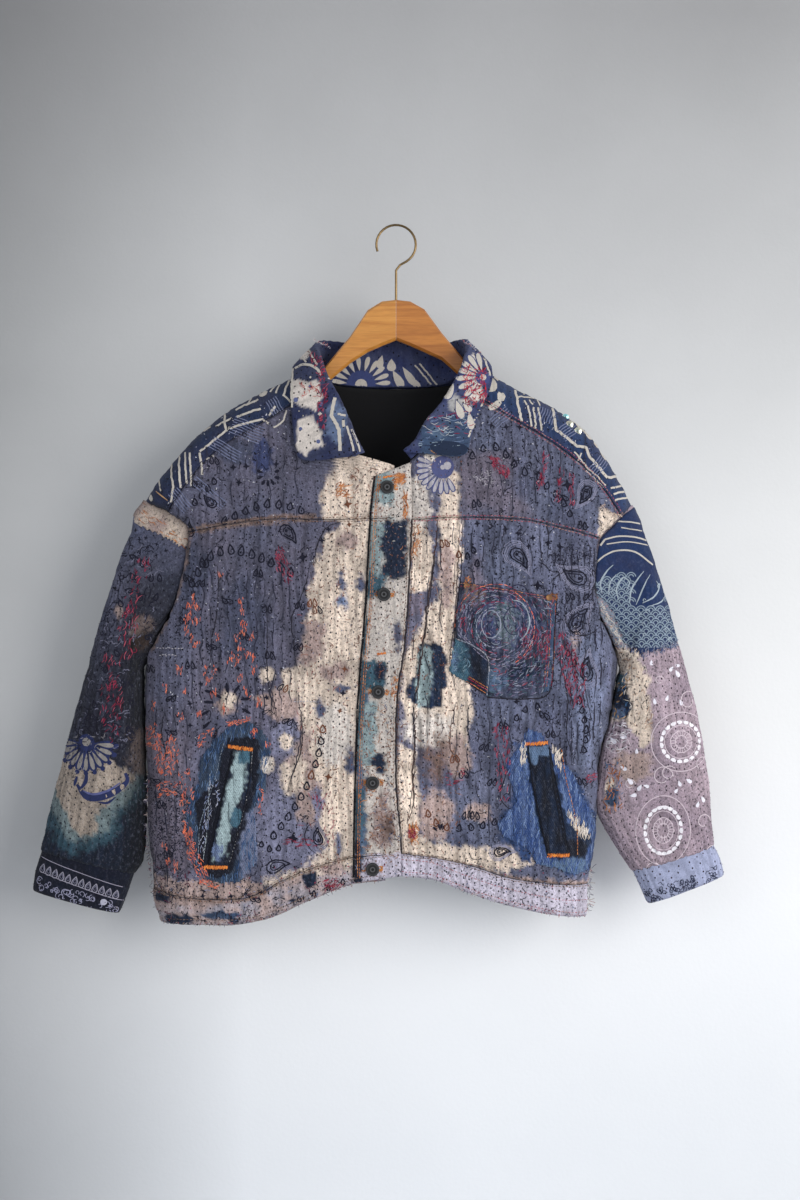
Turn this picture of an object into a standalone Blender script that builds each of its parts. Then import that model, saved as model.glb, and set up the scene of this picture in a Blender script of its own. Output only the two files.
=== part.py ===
"""A patched boro jacket, quilted from many layers and buttoned up, on a wooden hanger.

Frame: metres, +Z up, +X to the viewer's right, the front of the jacket faces -Y.
The origin is the top of the hanger hook's inner curve, where the hanger hangs on its support.
Tables are in millimetres, as (x, z) seen from the front unless a table names other columns.
"""
import math

import bmesh
import bpy
from mathutils import Vector
from mathutils.bvhtree import BVHTree

MM = 0.001

# Cloth, in millimetres
CLOTH = 2.6            # wall of the quilted cloth, all its layers together
PATCH = 1.2            # wall of one patch that lies on a panel
LINING = 1.0           # wall of the black lining
SEAM = 0.3             # gap between two pieces that are sewn together
LIE = 0.4              # gap under a piece that lies on another
FRONT_DEPTH = 42.0     # the front stands this far before the side seams
BACK_DEPTH = 30.0      # the back stands this far behind them
SIDE_TURN = 52.0       # width over which the cloth rounds to the side seams
FOLD_TURN = 34.0       # height over which it rounds to the shoulder fold
LAP = 3.6              # the right front lies this far before the left one
LAP_FADE = (0.0, 26.0)  # x at which the lap begins to fade, and where it ends

# Hanger, in millimetres
HOOK_RADIUS = 25.0     # of the wire's middle line
HOOK_WIRE = 3.0
HANGER_THICK = 12.0
HANGER_TOP = -94.0     # top of the wood under the hook

# Buttons, in millimetres
BUTTON_ACROSS = 17.0
BUTTON_HIGH = 3.4
RIVET_ACROSS = 8.0
RIVET_HIGH = 1.6

# The line along the top of the shoulders, from the left sleeve to the right one.
# Between the two neck points it is only a guide, which rounds the cloth to the neck.
SHOULDER = [(-320, -351), (-302, -324), (-279, -296), (-252, -266), (-212, -234), (-171, -211),
            (-131, -192), (-112, -183), (-60, -160), (50, -156), (101, -174), (121, -188),
            (150, -205), (183, -221), (212, -238), (239, -259), (262, -290), (281, -319), (300, -357)]
NECK_LEFT, NECK_RIGHT = -112.0, 101.0
NECK_BACK = [(-112, -183), (-100, -191), (-82, -198), (-49, -202), (0, -204), (34, -202), (66, -199),
             (84, -190), (101, -174)]

# Edge of the body on each side, from the shoulder tip down the armhole and the side to the hem:
# height, x of the edge, and how far the armhole's front and back edges stand from its middle.
EDGE_LEFT = [(-351, -320, 0), (-355, -311, 9), (-364, -289, 15), (-386, -262, 22), (-419, -265, 26),
             (-464, -274, 26), (-501, -290, 21), (-530, -307, 11), (-552, -316, 0), (-586, -319, 0),
             (-696, -316, 0), (-770, -315, 0), (-815, -309, 0), (-851, -308, 0), (-879, -292, 0)]
EDGE_RIGHT = [(-357, 300, 0), (-361, 295, 9), (-366, 288, 13), (-377, 277, 16), (-402, 255, 23),
              (-454, 250, 26), (-492, 257, 24), (-516, 267, 18), (-535, 276, 10), (-555, 281, 0),
              (-594, 277, 0), (-632, 270, 0), (-661, 260, 0), (-714, 256, 0), (-750, 255, 0),
              (-797, 250, 0), (-834, 244, 0), (-866, 243, 0)]

# Seams across the body, from the side to the middle of the front
SHOULDER_SEAM_LEFT = [(-286, -366), (-262, -331), (-236, -300), (-208, -277), (-161, -250), (-131, -232),
                      (-105, -218)]
SHOULDER_SEAM_RIGHT = [(284, -371), (262, -340), (243, -317), (212, -290), (177, -267), (150, -251),
                       (112, -228), (92, -214)]
YOKE_SEAM_LEFT = [(-262, -389), (-203, -379), (-147, -373), (-83, -374), (-3, -372)]
YOKE_SEAM_RIGHT = [(259, -397), (191, -380), (150, -373), (84, -371), (20, -374)]
YOKE_SEAM_BACK = [(-262, -389), (-140, -383), (0, -380), (140, -385), (259, -397)]
WAIST_SEAM_LEFT = [(-308, -836), (-247, -846), (-197, -846), (-163, -836), (-148, -826), (-100, -806),
                   (-52, -794), (-13, -790)]
WAIST_SEAM_RIGHT = [(244, -831), (184, -826), (138, -819), (95, -805), (50, -795), (7, -789)]
WAIST_SEAM_BACK = [(-308, -836), (-200, -812), (-60, -798), (60, -798), (160, -812), (244, -831)]
HEM_LEFT = [(-292, -879), (-242, -878), (-213, -879), (-165, -872), (-105, -847), (-50, -827), (-13, -823)]
HEM_RIGHT = [(243, -866), (195, -861), (135, -850), (86, -836), (46, -822), (7, -817)]
HEM_BACK = [(-292, -879), (-180, -848), (-60, -832), (60, -832), (150, -845), (243, -866)]

# Front edges of the panels and the seam beside the buttons, from the neck to the waist seam
NECK_EDGE_LEFT = [(-105, -218), (-84, -258), (-57, -290), (-2, -306), (-3, -372)]
NECK_EDGE_RIGHT = [(92, -214), (72, -244), (46, -275), (18, -301), (20, -374)]
FRONT_EDGE_LEFT = [(-3, -372), (-8, -540), (-12, -700), (-13, -790)]
PLACKET_SEAM = [(20, -374), (15, -474), (10, -536), (1, -599), (0, -699), (5, -755), (7, -789)]
PLACKET_EDGE = [(-25, -320), (-30, -364), (-33, -421), (-36, -479), (-41, -536), (-46, -604), (-50, -724),
                (-51, -788)]

# Rows of cloth between seams, as shares of the way from the upper seam to the lower one
FOLD_ROWS = [0.0, 0.16, 0.42, 1.0]
YOKE_ROWS = [0.0, 0.27, 0.47, 0.575, 0.78, 1.0]
CORNER_ROW = 3         # the row of a yoke at which the neck meets the front edge
BACK_YOKE_ROWS = [0.0, 0.05, 0.14, 0.3, 0.48, 0.66, 0.84, 1.0]
# The rows where the chest pocket and the welt pockets begin and end differ from left to right.
BODY_ROWS = [(0.0, 0.0), (0.09, 0.09), (0.18, 0.18), (0.27, 0.27), (0.365, 0.365), (0.49, 0.5),
             (0.592, 0.625), (0.7, 0.73), (0.81, 0.835), (0.917, 0.94), (1.0, 1.0)]
UNDERARM_ROW = 4
BAND_ROWS = [0.0, 0.5, 1.0]
POCKET_ROWS = (2, 5)
WELT_ROWS = (6, 9)

# Columns of cloth, as shares of the way from the side to the front edge, at four heights.
# Left: rounded side, welt pocket's outer and inner edge, middle, long fold.
LEFT_COLUMNS = [(0.0, (0.02, 0.07, 0.15, 0.27, 0.39, 0.49, 0.59, 0.71, 0.82, 0.91)),
                (0.592, (0.02, 0.065, 0.14, 0.361, 0.459, 0.55, 0.64, 0.73, 0.82, 0.91)),
                (0.917, (0.02, 0.06, 0.115, 0.240, 0.334, 0.45, 0.57, 0.70, 0.82, 0.91)),
                (1.0, (0.02, 0.06, 0.115, 0.240, 0.334, 0.45, 0.57, 0.70, 0.82, 0.91))]
# Right: rounded side, pocket's outer edge, pocket's inner edge, chest pocket's edge, pleat.
RIGHT_COLUMNS = [(0.0, (0.02, 0.07, 0.15, 0.265, 0.42, 0.52, 0.63, 0.74, 0.80, 0.866)),
                 (0.18, (0.02, 0.07, 0.13, 0.225, 0.38, 0.50, 0.62, 0.74, 0.80, 0.87)),
                 (0.5, (0.02, 0.07, 0.14, 0.330, 0.43, 0.54, 0.65, 0.76, 0.82, 0.91)),
                 (0.625, (0.02, 0.07, 0.14, 0.285, 0.385, 0.50, 0.62, 0.76, 0.86, 0.93)),
                 (0.94, (0.02, 0.06, 0.09, 0.135, 0.250, 0.41, 0.59, 0.78, 0.90, 0.965)),
                 (1.0, (0.02, 0.06, 0.09, 0.135, 0.250, 0.41, 0.59, 0.78, 0.90, 0.965))]
PLACKET_COLUMNS = (0.33, 0.67)
NECK_COLUMNS = (-100.0, -82.0, -49.0, -8.0, 34.0, 66.0, 86.0)
LEFT_WELT, LEFT_DENIM = (4, 5), (3, 6)
RIGHT_WELT, RIGHT_DENIM = (4, 5), (3, 7)
CHEST_POCKET = (4, 8)

# Long folds of the cloth: x and z at the top, x and z at the foot, half width, depth.
FRONT_FOLDS = [(-50, -400, -70, -800, 11, 3.0), (50, -380, 16, -760, 9, 3.4), (82, -400, 66, -640, 9, 2.4),
               (-150, -440, -120, -640, 14, 2.2), (-232, -520, -262, -780, 15, 2.4),
               (215, -500, 222, -700, 14, 2.6)]
BACK_FOLDS = [(-190, -420, -215, -800, 20, 4.0), (-70, -430, -60, -790, 18, 3.0),
              (60, -430, 82, -790, 18, 3.0), (180, -420, 196, -790, 20, 4.0)]
FOLD_END = 40.0        # a fold rises from nothing over this height

# Sleeves: outer edge and inner edge of each section, and its half depth.
SLEEVE_LEFT = [(-336, -400, -323, -561, 29), (-355, -456, -325, -575, 34), (-373, -513, -326, -598, 36),
               (-391, -580, -326, -635, 36), (-409, -642, -324, -690, 35), (-428, -712, -321, -750, 32),
               (-441, -768, -325, -800, 28), (-446, -790, -331, -820, 25)]
SLEEVE_RIGHT = [(315, -404, 288, -564, 29), (331, -456, 289, -580, 34), (348, -512, 286, -604, 36),
                (366, -575, 280, -642, 36), (381, -636, 272, -690, 35), (391, -702, 266, -736, 32),
                (396, -756, 286, -790, 28), (399, -784, 301, -817, 25)]
CUFF_LEFT = [(-450, -812, -340, -842, 25), (-455, -837, -349, -865, 22)]
CUFF_RIGHT = [(408, -801, 309, -836, 25), (413, -818, 318, -853, 22)]
SLEEVE_SQUARE = 0.85   # under 1, a section is squarer than an ellipse
SLEEVE_RIPPLE = 0.035  # how far the long folds of a sleeve move its surface, as a share
HEAD_BLEND = (0.55, 0.2)  # how much of the armhole's own spacing the first sections keep
LEFT_HEAD_BAND, RIGHT_PRINT = (0, 1), (0, 3)  # sections of each sleeve under its patch

# Collar: the neck seam, the fold and the leaf's edge at each section, as (x, y, z), left to right
COLLAR = [((-47, -42, -291), (-41, -45, -290), (-50, -48, -295)),
          ((-60, -42, -282), (-51, -49, -272), (-112, -48, -301)),
          ((-72, -42, -266), (-57, -50, -256), (-124, -47, -286)),
          ((-90, -42, -238), (-70, -49, -228), (-129, -47, -246)),
          ((-103, -38, -214), (-85, -46, -199), (-131, -44, -214)),
          ((-109, -24, -196), (-94, -34, -173), (-130, -28, -190)),
          ((-110, 0, -182), (-99, -8, -155), (-127, 2, -177)),
          ((-98, 20, -190), (-89, 17, -146), (-112, 38, -190)),
          ((-80, 28, -197), (-62, 28, -147), (-84, 46, -207)),
          ((-42, 29, -202), (-30, 31, -150), (-42, 48, -214)),
          ((0, 29, -203), (0, 32, -151), (0, 48, -216)),
          ((36, 29, -202), (30, 31, -150), (40, 48, -214)),
          ((66, 28, -197), (58, 28, -148), (76, 46, -205)),
          ((84, 20, -187), (79, 16, -145), (98, 38, -188)),
          ((99, 0, -173), (88, -6, -151), (114, 2, -172)),
          ((99, -24, -190), (86, -34, -173), (120, -34, -191)),
          ((90, -38, -212), (76, -46, -199), (116, -47, -213)),
          ((78, -42, -236), (60, -50, -228), (103, -47, -243)),
          ((58, -42, -262), (38, -50, -254), (93, -47, -272)),
          ((38, -42, -283), (25, -49, -277), (84, -48, -294)),
          ((19, -45, -301), (11, -48, -290), (48, -48, -293))]
COLLAR_BEND = 2.6      # radius of the collar's fold, to the middle of the wall
COLLAR_CLEAR = 2.6     # middle of the leaf's wall over the cloth under it
NECK_MIDDLE = (-5, -170)  # the neck seam is drawn in towards this place, so that it meets the yokes' edges
NECK_IN = 2.3

# Wooden arms of the hanger, from the middle outwards: distance, top and underside of the left arm
# and of the right arm.
HANGER_ARMS = [(0, -94, -145, -94, -145), (18, -96, -152, -96, -152), (36, -107, -160, -106, -160),
               (58, -140, -174, -136, -170), (90, -178.5, -201, -174, -199), (112, -190, -213, -187, -213),
               (131, -197, -221, -199.5, -225), (160, -211, -237, -215.5, -241),
               (190, -226.5, -252, -231, -256), (212, -239, -262, -243.5, -265),
               (222, -248, -259, -252.5, -263)]

# Buttons: where their middles are on the placket
BUTTONS = [(-11, -334), (-15, -467), (-22, -588), (-29, -701), (-29, -808)]
RIVETS = [(88, -457), (190, -471)]

COLOURS = {
    "body": (0.10, 0.10, 0.15), "yoke": (0.09, 0.10, 0.175), "pale": (0.50, 0.42, 0.36),
    "print": (0.05, 0.07, 0.16), "mauve": (0.38, 0.32, 0.37), "denim": (0.06, 0.09, 0.17),
    "dark_denim": (0.02, 0.03, 0.06), "lining": (0.006, 0.006, 0.008), "wood": (0.50, 0.20, 0.036),
    "metal": (0.03, 0.03, 0.035), "wire": (0.35, 0.27, 0.16), "cuff": (0.10, 0.12, 0.20),
}
ROUGHNESS = {"wood": 0.38, "metal": 0.4, "wire": 0.3}
METALLIC = {"metal": 0.9, "wire": 1.0}


def material(kind):
    """One Principled material for each kind of cloth, wood or metal."""
    made = bpy.data.materials.get(kind)
    if made:
        return made
    made = bpy.data.materials.new(kind)
    made.use_nodes = True
    shader = made.node_tree.nodes["Principled BSDF"]
    shader.inputs["Base Color"].default_value = (*COLOURS[kind], 1.0)
    shader.inputs["Roughness"].default_value = ROUGHNESS.get(kind, 0.95)
    shader.inputs["Metallic"].default_value = METALLIC.get(kind, 0.0)
    made.diffuse_color = (*COLOURS[kind], 1.0)
    return made


def read(rows, at, column=1):
    """A column of a table at one place, on a smooth curve through the rows that never overshoots."""
    rows = sorted(rows)
    at = min(max(at, rows[0][0]), rows[-1][0])
    after = next(i for i in range(1, len(rows)) if at <= rows[i][0])
    steps = [(rows[i + 1][column] - rows[i][column]) / (rows[i + 1][0] - rows[i][0])
             for i in range(len(rows) - 1)]

    def slope(i):
        if i in (0, len(rows) - 1):
            return steps[min(i, len(steps) - 1)]
        before, behind = steps[i - 1], steps[i]
        return 0.0 if before * behind <= 0 else 2 * before * behind / (before + behind)

    low, high = rows[after - 1], rows[after]
    width = high[0] - low[0]
    t = (at - low[0]) / width
    return ((1 + 2 * t) * (1 - t) ** 2 * low[column] + t * (1 - t) ** 2 * width * slope(after - 1)
            + t * t * (3 - 2 * t) * high[column] - t * t * (1 - t) * width * slope(after))


def straight(points, share):
    """The point at a share of the way along a line of points, by its height from first to last."""
    first, last = points[0][1], points[-1][1]
    height = first + (last - first) * share
    for (x0, z0), (x1, z1) in zip(points, points[1:]):
        if min(z0, z1) <= height <= max(z0, z1):
            return x0 + (x1 - x0) * (height - z0) / (z1 - z0), height
    return points[-1]


def bulge(distance, reach):
    """How far cloth has rounded out at a distance from its edge: 0 at the edge, 1 past the reach."""
    if distance < 0.01:
        return 0.0
    left = 1 - min(distance / reach, 1.0)
    return math.sqrt(1 - left * left)


def smooth_step(value):
    value = min(max(value, 0.0), 1.0)
    return value * value * (3 - 2 * value)


def trough(folds, x, z):
    """How deep the folds lie at one place of a panel."""
    depth = 0.0
    for x_top, z_top, x_foot, z_foot, half, deep in folds:
        middle = x_top + (x_foot - x_top) * (z_top - z) / (z_top - z_foot)
        ends = smooth_step((z_top - z) / FOLD_END) * smooth_step((z - z_foot) / FOLD_END)
        depth += deep * ends * math.exp(-((x - middle) / half) ** 2)
    return depth


def body_y(x, z, front=True):
    """Depth of the body's outer surface: rounded to the sides and to the shoulder fold."""
    left = x < 0
    edge = EDGE_LEFT if left else EDGE_RIGHT
    inwards = (x - read(edge, z)) * (1 if left else -1)
    armhole = read(edge, z, 2)
    full = FRONT_DEPTH if front else BACK_DEPTH
    armhole *= 1 if front else BACK_DEPTH / FRONT_DEPTH
    out = armhole + (full - armhole) * bulge(inwards, SIDE_TURN)
    out *= bulge(read(SHOULDER, x) - z, FOLD_TURN)
    out -= trough(FRONT_FOLDS if front else BACK_FOLDS, x, z) * smooth_step(inwards / 30)
    return -out if front else out


def lapped_y(x, z):
    """Depth of the right front, which lies over the left one near the buttons."""
    start, end = LAP_FADE
    return body_y(x, z) - LAP * (1 - smooth_step((x - start) / (end - start)))


class Cloth:
    """The whole shell of cloth, as points that pieces share and faces that name their piece."""

    def __init__(self):
        self.points = []
        self.index = {}
        self.faces = {}

    def point(self, place):
        key = tuple(round(value, 2) for value in place)
        if key not in self.index:
            self.index[key] = len(self.points)
            self.points.append(Vector(place))
        return self.index[key]

    def grid(self, rows, piece_of, turned=False):
        """Adds a grid of points. piece_of(row, column) names each cell's piece."""
        ids = [[self.point(place) for place in row] for row in rows]
        for r in range(len(ids) - 1):
            for c in range(len(ids[r]) - 1):
                corners = [ids[r][c], ids[r + 1][c], ids[r + 1][c + 1], ids[r][c + 1]]
                for face in ((corners[0], corners[1], corners[2]), (corners[0], corners[2], corners[3])):
                    if len(set(face)) == 3:
                        face = face[::-1] if turned else face
                        self.faces.setdefault(piece_of(r, c), []).append(face)
        return ids

    def normals(self):
        total = [Vector() for _ in self.points]
        for faces in self.faces.values():
            for a, b, c in faces:
                across = (self.points[b] - self.points[a]).cross(self.points[c] - self.points[a])
                for corner in (a, b, c):
                    total[corner] += across
        return [normal.normalized() for normal in total]


def pulled_in(points, faces, distance):
    """The points of a piece, with those on its edge drawn in so that a seam has its gap."""
    edges = {}
    for face in faces:
        for a, b in zip(face, face[1:] + face[:1]):
            edges.setdefault(frozenset((a, b)), []).append((a, b, face))
    inwards = {}
    for uses in edges.values():
        if len(uses) != 1:
            continue
        a, b, face = uses[0]
        along = (points[b] - points[a]).normalized()
        third = next(corner for corner in face if corner not in (a, b))
        across = points[third] - points[a]
        across = (across - along * across.dot(along)).normalized()
        for corner in (a, b):
            inwards.setdefault(corner, []).append(across)
    moved = {}
    for corner, ways in inwards.items():
        mean = sum(ways, Vector()).normalized()
        spread = max(mean.dot(ways[0]), 0.5)
        moved[corner] = points[corner] + mean * (distance / spread)
    return moved, edges


def build_wall(name, points, normals, faces, low, high, kind, gap=SEAM / 2):
    """A closed wall of cloth between two surfaces, low and high above the points."""
    moved, edges = pulled_in(points, faces, gap)
    mesh = bmesh.new()
    used = sorted({corner for face in faces for corner in face})
    inner, outer = {}, {}
    for corner in used:
        place = moved.get(corner, points[corner])
        inner[corner] = mesh.verts.new((place + normals[corner] * low) * MM)
        outer[corner] = mesh.verts.new((place + normals[corner] * high) * MM)
    for face in faces:
        mesh.faces.new([outer[corner] for corner in face])
        mesh.faces.new([inner[corner] for corner in reversed(face)])
    for uses in edges.values():
        if len(uses) == 1:
            a, b, _ = uses[0]
            corners = [outer[b], outer[a], inner[a], inner[b]]
            if a < b:  # both sides of a seam split their edges along the same diagonal
                corners = corners[1:] + corners[:1]
            mesh.faces.new(corners[:3])
            mesh.faces.new((corners[0], corners[2], corners[3]))
    return add_object(name, mesh, kind)


def add_object(name, mesh, kind, smooth=True):
    data = bpy.data.meshes.new(name)
    mesh.to_mesh(data)
    mesh.free()
    if smooth:
        data.shade_smooth()
        data.set_sharp_from_angle(angle=math.radians(50))
    data.materials.append(material(kind))
    thing = bpy.data.objects.new(name, data)
    bpy.context.scene.collection.objects.link(thing)
    return thing


def coons(top, foot, outer, inner, share, down):
    """A point of a panel between its four edges; top and foot are read by share of their width."""
    def on(line, part):
        x = line[0][0] + (line[-1][0] - line[0][0]) * part
        return Vector((x, read(line, x)))

    upper, lower = on(top, share), on(foot, share)
    side, front = Vector(outer(down)), Vector(inner(down))
    corners = ((1 - share) * ((1 - down) * on(top, 0) + down * on(foot, 0))
               + share * ((1 - down) * on(top, 1) + down * on(foot, 1)))
    return (1 - down) * upper + down * lower + (1 - share) * side + share * front - corners


def columns_at(table, down):
    """The shares of the columns at one height, between the table's rows."""
    middle = [read([(height, shares[i]) for height, shares in table], down)
              for i in range(len(table[0][1]))]
    return [0.0] + middle + [1.0]


def edge_between(edge, z_top, z_foot):
    """A function that runs down the side of the body from one height to another."""
    def at(down):
        z = z_top + (z_foot - z_top) * down
        return read(edge, z), z
    return at


def placed(panel, depth):
    return [[(x, depth(x, z), z) for x, z in row] for row in panel]


def front_rows(edge, shoulder, seam, yoke, waist, hem, neck_edge, front_edge, columns, side):
    """The (x, z) points of one front, from the shoulder fold to the hem, row by row."""
    tip = shoulder[0]
    heights = [(tip[1], seam[0][1]), (seam[0][1], yoke[0][1]), (yoke[0][1], waist[0][1]),
               (waist[0][1], hem[0][1])]
    lines = [(shoulder, seam), (seam, yoke), (yoke, waist), (waist, hem)]
    inner = [lambda down: (shoulder[-1][0] + (seam[-1][0] - shoulder[-1][0]) * down,
                           shoulder[-1][1] + (seam[-1][1] - shoulder[-1][1]) * down),
             lambda down: straight(neck_edge, down), lambda down: straight(front_edge, down),
             lambda down: (waist[-1][0] + (hem[-1][0] - waist[-1][0]) * down,
                           waist[-1][1] + (hem[-1][1] - waist[-1][1]) * down)]
    rows = []
    for stage, downs in enumerate((FOLD_ROWS, YOKE_ROWS, [row[side] for row in BODY_ROWS], BAND_ROWS)):
        top, foot = lines[stage]
        outer = edge_between(edge, *heights[stage])
        for down in downs[1 if rows else 0:]:
            shares = columns_at(columns, (0.0, 0.0, down, 1.0)[stage])
            rows.append([coons(top, foot, outer, inner[stage], share, down) for share in shares])
    return rows


def line_between(line, start, end):
    """The part of a line from one x to another, with its ends put on it."""
    inside = [point for point in line if min(start, end) < point[0] < max(start, end)]
    ends = [(start, read(line, start)), (end, read(line, end))]
    return sorted(inside + ends, reverse=start > end)


def build_body(cloth):
    """Fronts and back in one shell, with the named pieces between their seams."""
    tip_left, tip_right = EDGE_LEFT[0][1], EDGE_RIGHT[0][1]
    fold_left = line_between(SHOULDER, tip_left, NECK_LEFT)
    fold_right = line_between(SHOULDER, tip_right, NECK_RIGHT)
    left = front_rows(EDGE_LEFT, fold_left, SHOULDER_SEAM_LEFT, YOKE_SEAM_LEFT, WAIST_SEAM_LEFT, HEM_LEFT,
                      NECK_EDGE_LEFT, FRONT_EDGE_LEFT, LEFT_COLUMNS, 0)
    right = front_rows(EDGE_RIGHT, fold_right, SHOULDER_SEAM_RIGHT, YOKE_SEAM_RIGHT, WAIST_SEAM_RIGHT,
                       HEM_RIGHT, NECK_EDGE_RIGHT, PLACKET_SEAM, RIGHT_COLUMNS, 1)
    fold_end = len(FOLD_ROWS) - 1
    yoke_end = fold_end + len(YOKE_ROWS) - 1
    body_end = yoke_end + len(BODY_ROWS) - 1

    def stage(row, names):
        for end, name in zip((fold_end, yoke_end, body_end), names):
            if row < end:
                return name
        return names[-1]

    left_names = ("back_yoke", "front_yoke_left", "front_panel_left", "waistband_left")
    right_names = ("back_yoke", "front_yoke_right", "front_panel_right", "waistband_right")
    left_ids = cloth.grid(placed(left, body_y), lambda r, c: stage(r, left_names))
    right_ids = cloth.grid(placed(right, lapped_y), lambda r, c: stage(r, right_names), turned=True)
    build_placket(cloth, [row[-1] for row in right], fold_end, body_end)
    back_ids = build_back(cloth, left, right, yoke_end)
    return {"left": left_ids, "right": right_ids, "back": back_ids, "yoke_end": yoke_end}


def build_placket(cloth, seam, fold_end, body_end):
    """The strip with the buttonholes, from its free edge to the seam beside it."""
    rows = []
    for number, (x, z) in enumerate(seam):
        if number < fold_end + CORNER_ROW:
            continue
        free_z = min(z if number <= body_end else z - 2, PLACKET_EDGE[0][1])
        free_x = read([(height, at) for at, height in PLACKET_EDGE], free_z)
        shares = (0.0, *PLACKET_COLUMNS, 1.0)
        rows.append([(free_x + (x - free_x) * share, free_z + (z - free_z) * share) for share in shares])
    named = len(rows) - len(BAND_ROWS)
    cloth.grid(placed(rows, lapped_y), lambda r, c: "button_placket" if r < named else "waistband_right")


def build_back(cloth, left, right, yoke_end):
    """The back, from the shoulder folds and the neck to the hem."""
    top = [Vector(point) for point in left[0]]
    top += [Vector((x, read(NECK_BACK, x))) for x in NECK_COLUMNS]
    top += [Vector(point) for point in reversed(right[0])]
    width = top[-1].x - top[0].x
    shares = [(point.x - top[0].x) / width for point in top]
    count = len(top) - 1
    even = [number / count for number in range(count + 1)]
    left_sides = [left[row][0] for row in range(yoke_end, len(left))]
    right_sides = [right[row][0] for row in range(yoke_end, len(right))]
    rows = [list(top)]
    left_edge = edge_between(EDGE_LEFT, EDGE_LEFT[0][0], YOKE_SEAM_LEFT[0][1])
    right_edge = edge_between(EDGE_RIGHT, EDGE_RIGHT[0][0], YOKE_SEAM_RIGHT[0][1])

    def on(line, share):
        x = line[0][0] + (line[-1][0] - line[0][0]) * share
        return Vector((x, read(line, x)))

    def mixed(down):
        return [share + (same - share) * 0.45 * down for share, same in zip(shares, even)]

    for down in BACK_YOKE_ROWS[1:]:
        spread = mixed(down)
        row = []
        for number, share in enumerate(spread):
            plain = (1 - down) * top[number] + down * on(YOKE_SEAM_BACK, share)
            if number == 0:
                plain = Vector(left_edge(down))
            if number == count:
                plain = Vector(right_edge(down))
            row.append(plain)
        rows.append(row)
    spread = mixed(1.0)
    panel_rows = len(BODY_ROWS) - 1
    for number in range(1, len(left_sides)):
        first, last = left_sides[number], right_sides[number]
        if number <= panel_rows:
            upper, lower, down = YOKE_SEAM_BACK, WAIST_SEAM_BACK, number / panel_rows
            down = sum(BODY_ROWS[number]) / 2
        else:
            upper, lower, down = WAIST_SEAM_BACK, HEM_BACK, BAND_ROWS[number - panel_rows]
        row = []
        for share in spread:
            middle = (1 - down) * on(upper, share) + down * on(lower, share)
            ends = ((1 - share) * (first - (1 - down) * on(upper, 0) - down * on(lower, 0))
                    + share * (last - (1 - down) * on(upper, 1) - down * on(lower, 1)))
            row.append(middle + ends)
        rows.append(row)
    yoke_rows = len(BACK_YOKE_ROWS) - 1

    def piece(row, column):
        if row < yoke_rows:
            return "back_yoke"
        return "back_panel" if row < yoke_rows + panel_rows else "waistband_back"

    return cloth.grid(placed(rows, lambda x, z: body_y(x, z, front=False)), piece, turned=True)


def sleeve_section(station, angles, number):
    """One ring of a sleeve, from its outer edge round the front to its inner edge and back."""
    x_out, z_out, x_in, z_in, half = station
    middle = Vector(((x_out + x_in) / 2, -2.0, (z_out + z_in) / 2))
    across = Vector(((x_out - x_in) / 2, 0.0, (z_out - z_in) / 2))
    ring = []
    for angle in angles:
        cosine, sine = math.cos(angle), math.sin(angle)
        wide = math.copysign(abs(cosine) ** SLEEVE_SQUARE, cosine)
        deep = math.copysign(abs(sine) ** SLEEVE_SQUARE, sine)
        ripple = 1 + SLEEVE_RIPPLE * math.sin(3 * angle + number * 0.8) * abs(sine)
        ring.append(middle + across * wide - Vector((0, half * ripple, 0)) * deep)
    return ring


def build_sleeve(cloth, name, armhole, half, stations, cuffs, turned):
    """A tube from the armhole to the wrist, and its cuff; half is the armhole's point under the arm."""
    count = len(armhole)
    points = [cloth.points[corner] for corner in armhole]
    lengths = [0.0]
    for first, second in zip(points, points[1:] + points[:1]):
        lengths.append(lengths[-1] + (second - first).length)
    own = [math.pi * lengths[i] / lengths[half] for i in range(half)]
    rest = lengths[-1] - lengths[half]
    own += [math.pi * (1 + (lengths[i] - lengths[half]) / rest) for i in range(half, count)]
    even = [math.pi * i / half for i in range(half)]
    even += [math.pi * (1 + (i - half) / (count - half)) for i in range(half, count)]
    rings = [points]
    for number, station in enumerate(stations + cuffs):
        keep = HEAD_BLEND[number] if number < len(HEAD_BLEND) else 0.0
        angles = [keep * at + (1 - keep) * other for at, other in zip(own, even)]
        rings.append(sleeve_section(station, angles, number))
    rings = [ring + ring[:1] for ring in rings]
    return cloth.grid(rings, lambda r, c: name if r < len(stations) else name.replace("sleeve", "cuff"),
                      turned=turned)


def cells(ids, rows, columns):
    """The faces of a block of a grid's cells, split as the grid splits them."""
    faces = []
    for r in range(*rows):
        for c in range(*columns):
            a, b, d, e = ids[r][c], ids[r + 1][c], ids[r + 1][c + 1], ids[r][c + 1]
            faces += [(a, b, d), (a, d, e)]
    return faces


def flipped(faces):
    return [face[::-1] for face in faces]


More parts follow.
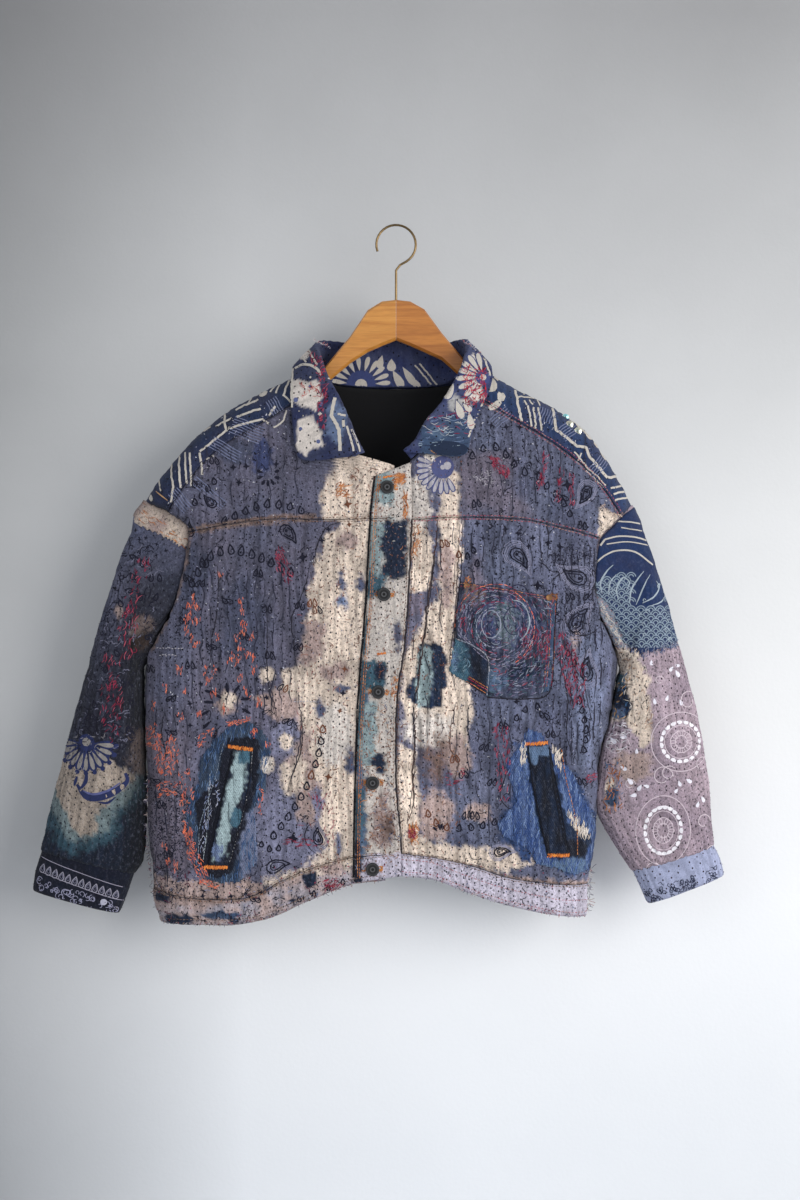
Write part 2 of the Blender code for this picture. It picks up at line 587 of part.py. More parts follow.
def build_collar(cloth):
    """Stand and leaf in one folded wall, round the neck from one front to the other."""
    sections = []
    for number, (seam, fold, leaf) in enumerate(COLLAR):
        seam, fold, leaf = Vector(seam), Vector(fold), Vector(leaf)
        inwards = Vector((NECK_MIDDLE[0] - seam.x, 0, NECK_MIDDLE[1] - seam.z)).normalized()
        seam += inwards * NECK_IN
        ahead = COLLAR[min(number + 1, len(COLLAR) - 1)][1]
        behind = COLLAR[max(number - 1, 0)][1]
        along = (Vector(ahead) - Vector(behind)).normalized()
        stand = fold - seam
        out = stand.cross(along).normalized()
        up = stand.normalized()
        over = fold + out * 2 * COLLAR_BEND
        section = [seam, seam.lerp(fold, 0.55), fold,
                   fold + up * COLLAR_BEND * 0.8 + out * COLLAR_BEND * 0.4,
                   fold + up * COLLAR_BEND * 0.8 + out * COLLAR_BEND * 1.6, over,
                   over.lerp(leaf, 0.35) + out * 1.2, over.lerp(leaf, 0.7) + out * 0.8, leaf]
        sections.append([lifted(point) if place > 5 else point for place, point in enumerate(section)])
    faces_of = Cloth()
    faces_of.grid(sections, lambda r, c: "collar", turned=True)
    normals = faces_of.normals()
    half = CLOTH / 2
    build_wall("collar", faces_of.points, normals, faces_of.faces["collar"], -half, half, "print")


def lifted(point):
    """A point of the collar's leaf, kept clear of the body under it."""
    x, y, z = point
    if z > read(SHOULDER, x):
        return point
    if y < 0:
        return Vector((x, min(y, body_y(x, z) - COLLAR_CLEAR - LAP * (x > -40) * (x < 26)), z))
    return Vector((x, max(y, body_y(x, z, front=False) + COLLAR_CLEAR), z))


def build_hook():
    """The wire hook: a straight shank, then most of a circle."""
    data = bpy.data.curves.new("hanger_hook", "CURVE")
    data.dimensions = "3D"
    middle = Vector((0, 0, HOOK_WIRE / 2 - HOOK_RADIUS))
    shank_top = middle + Vector((0, 0, -HOOK_RADIUS - 7.5))
    points = [Vector((0, 0, HANGER_TOP + SEAM)), shank_top.lerp(Vector((0, 0, HANGER_TOP)), 0.5), shank_top]
    joint = Vector((13, 0, middle.z - HOOK_RADIUS * 0.86))
    points.append(shank_top.lerp(joint, 0.5) + Vector((-1.2, 0, 1.4)))
    first, last, steps = math.radians(-58), math.radians(200), 22
    for step in range(steps + 1):
        angle = first + (last - first) * step / steps
        points.append(middle + HOOK_RADIUS * Vector((math.cos(angle), 0, math.sin(angle))))
    spline = data.splines.new("POLY")
    spline.points.add(len(points) - 1)
    for spot, place in zip(spline.points, points):
        spot.co = (*(place * MM), 1.0)
    data.bevel_depth = HOOK_WIRE / 2 * MM
    data.bevel_resolution = 2
    data.use_fill_caps = True
    data.materials.append(material("wire"))
    thing = bpy.data.objects.new("hanger_hook", data)
    bpy.context.scene.collection.objects.link(thing)


def build_hanger_arm(name, sign):
    """One wooden arm: eight-sided sections from the joint in the middle to the rounded end."""
    mesh = bmesh.new()
    rings = []
    for row in HANGER_ARMS:
        away, top, low = row[0], row[1 if sign < 0 else 3], row[2 if sign < 0 else 4]
        x = sign * max(away, SEAM / 2)
        half = HANGER_THICK / 2 * (0.72 if away > 215 else 1.0)
        edge = 0.28 * min(top - low, HANGER_THICK)
        outline = [(-half, top - edge), (-half + edge, top), (half - edge, top), (half, top - edge),
                   (half, low + edge), (half - edge, low), (-half + edge, low), (-half, low + edge)]
        rings.append([mesh.verts.new(Vector((x, y, z)) * MM) for y, z in outline])
    for near, far in zip(rings, rings[1:]):
        for i in range(8):
            j = (i + 1) % 8
            corners = (near[i], near[j], far[j], far[i])
            mesh.faces.new(corners if sign > 0 else corners[::-1])
    mesh.faces.new(rings[0][::-1] if sign > 0 else rings[0])
    mesh.faces.new(rings[-1] if sign > 0 else rings[-1][::-1])
    bmesh.ops.recalc_face_normals(mesh, faces=mesh.faces)
    add_object(name, mesh, "wood")


def build_stud(name, x, z, across, high, surface, kind="metal"):
    """A round button or rivet whose turned profile stands on the cloth."""
    profile = [(0.0, 0.0), (0.36, 0.0), (0.5, 0.3), (0.5, 0.75), (0.44, 1.0), (0.3, 0.92), (0.12, 0.8),
               (0.0, 0.8)]
    mesh = bmesh.new()
    sides = 14
    rings = []
    for radius, height in profile:
        if radius == 0:
            rings.append([mesh.verts.new((0, -height * high * MM, 0))])
            continue
        turn = [2 * math.pi * i / sides for i in range(sides)]
        rings.append([mesh.verts.new((radius * across * MM * math.cos(a), -height * high * MM,
                                      radius * across * MM * math.sin(a))) for a in turn])
    for near, far in zip(rings, rings[1:]):
        for i in range(sides):
            j = (i + 1) % sides
            corners = [near[i % len(near)], near[j % len(near)], far[j % len(far)], far[i % len(far)]]
            mesh.faces.new(list(dict.fromkeys(corners)))
    bmesh.ops.recalc_face_normals(mesh, faces=mesh.faces)
    thing = add_object(name, mesh, kind)
    thing.location = Vector((x, surface, z)) * MM
    return thing


def seat_under(names, x, z, radius):
    """How far forward the named pieces reach under a round stud, found by rays from the front."""
    bpy.context.view_layer.update()
    graph = bpy.context.evaluated_depsgraph_get()
    trees = [BVHTree.FromObject(bpy.data.objects[name], graph) for name in names]
    reach = []
    for turn in range(9):
        away = radius if turn < 8 else 0.0
        angle = turn * math.pi / 4
        spot = Vector((x + away * math.cos(angle), -200, z + away * math.sin(angle)))
        for tree in trees:
            hit = tree.ray_cast(spot * MM, Vector((0, 1, 0)))[0]
            if hit:
                reach.append(hit.y / MM)
    return min(reach)


def main():
    for thing in list(bpy.data.objects):
        bpy.data.objects.remove(thing, do_unlink=True)
    cloth = Cloth()
    body = build_body(cloth)
    under = body["yoke_end"] + UNDERARM_ROW
    back = body["back"]
    back_under = len(BACK_YOKE_ROWS) - 1 + UNDERARM_ROW
    left_hole = [row[0] for row in body["left"][:under + 1]]
    left_hole += [row[0] for row in back[back_under - 1:0:-1]]
    right_hole = [row[0] for row in body["right"][:under + 1]]
    right_hole += [row[-1] for row in back[back_under - 1:0:-1]]
    left_sleeve = build_sleeve(cloth, "sleeve_left", left_hole, under, SLEEVE_LEFT, CUFF_LEFT, False)
    right_sleeve = build_sleeve(cloth, "sleeve_right", right_hole, under, SLEEVE_RIGHT, CUFF_RIGHT, True)
    normals = cloth.normals()
    kinds = {"back_yoke": "yoke", "button_placket": "pale", "sleeve_right": "mauve",
             "cuff_left": "dark_denim", "cuff_right": "cuff"}
    for name, faces in cloth.faces.items():
        for hole, sign in ((left_hole, -1), (right_hole, 1)):
            # body and sleeve part in the crease under the arm
            normals[hole[under]] = Vector((-sign if name.startswith("sleeve") else sign, 0, 0))
        build_wall(name, cloth.points, normals, faces, -CLOTH, 0.0, kinds.get(name, "body"))

    def patch(name, faces, level, kind, gap=0.0):
        low = level * (PATCH + LIE) + LIE
        build_wall(name, cloth.points, normals, faces, low, low + PATCH, kind, gap)

    first = body["yoke_end"]
    welt_rows = (first + WELT_ROWS[0], first + WELT_ROWS[1])
    patch("pocket_denim_left", cells(body["left"], welt_rows, LEFT_DENIM), 0, "denim")
    patch("welt_left", cells(body["left"], welt_rows, LEFT_WELT), 1, "dark_denim", 1.0)
    patch("pocket_denim_right", flipped(cells(body["right"], welt_rows, RIGHT_DENIM)), 0, "denim")
    patch("welt_right", flipped(cells(body["right"], welt_rows, RIGHT_WELT)), 1, "dark_denim", 1.0)
    pocket_rows = (first + POCKET_ROWS[0], first + POCKET_ROWS[1])
    patch("chest_pocket", flipped(cells(body["right"], pocket_rows, CHEST_POCKET)), 0, "denim")
    lowest = (pocket_rows[1] - 1, pocket_rows[1])
    patch("chest_denim_patch", flipped(cells(body["right"], lowest, (7, 9))), 1, "dark_denim", 1.0)
    patch("sleeve_left_head_band", cells(left_sleeve, LEFT_HEAD_BAND, (1, under - 3)), 0, "pale")
    patch("sleeve_right_print", flipped(cells(right_sleeve, RIGHT_PRINT, (1, under - 2))), 0, "print")
    lining = flipped(cells(back, (1, len(BACK_YOKE_ROWS) - 1), (11, len(back[0]) - 12)))
    deep = -CLOTH - LIE
    build_wall("back_lining", cloth.points, normals, lining, deep - LINING, deep, "lining", 1.0)
    build_collar(cloth)
    build_hanger_arm("hanger_arm_left", -1)
    build_hanger_arm("hanger_arm_right", 1)
    build_hook()
    for number, (x, z) in enumerate(BUTTONS, 1):
        surface = seat_under(("button_placket", "waistband_right"), x, z, BUTTON_ACROSS / 2) - SEAM
        build_stud(f"button_{number}", x, z, BUTTON_ACROSS, BUTTON_HIGH, surface)
    for number, (x, z) in enumerate(RIVETS, 1):
        surface = seat_under(("chest_pocket",), x, z, RIVET_ACROSS / 2) - SEAM
        build_stud(f"pocket_rivet_{number}", x, z, RIVET_ACROSS, RIVET_HIGH, surface)
    bpy.context.view_layer.update()
    triangles = sum(len(thing.data.polygons) for thing in bpy.data.objects if thing.type == "MESH")
    print("triangles in the cloth, wood and studs:", triangles)


main()
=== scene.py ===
# %% [markdown]
# # A patched boro jacket on a wooden hanger
# Boro is cloth that has been mended so often that the mending holds it together. This jacket is
# cut like a denim jacket, from many layers that are quilted with rows of tiny dark stitches,
# bleached in places, and patched with printed cotton and denim. It is rebuilt the way it is sewn:
# panel by panel from seam to seam, then the dye, the prints, and at last thousands of stitches.
# Tables are in millimetres, as (x, z) seen from the front, and meshes are made in metres.

# %% Load the frame
import math
import random

import bpy
import numpy as np
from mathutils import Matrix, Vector
from mathutils.bvhtree import BVHTree


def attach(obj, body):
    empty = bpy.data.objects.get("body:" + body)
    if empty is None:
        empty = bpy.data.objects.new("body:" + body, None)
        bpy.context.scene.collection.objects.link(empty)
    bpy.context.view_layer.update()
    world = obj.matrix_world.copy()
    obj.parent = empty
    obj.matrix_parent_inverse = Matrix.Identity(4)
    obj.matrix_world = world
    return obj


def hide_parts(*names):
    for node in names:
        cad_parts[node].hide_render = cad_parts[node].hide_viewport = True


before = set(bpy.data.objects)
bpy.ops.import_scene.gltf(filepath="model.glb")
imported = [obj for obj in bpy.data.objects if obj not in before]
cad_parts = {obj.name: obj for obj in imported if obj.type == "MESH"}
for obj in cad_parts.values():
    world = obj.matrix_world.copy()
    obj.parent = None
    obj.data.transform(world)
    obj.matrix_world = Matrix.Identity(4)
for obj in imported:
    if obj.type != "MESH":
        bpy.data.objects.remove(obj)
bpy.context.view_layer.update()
MM = 0.001

# %% [markdown]
# ## Camera, wall and light
# The jacket hangs flat before a plastered wall, and is seen straight on from about two metres.
# A normal lens keeps its sides parallel. The wall is wider than the view, and its back is
# transparent, so that the jacket can also be looked at from behind.

# %% Camera
FAR = 2.1                      # from the lens to the front of the jacket, in metres
VIEW_HIGH = 1.5                # what the view takes in there, from top to bottom
FRONT_PLANE = -0.03
eye = Vector((0.005, FRONT_PLANE - FAR, -0.474))
camera_data = bpy.data.cameras.new("camera")
camera_data.sensor_fit = "VERTICAL"
camera_data.sensor_height = 36.0
camera_data.lens = camera_data.sensor_height * FAR / VIEW_HIGH
camera = bpy.data.objects.new("camera", camera_data)
camera.location = eye
camera.rotation_euler = (math.radians(90), 0, 0)
bpy.context.scene.collection.objects.link(camera)
bpy.context.scene.camera = camera
bpy.context.scene.view_settings.view_transform = "Standard"
print("lens:", round(camera_data.lens, 1), "mm")


# %% Helpers for shader nodes
def new_material(name):
    """A material with an empty node tree but for its Principled shader and its output."""
    made = bpy.data.materials.new(name)
    made.use_nodes = True
    tree = made.node_tree
    return made, tree, tree.nodes["Principled BSDF"]


def node(tree, kind, inputs=None, **settings):
    """Adds one shader node. An input is a value, or the output socket that feeds it."""
    made = tree.nodes.new("ShaderNode" + kind)
    for key, value in settings.items():
        setattr(made, key, value)
    for key, value in (inputs or {}).items():
        if isinstance(value, bpy.types.NodeSocket):
            tree.links.new(value, made.inputs[key])
        else:
            made.inputs[key].default_value = value
    return made


def scaled(tree, factors):
    """The place on the object in metres, times a factor along each axis."""
    place = node(tree, "TexCoord").outputs["Object"]
    return node(tree, "Mapping", {"Vector": place, "Scale": factors}).outputs["Vector"]


def ramp(tree, value, stops):
    """A colour ramp over a value. Stops are (position, grey or colour)."""
    made = node(tree, "ValToRGB", {"Fac": value})
    bar = made.color_ramp
    while len(bar.elements) < len(stops):
        bar.elements.new(0.5)
    for element, (at, colour) in zip(bar.elements, stops):
        element.position = at
        element.color = (colour, colour, colour, 1) if isinstance(colour, float) else (*colour, 1)
    return made.outputs["Color"]


def blended(tree, share, first, second, how="MIX"):
    """Mixes two colours by a share, which is a number or a socket."""
    made = node(tree, "Mix", data_type="RGBA", blend_type=how)
    for key, value in ((0, share), (6, first), (7, second)):
        if isinstance(value, bpy.types.NodeSocket):
            tree.links.new(value, made.inputs[key])
        elif key == 0:
            made.inputs[0].default_value = value
        else:
            made.inputs[key].default_value = (*value, 1)
    return made.outputs[2]


def wire(tree, output, shader, name):
    tree.links.new(output, shader.inputs[name])


# %% Wall, floor and lamps
# The wall and the floor carry painted light and a painted shadow of the jacket in their colour.
WALL_Y, WALL_HALF = 0.085, 2.2
FLOOR_Z, FLOOR_FRONT = -1.45, -3.0
# how far down the wall from the hook's height to the floor's, and the wall's colour there, which is painted
# light: grey high up, near white low down
PAINTED_LIGHT_DOWN = [(0.0, (0.33, 0.33, 0.335)), (0.33, (0.54, 0.545, 0.55)), (0.45, (0.69, 0.695, 0.70)),
              (0.62, (0.78, 0.785, 0.79)), (0.78, (0.83, 0.84, 0.86)), (1.0, (0.75, 0.77, 0.80))]
# painted shadow of the jacket on the left of the wall, by how far down
LEFT_PAINTED_SHADOW_DOWN = [(0.0, 0.94), (0.3, 0.94), (0.50, 0.90), (0.60, 0.95), (0.74, 0.80), (1.0, 0.70)]


def plaster_with_painted_light():
    """Matt plaster with painted light in its colour: grey on the left and at the top, near white low on the
    right, and a painted shadow of the jacket low on the left.
    """
    made, tree, shader = new_material("plaster")
    place = scaled(tree, (1, 1, 1))
    parts = node(tree, "SeparateXYZ", {"Vector": place}).outputs
    # painted light: brighter further down the wall
    down = node(tree, "MapRange", {"Value": parts["Z"], "From Min": 0.3, "From Max": -1.2})
    tone = ramp(tree, down.outputs[0], PAINTED_LIGHT_DOWN)
    # painted shade: darker towards the left
    left = node(tree, "MapRange", {"Value": parts["X"], "From Min": -0.62, "From Max": -0.2})
    tone = blended(tree, 1.0, tone, ramp(tree, left.outputs[0], [(0.0, 0.57), (1.0, 1.0)]), "MULTIPLY")
    # painted shadow of the jacket, low on the left
    foot = ramp(tree, down.outputs[0], LEFT_PAINTED_SHADOW_DOWN)
    foot = blended(tree, left.outputs[0], foot, (1.0, 1.0, 1.0))
    tone = blended(tree, 1.0, tone, foot, "MULTIPLY")
    # painted shade: a little darker far to the right
    right = node(tree, "MapRange", {"Value": parts["X"], "From Min": 0.1, "From Max": 0.5})
    tone = blended(tree, 1.0, tone, ramp(tree, right.outputs[0], [(0.0, 1.0), (1.0, 0.90)]), "MULTIPLY")
    blot = node(tree, "TexNoise", {"Vector": place, "Scale": 3.0, "Detail": 4.0}).outputs["Fac"]
    tone = blended(tree, 0.10, tone, ramp(tree, blot, [(0.3, 0.35), (0.7, 0.85)]), "OVERLAY")
    wire(tree, tone, shader, "Base Color")
    shader.inputs["Roughness"].default_value = 0.92
    shader.inputs["Specular IOR Level"].default_value = 0.15
    grain = node(tree, "TexNoise", {"Vector": place, "Scale": 190.0, "Detail": 5.0})
    bump = node(tree, "Bump", {"Height": grain.outputs["Fac"], "Strength": 0.12, "Distance": 0.002})
    wire(tree, bump.outputs["Normal"], shader, "Normal")
    behind = node(tree, "NewGeometry").outputs["Backfacing"]
    clear = node(tree, "BsdfTransparent").outputs[0]
    both = node(tree, "MixShader", {0: behind, 1: shader.outputs[0], 2: clear})
    tree.links.new(both.outputs[0], tree.nodes["Material Output"].inputs["Surface"])
    return made


def stage_plane(name, corners, finish):
    data = bpy.data.meshes.new(name)
    data.from_pydata(corners, [], [(0, 1, 2, 3)])
    data.materials.append(finish)
    thing = bpy.data.objects.new(name, data)
    bpy.context.scene.collection.objects.link(thing)


def soft_lamp(name, place, aim, size, power, colour=(1, 1, 1)):
    lamp = bpy.data.lights.new(name, "AREA")
    lamp.shape = "DISK"
    lamp.size = size
    lamp.energy = power
    lamp.color = colour
    thing = bpy.data.objects.new(name, lamp)
    thing.location = place
    thing.rotation_euler = (Vector(aim) - Vector(place)).to_track_quat("-Z", "Y").to_euler()
    bpy.context.scene.collection.objects.link(thing)


plaster = plaster_with_painted_light()
stage_plane("wall", [(-WALL_HALF, WALL_Y, FLOOR_Z), (WALL_HALF, WALL_Y, FLOOR_Z),
                     (WALL_HALF, WALL_Y, WALL_HALF), (-WALL_HALF, WALL_Y, WALL_HALF)], plaster)
stage_plane("floor", [(-WALL_HALF, FLOOR_FRONT, FLOOR_Z), (WALL_HALF, FLOOR_FRONT, FLOOR_Z),
                      (WALL_HALF, WALL_Y, FLOOR_Z), (-WALL_HALF, WALL_Y, FLOOR_Z)], plaster)
world = bpy.data.worlds.new("room")
bpy.context.scene.world = world
world.use_nodes = True
sky = world.node_tree.nodes["Background"]
sky.inputs["Color"].default_value = (0.90, 0.94, 1.0, 1)
sky.inputs["Strength"].default_value = 0.64
soft_lamp("window", (2.0, -1.9, -0.2), (0, 0, -0.55), 2.2, 62.0, (1.0, 0.98, 0.95))
soft_lamp("room_fill", (-1.3, -2.2, 0.2), (0, 0, -0.5), 1.6, 9.0, (0.95, 0.97, 1.0))
print("wall", WALL_Y, "m behind the hook, lamps: 2")

# %% [markdown]
# ## The cut of the jacket
# The panels meet at seams, so a seam is written once, as a short table of points, and every panel
# beside it reads the same table. The frame's solids were made from these tables too. A smooth
# curve goes through each table, and never swings past a point as a plain spline would.

# %% Tables of the body
SHOULDER = [(-320, -351), (-302, -324), (-279, -296), (-252, -266), (-212, -234), (-171, -211),
            (-131, -192), (-112, -183), (-60, -160), (50, -156), (101, -174), (121, -188),
            (150, -205), (183, -221), (212, -238), (239, -259), (262, -290), (281, -319), (300, -357)]
NECK_LEFT, NECK_RIGHT = -112.0, 101.0
NECK_BACK = [(-112, -183), (-100, -191), (-82, -198), (-49, -202), (0, -204), (34, -202), (66, -199),
             (84, -190), (101, -174)]
# height, edge of the body there, and half the width of the armhole
EDGE_LEFT = [(-351, -320, 0), (-355, -311, 9), (-364, -289, 15), (-386, -262, 22), (-419, -265, 26),
             (-464, -274, 26), (-501, -290, 21), (-530, -307, 11), (-552, -316, 0), (-586, -319, 0),
             (-696, -316, 0), (-770, -315, 0), (-815, -309, 0), (-851, -308, 0), (-879, -299, 0)]
EDGE_RIGHT = [(-357, 300, 0), (-361, 295, 9), (-366, 288, 13), (-377, 277, 16), (-402, 255, 23),
              (-454, 250, 26), (-492, 257, 24), (-516, 267, 18), (-535, 276, 10), (-555, 281, 0),
              (-594, 277, 0), (-632, 270, 0), (-661, 260, 0), (-714, 256, 0), (-750, 255, 0),
              (-797, 250, 0), (-834, 244, 0), (-872, 243, 0)]
SHOULDER_SEAM_LEFT = [(-286, -366), (-262, -331), (-236, -300), (-208, -277), (-161, -250),
                      (-131, -232), (-105, -218)]
SHOULDER_SEAM_RIGHT = [(284, -371), (262, -340), (243, -317), (212, -290), (177, -267), (150, -251),
                       (112, -228), (92, -214)]
YOKE_SEAM_LEFT = [(-262, -389), (-203, -379), (-147, -373), (-83, -374), (-3, -372)]
YOKE_SEAM_RIGHT = [(259, -397), (191, -380), (150, -373), (84, -371), (20, -374)]
YOKE_SEAM_BACK = [(-262, -389), (-140, -383), (0, -380), (140, -385), (259, -397)]
WAIST_SEAM_LEFT = [(-311, -836), (-247, -846), (-197, -846), (-163, -836), (-148, -826),
                   (-100, -806), (-52, -794), (-13, -790)]
WAIST_SEAM_RIGHT = [(244, -831), (184, -826), (138, -819), (95, -805), (50, -795), (7, -789)]
WAIST_SEAM_BACK = [(-311, -836), (-200, -812), (-60, -798), (60, -798), (160, -812), (244, -831)]
HEM_LEFT = [(-299, -879), (-242, -878), (-213, -879), (-165, -872), (-105, -847), (-50, -827),
            (-13, -823)]
HEM_RIGHT = [(243, -872), (195, -866), (135, -853), (86, -837), (46, -822), (7, -817)]
HEM_BACK = [(-299, -879), (-180, -848), (-60, -823), (60, -821), (150, -845), (243, -872)]
NECK_EDGE_LEFT = [(-105, -218), (-84, -258), (-57, -290), (-2, -306), (-3, -372)]
NECK_EDGE_RIGHT = [(92, -214), (72, -244), (46, -275), (18, -301), (20, -374)]
FRONT_EDGE_LEFT = [(-3, -372), (-8, -540), (-12, -700), (-13, -790)]
PLACKET_SEAM = [(20, -301), (20, -374), (15, -474), (10, -536), (1, -599), (0, -699), (5, -755),
                (7, -789), (7, -817)]
PLACKET_EDGE = [(-25, -320), (-30, -364), (-33, -421), (-36, -479), (-41, -536), (-46, -604),
                (-50, -724), (-51, -788), (-51, -819)]
# Long folds of the cloth: x and z at the top, x and z at the foot, half width, depth
FRONT_FOLDS = [(-50, -400, -70, -800, 11, 3.0), (50, -380, 16, -760, 9, 3.4),
               (82, -400, 66, -640, 9, 2.4), (-150, -440, -120, -640, 14, 2.2),
               (-232, -520, -262, -780, 15, 2.4), (215, -500, 222, -700, 14, 2.6)]
BACK_FOLDS = [(-190, -420, -215, -800, 20, 4.0), (-70, -430, -60, -790, 18, 3.0),
              (60, -430, 82, -790, 18, 3.0), (180, -420, 196, -790, 20, 4.0)]
CLOTH = 2.6                    # all the layers of the quilted cloth together
FRONT_DEPTH, BACK_DEPTH = 42.0, 30.0
SIDE_TURN, FOLD_TURN = 52.0, 34.0
LAP, LAP_FADE = 3.6, (0.0, 26.0)
print("widest panel:", EDGE_RIGHT[9][1] - EDGE_LEFT[8][1], "mm across at the underarms")


# %% Curves through tables, and the depth of the body
def curve(rows, at, column=1):
    """A column of a table at many places at once, on a smooth curve that never overshoots."""
    rows = sorted(rows)
    xs = np.array([row[0] for row in rows], float)
    ys = np.array([row[column] for row in rows], float)
    wide = np.diff(xs)
    step = np.diff(ys) / wide
    with np.errstate(divide="ignore", invalid="ignore"):
        middle = 2 * step[:-1] * step[1:] / (step[:-1] + step[1:])
    middle = np.where(step[:-1] * step[1:] <= 0, 0.0, middle)
    slope = np.concatenate([step[:1], middle, step[-1:]])
    at = np.clip(np.asarray(at, float), xs[0], xs[-1])
    i = np.clip(np.searchsorted(xs, at) - 1, 0, len(xs) - 2)
    t = (at - xs[i]) / wide[i]
    return ((1 + 2 * t) * (1 - t) ** 2 * ys[i] + t * (1 - t) ** 2 * wide[i] * slope[i]
            + t * t * (3 - 2 * t) * ys[i + 1] - t * t * (1 - t) * wide[i] * slope[i + 1])


def bulge(distance, reach):
    """0 at an edge, rising round to 1 past the reach."""
    left = 1 - np.clip(distance / reach, 0, 1)
    return np.sqrt(np.maximum(1 - left * left, 0))


def smooth_step(value):
    value = np.clip(value, 0, 1)
    return value * value * (3 - 2 * value)


def run_of(line):
    """How far each point of a line is from its start, measured along the line."""
    return np.concatenate([[0], np.cumsum(np.linalg.norm(np.diff(line, axis=0), axis=1))])


def points_at(line, at):
    """The points of a line at the given distances from its start."""
    away = run_of(line)
    return np.stack([np.interp(at, away, line[:, k]) for k in range(line.shape[1])], -1)


def trough(folds, x, z):
    depth = np.zeros(np.shape(x))
    for x_top, z_top, x_foot, z_foot, half, deep in folds:
        middle = x_top + (x_foot - x_top) * (z_top - z) / (z_top - z_foot)
        ends = smooth_step((z_top - z) / 40.0) * smooth_step((z - z_foot) / 40.0)
        depth += deep * ends * np.exp(-((x - middle) / half) ** 2)
    return depth


def body_y(x, z, front=True):
    """Depth of the body's cloth: rounded to the sides and to the fold of the shoulders."""
    left = x < 0
    edge = np.where(left, curve(EDGE_LEFT, z), curve(EDGE_RIGHT, z))
    inwards = np.where(left, x - edge, edge - x)
    armhole = np.where(left, curve(EDGE_LEFT, z, 2), curve(EDGE_RIGHT, z, 2))
    full = FRONT_DEPTH if front else BACK_DEPTH
    armhole = armhole * (1 if front else BACK_DEPTH / FRONT_DEPTH)
    out = armhole + (full - armhole) * bulge(inwards, SIDE_TURN)
    out = out * bulge(curve(SHOULDER, x) - z, FOLD_TURN)
    out = out - trough(FRONT_FOLDS if front else BACK_FOLDS, x, z) * smooth_step(inwards / 30)
    return -out if front else out


def lapped_y(x, z):
    """The right front lies over the left one near the buttons."""
    start, end = LAP_FADE
    return body_y(x, z) - LAP * (1 - smooth_step((x - start) / (end - start)))


def back_y(x, z):
    return body_y(x, z, front=False)


middle = body_y(np.array([-150.0, 150.0]), np.array([-600.0, -600.0]))
print("front of the chest at y =", middle.round(1), "mm")

# %% [markdown]
# ## A panel from its four edges
# A panel is a grid that is stretched between its seams: each point is blended from the edge
# above, the edge below and the two at the sides, which is called a Coons patch. The grid is about
# two millimetres fine, so that the puckers between the rows of stitches are real shape.


# %% Grids of cloth
def top_and_foot(line, share):
    """Points along a seam, by a share of its width."""
    x = line[0][0] + (line[-1][0] - line[0][0]) * share
    return np.stack([x, curve(line, x)], -1)


def side_of(edge, z_top, z_foot):
    """The side of the body between two heights, as a function of the share of the way down."""
    def at(down):
        z = z_top + (z_foot - z_top) * down
        return np.stack([curve(edge, z), z], -1)
    return at


def down_line(points):
    """A line of points read by height."""
    heights = [point[1] for point in points]
    places = [point[0] for point in points]

    def at(down):
        z = heights[0] + (heights[-1] - heights[0]) * down
        return np.stack([np.interp(-z, [-h for h in heights], places), z], -1)
    return at


def coons(top, foot, outer, inner, pitch):
    """A grid of (x, z) between four edges, with its cells about as wide as the pitch."""
    wide = max(abs(top[-1][0] - top[0][0]), abs(foot[-1][0] - foot[0][0]))
    high = max(abs(foot[0][1] - top[0][1]), abs(foot[-1][1] - top[-1][1]))
    share = np.linspace(0, 1, max(int(wide / pitch), 4) + 1)[None, :, None]
    down = np.linspace(0, 1, max(int(high / pitch), 4) + 1)[:, None, None]
    upper, lower = top_and_foot(top, share[..., 0]), top_and_foot(foot, share[..., 0])
    side, front = outer(down[..., 0]), inner(down[..., 0])
    ends = [top_and_foot(line, np.array([part]))[0] for line in (top, foot) for part in (0.0, 1.0)]
    corners = ((1 - share) * ((1 - down) * ends[0] + down * ends[2])
               + share * ((1 - down) * ends[1] + down * ends[3]))
    return (1 - down) * upper + down * lower + (1 - share) * side + share * front - corners


def in_depth(flat, depth):
    """Adds the depth to a grid of (x, z)."""
    x, z = flat[..., 0], flat[..., 1]
    return np.stack([x, depth(x, z), z], -1)


def part_of(line, start, end):
    """The part of a line from one x to another."""
    inside = [point for point in line if min(start, end) < point[0] < max(start, end)]
    ends = [(start, float(curve(line, start))), (end, float(curve(line, end)))]
    return sorted(inside + ends, reverse=start > end)


def grid_normals(grid, facing):
    """The direction in which each point of a grid faces, turned to agree with facing."""
    along = np.gradient(grid, axis=1)
    down = np.gradient(grid, axis=0)
    normal = np.cross(down, along)
    normal /= np.maximum(np.linalg.norm(normal, axis=-1, keepdims=True), 1e-9)
    middle = normal[normal.shape[0] // 2, normal.shape[1] // 2]
    return normal * (1 if np.dot(middle, facing) > 0 else -1)


FRONT, BACK = np.array([0.0, -1.0, 0.0]), np.array([0.0, 1.0, 0.0])
print("facing front:", FRONT, "facing the wall:", BACK)

# %% [markdown]
# ## Puckers and dye need a repeatable kind of chance
# Noise that is smooth and always the same is made from a grid of fixed random slopes. Stretched
# along the rows of stitches it gives the long puckers of quilting, and at other sizes it makes
# the edge of a bleached place wander.


# %% Noise
def chance(i, j, seed):
    """A fixed random number from 0 to 1 for each pair of whole numbers."""
    mixed = (i * 374761393 + j * 668265263 + seed * 144269504) & 0xFFFFFFFF
    mixed = ((mixed ^ (mixed >> 13)) * 1274126177) & 0xFFFFFFFF
    return ((mixed ^ (mixed >> 16)) & 0xFFFF) / 65535.0


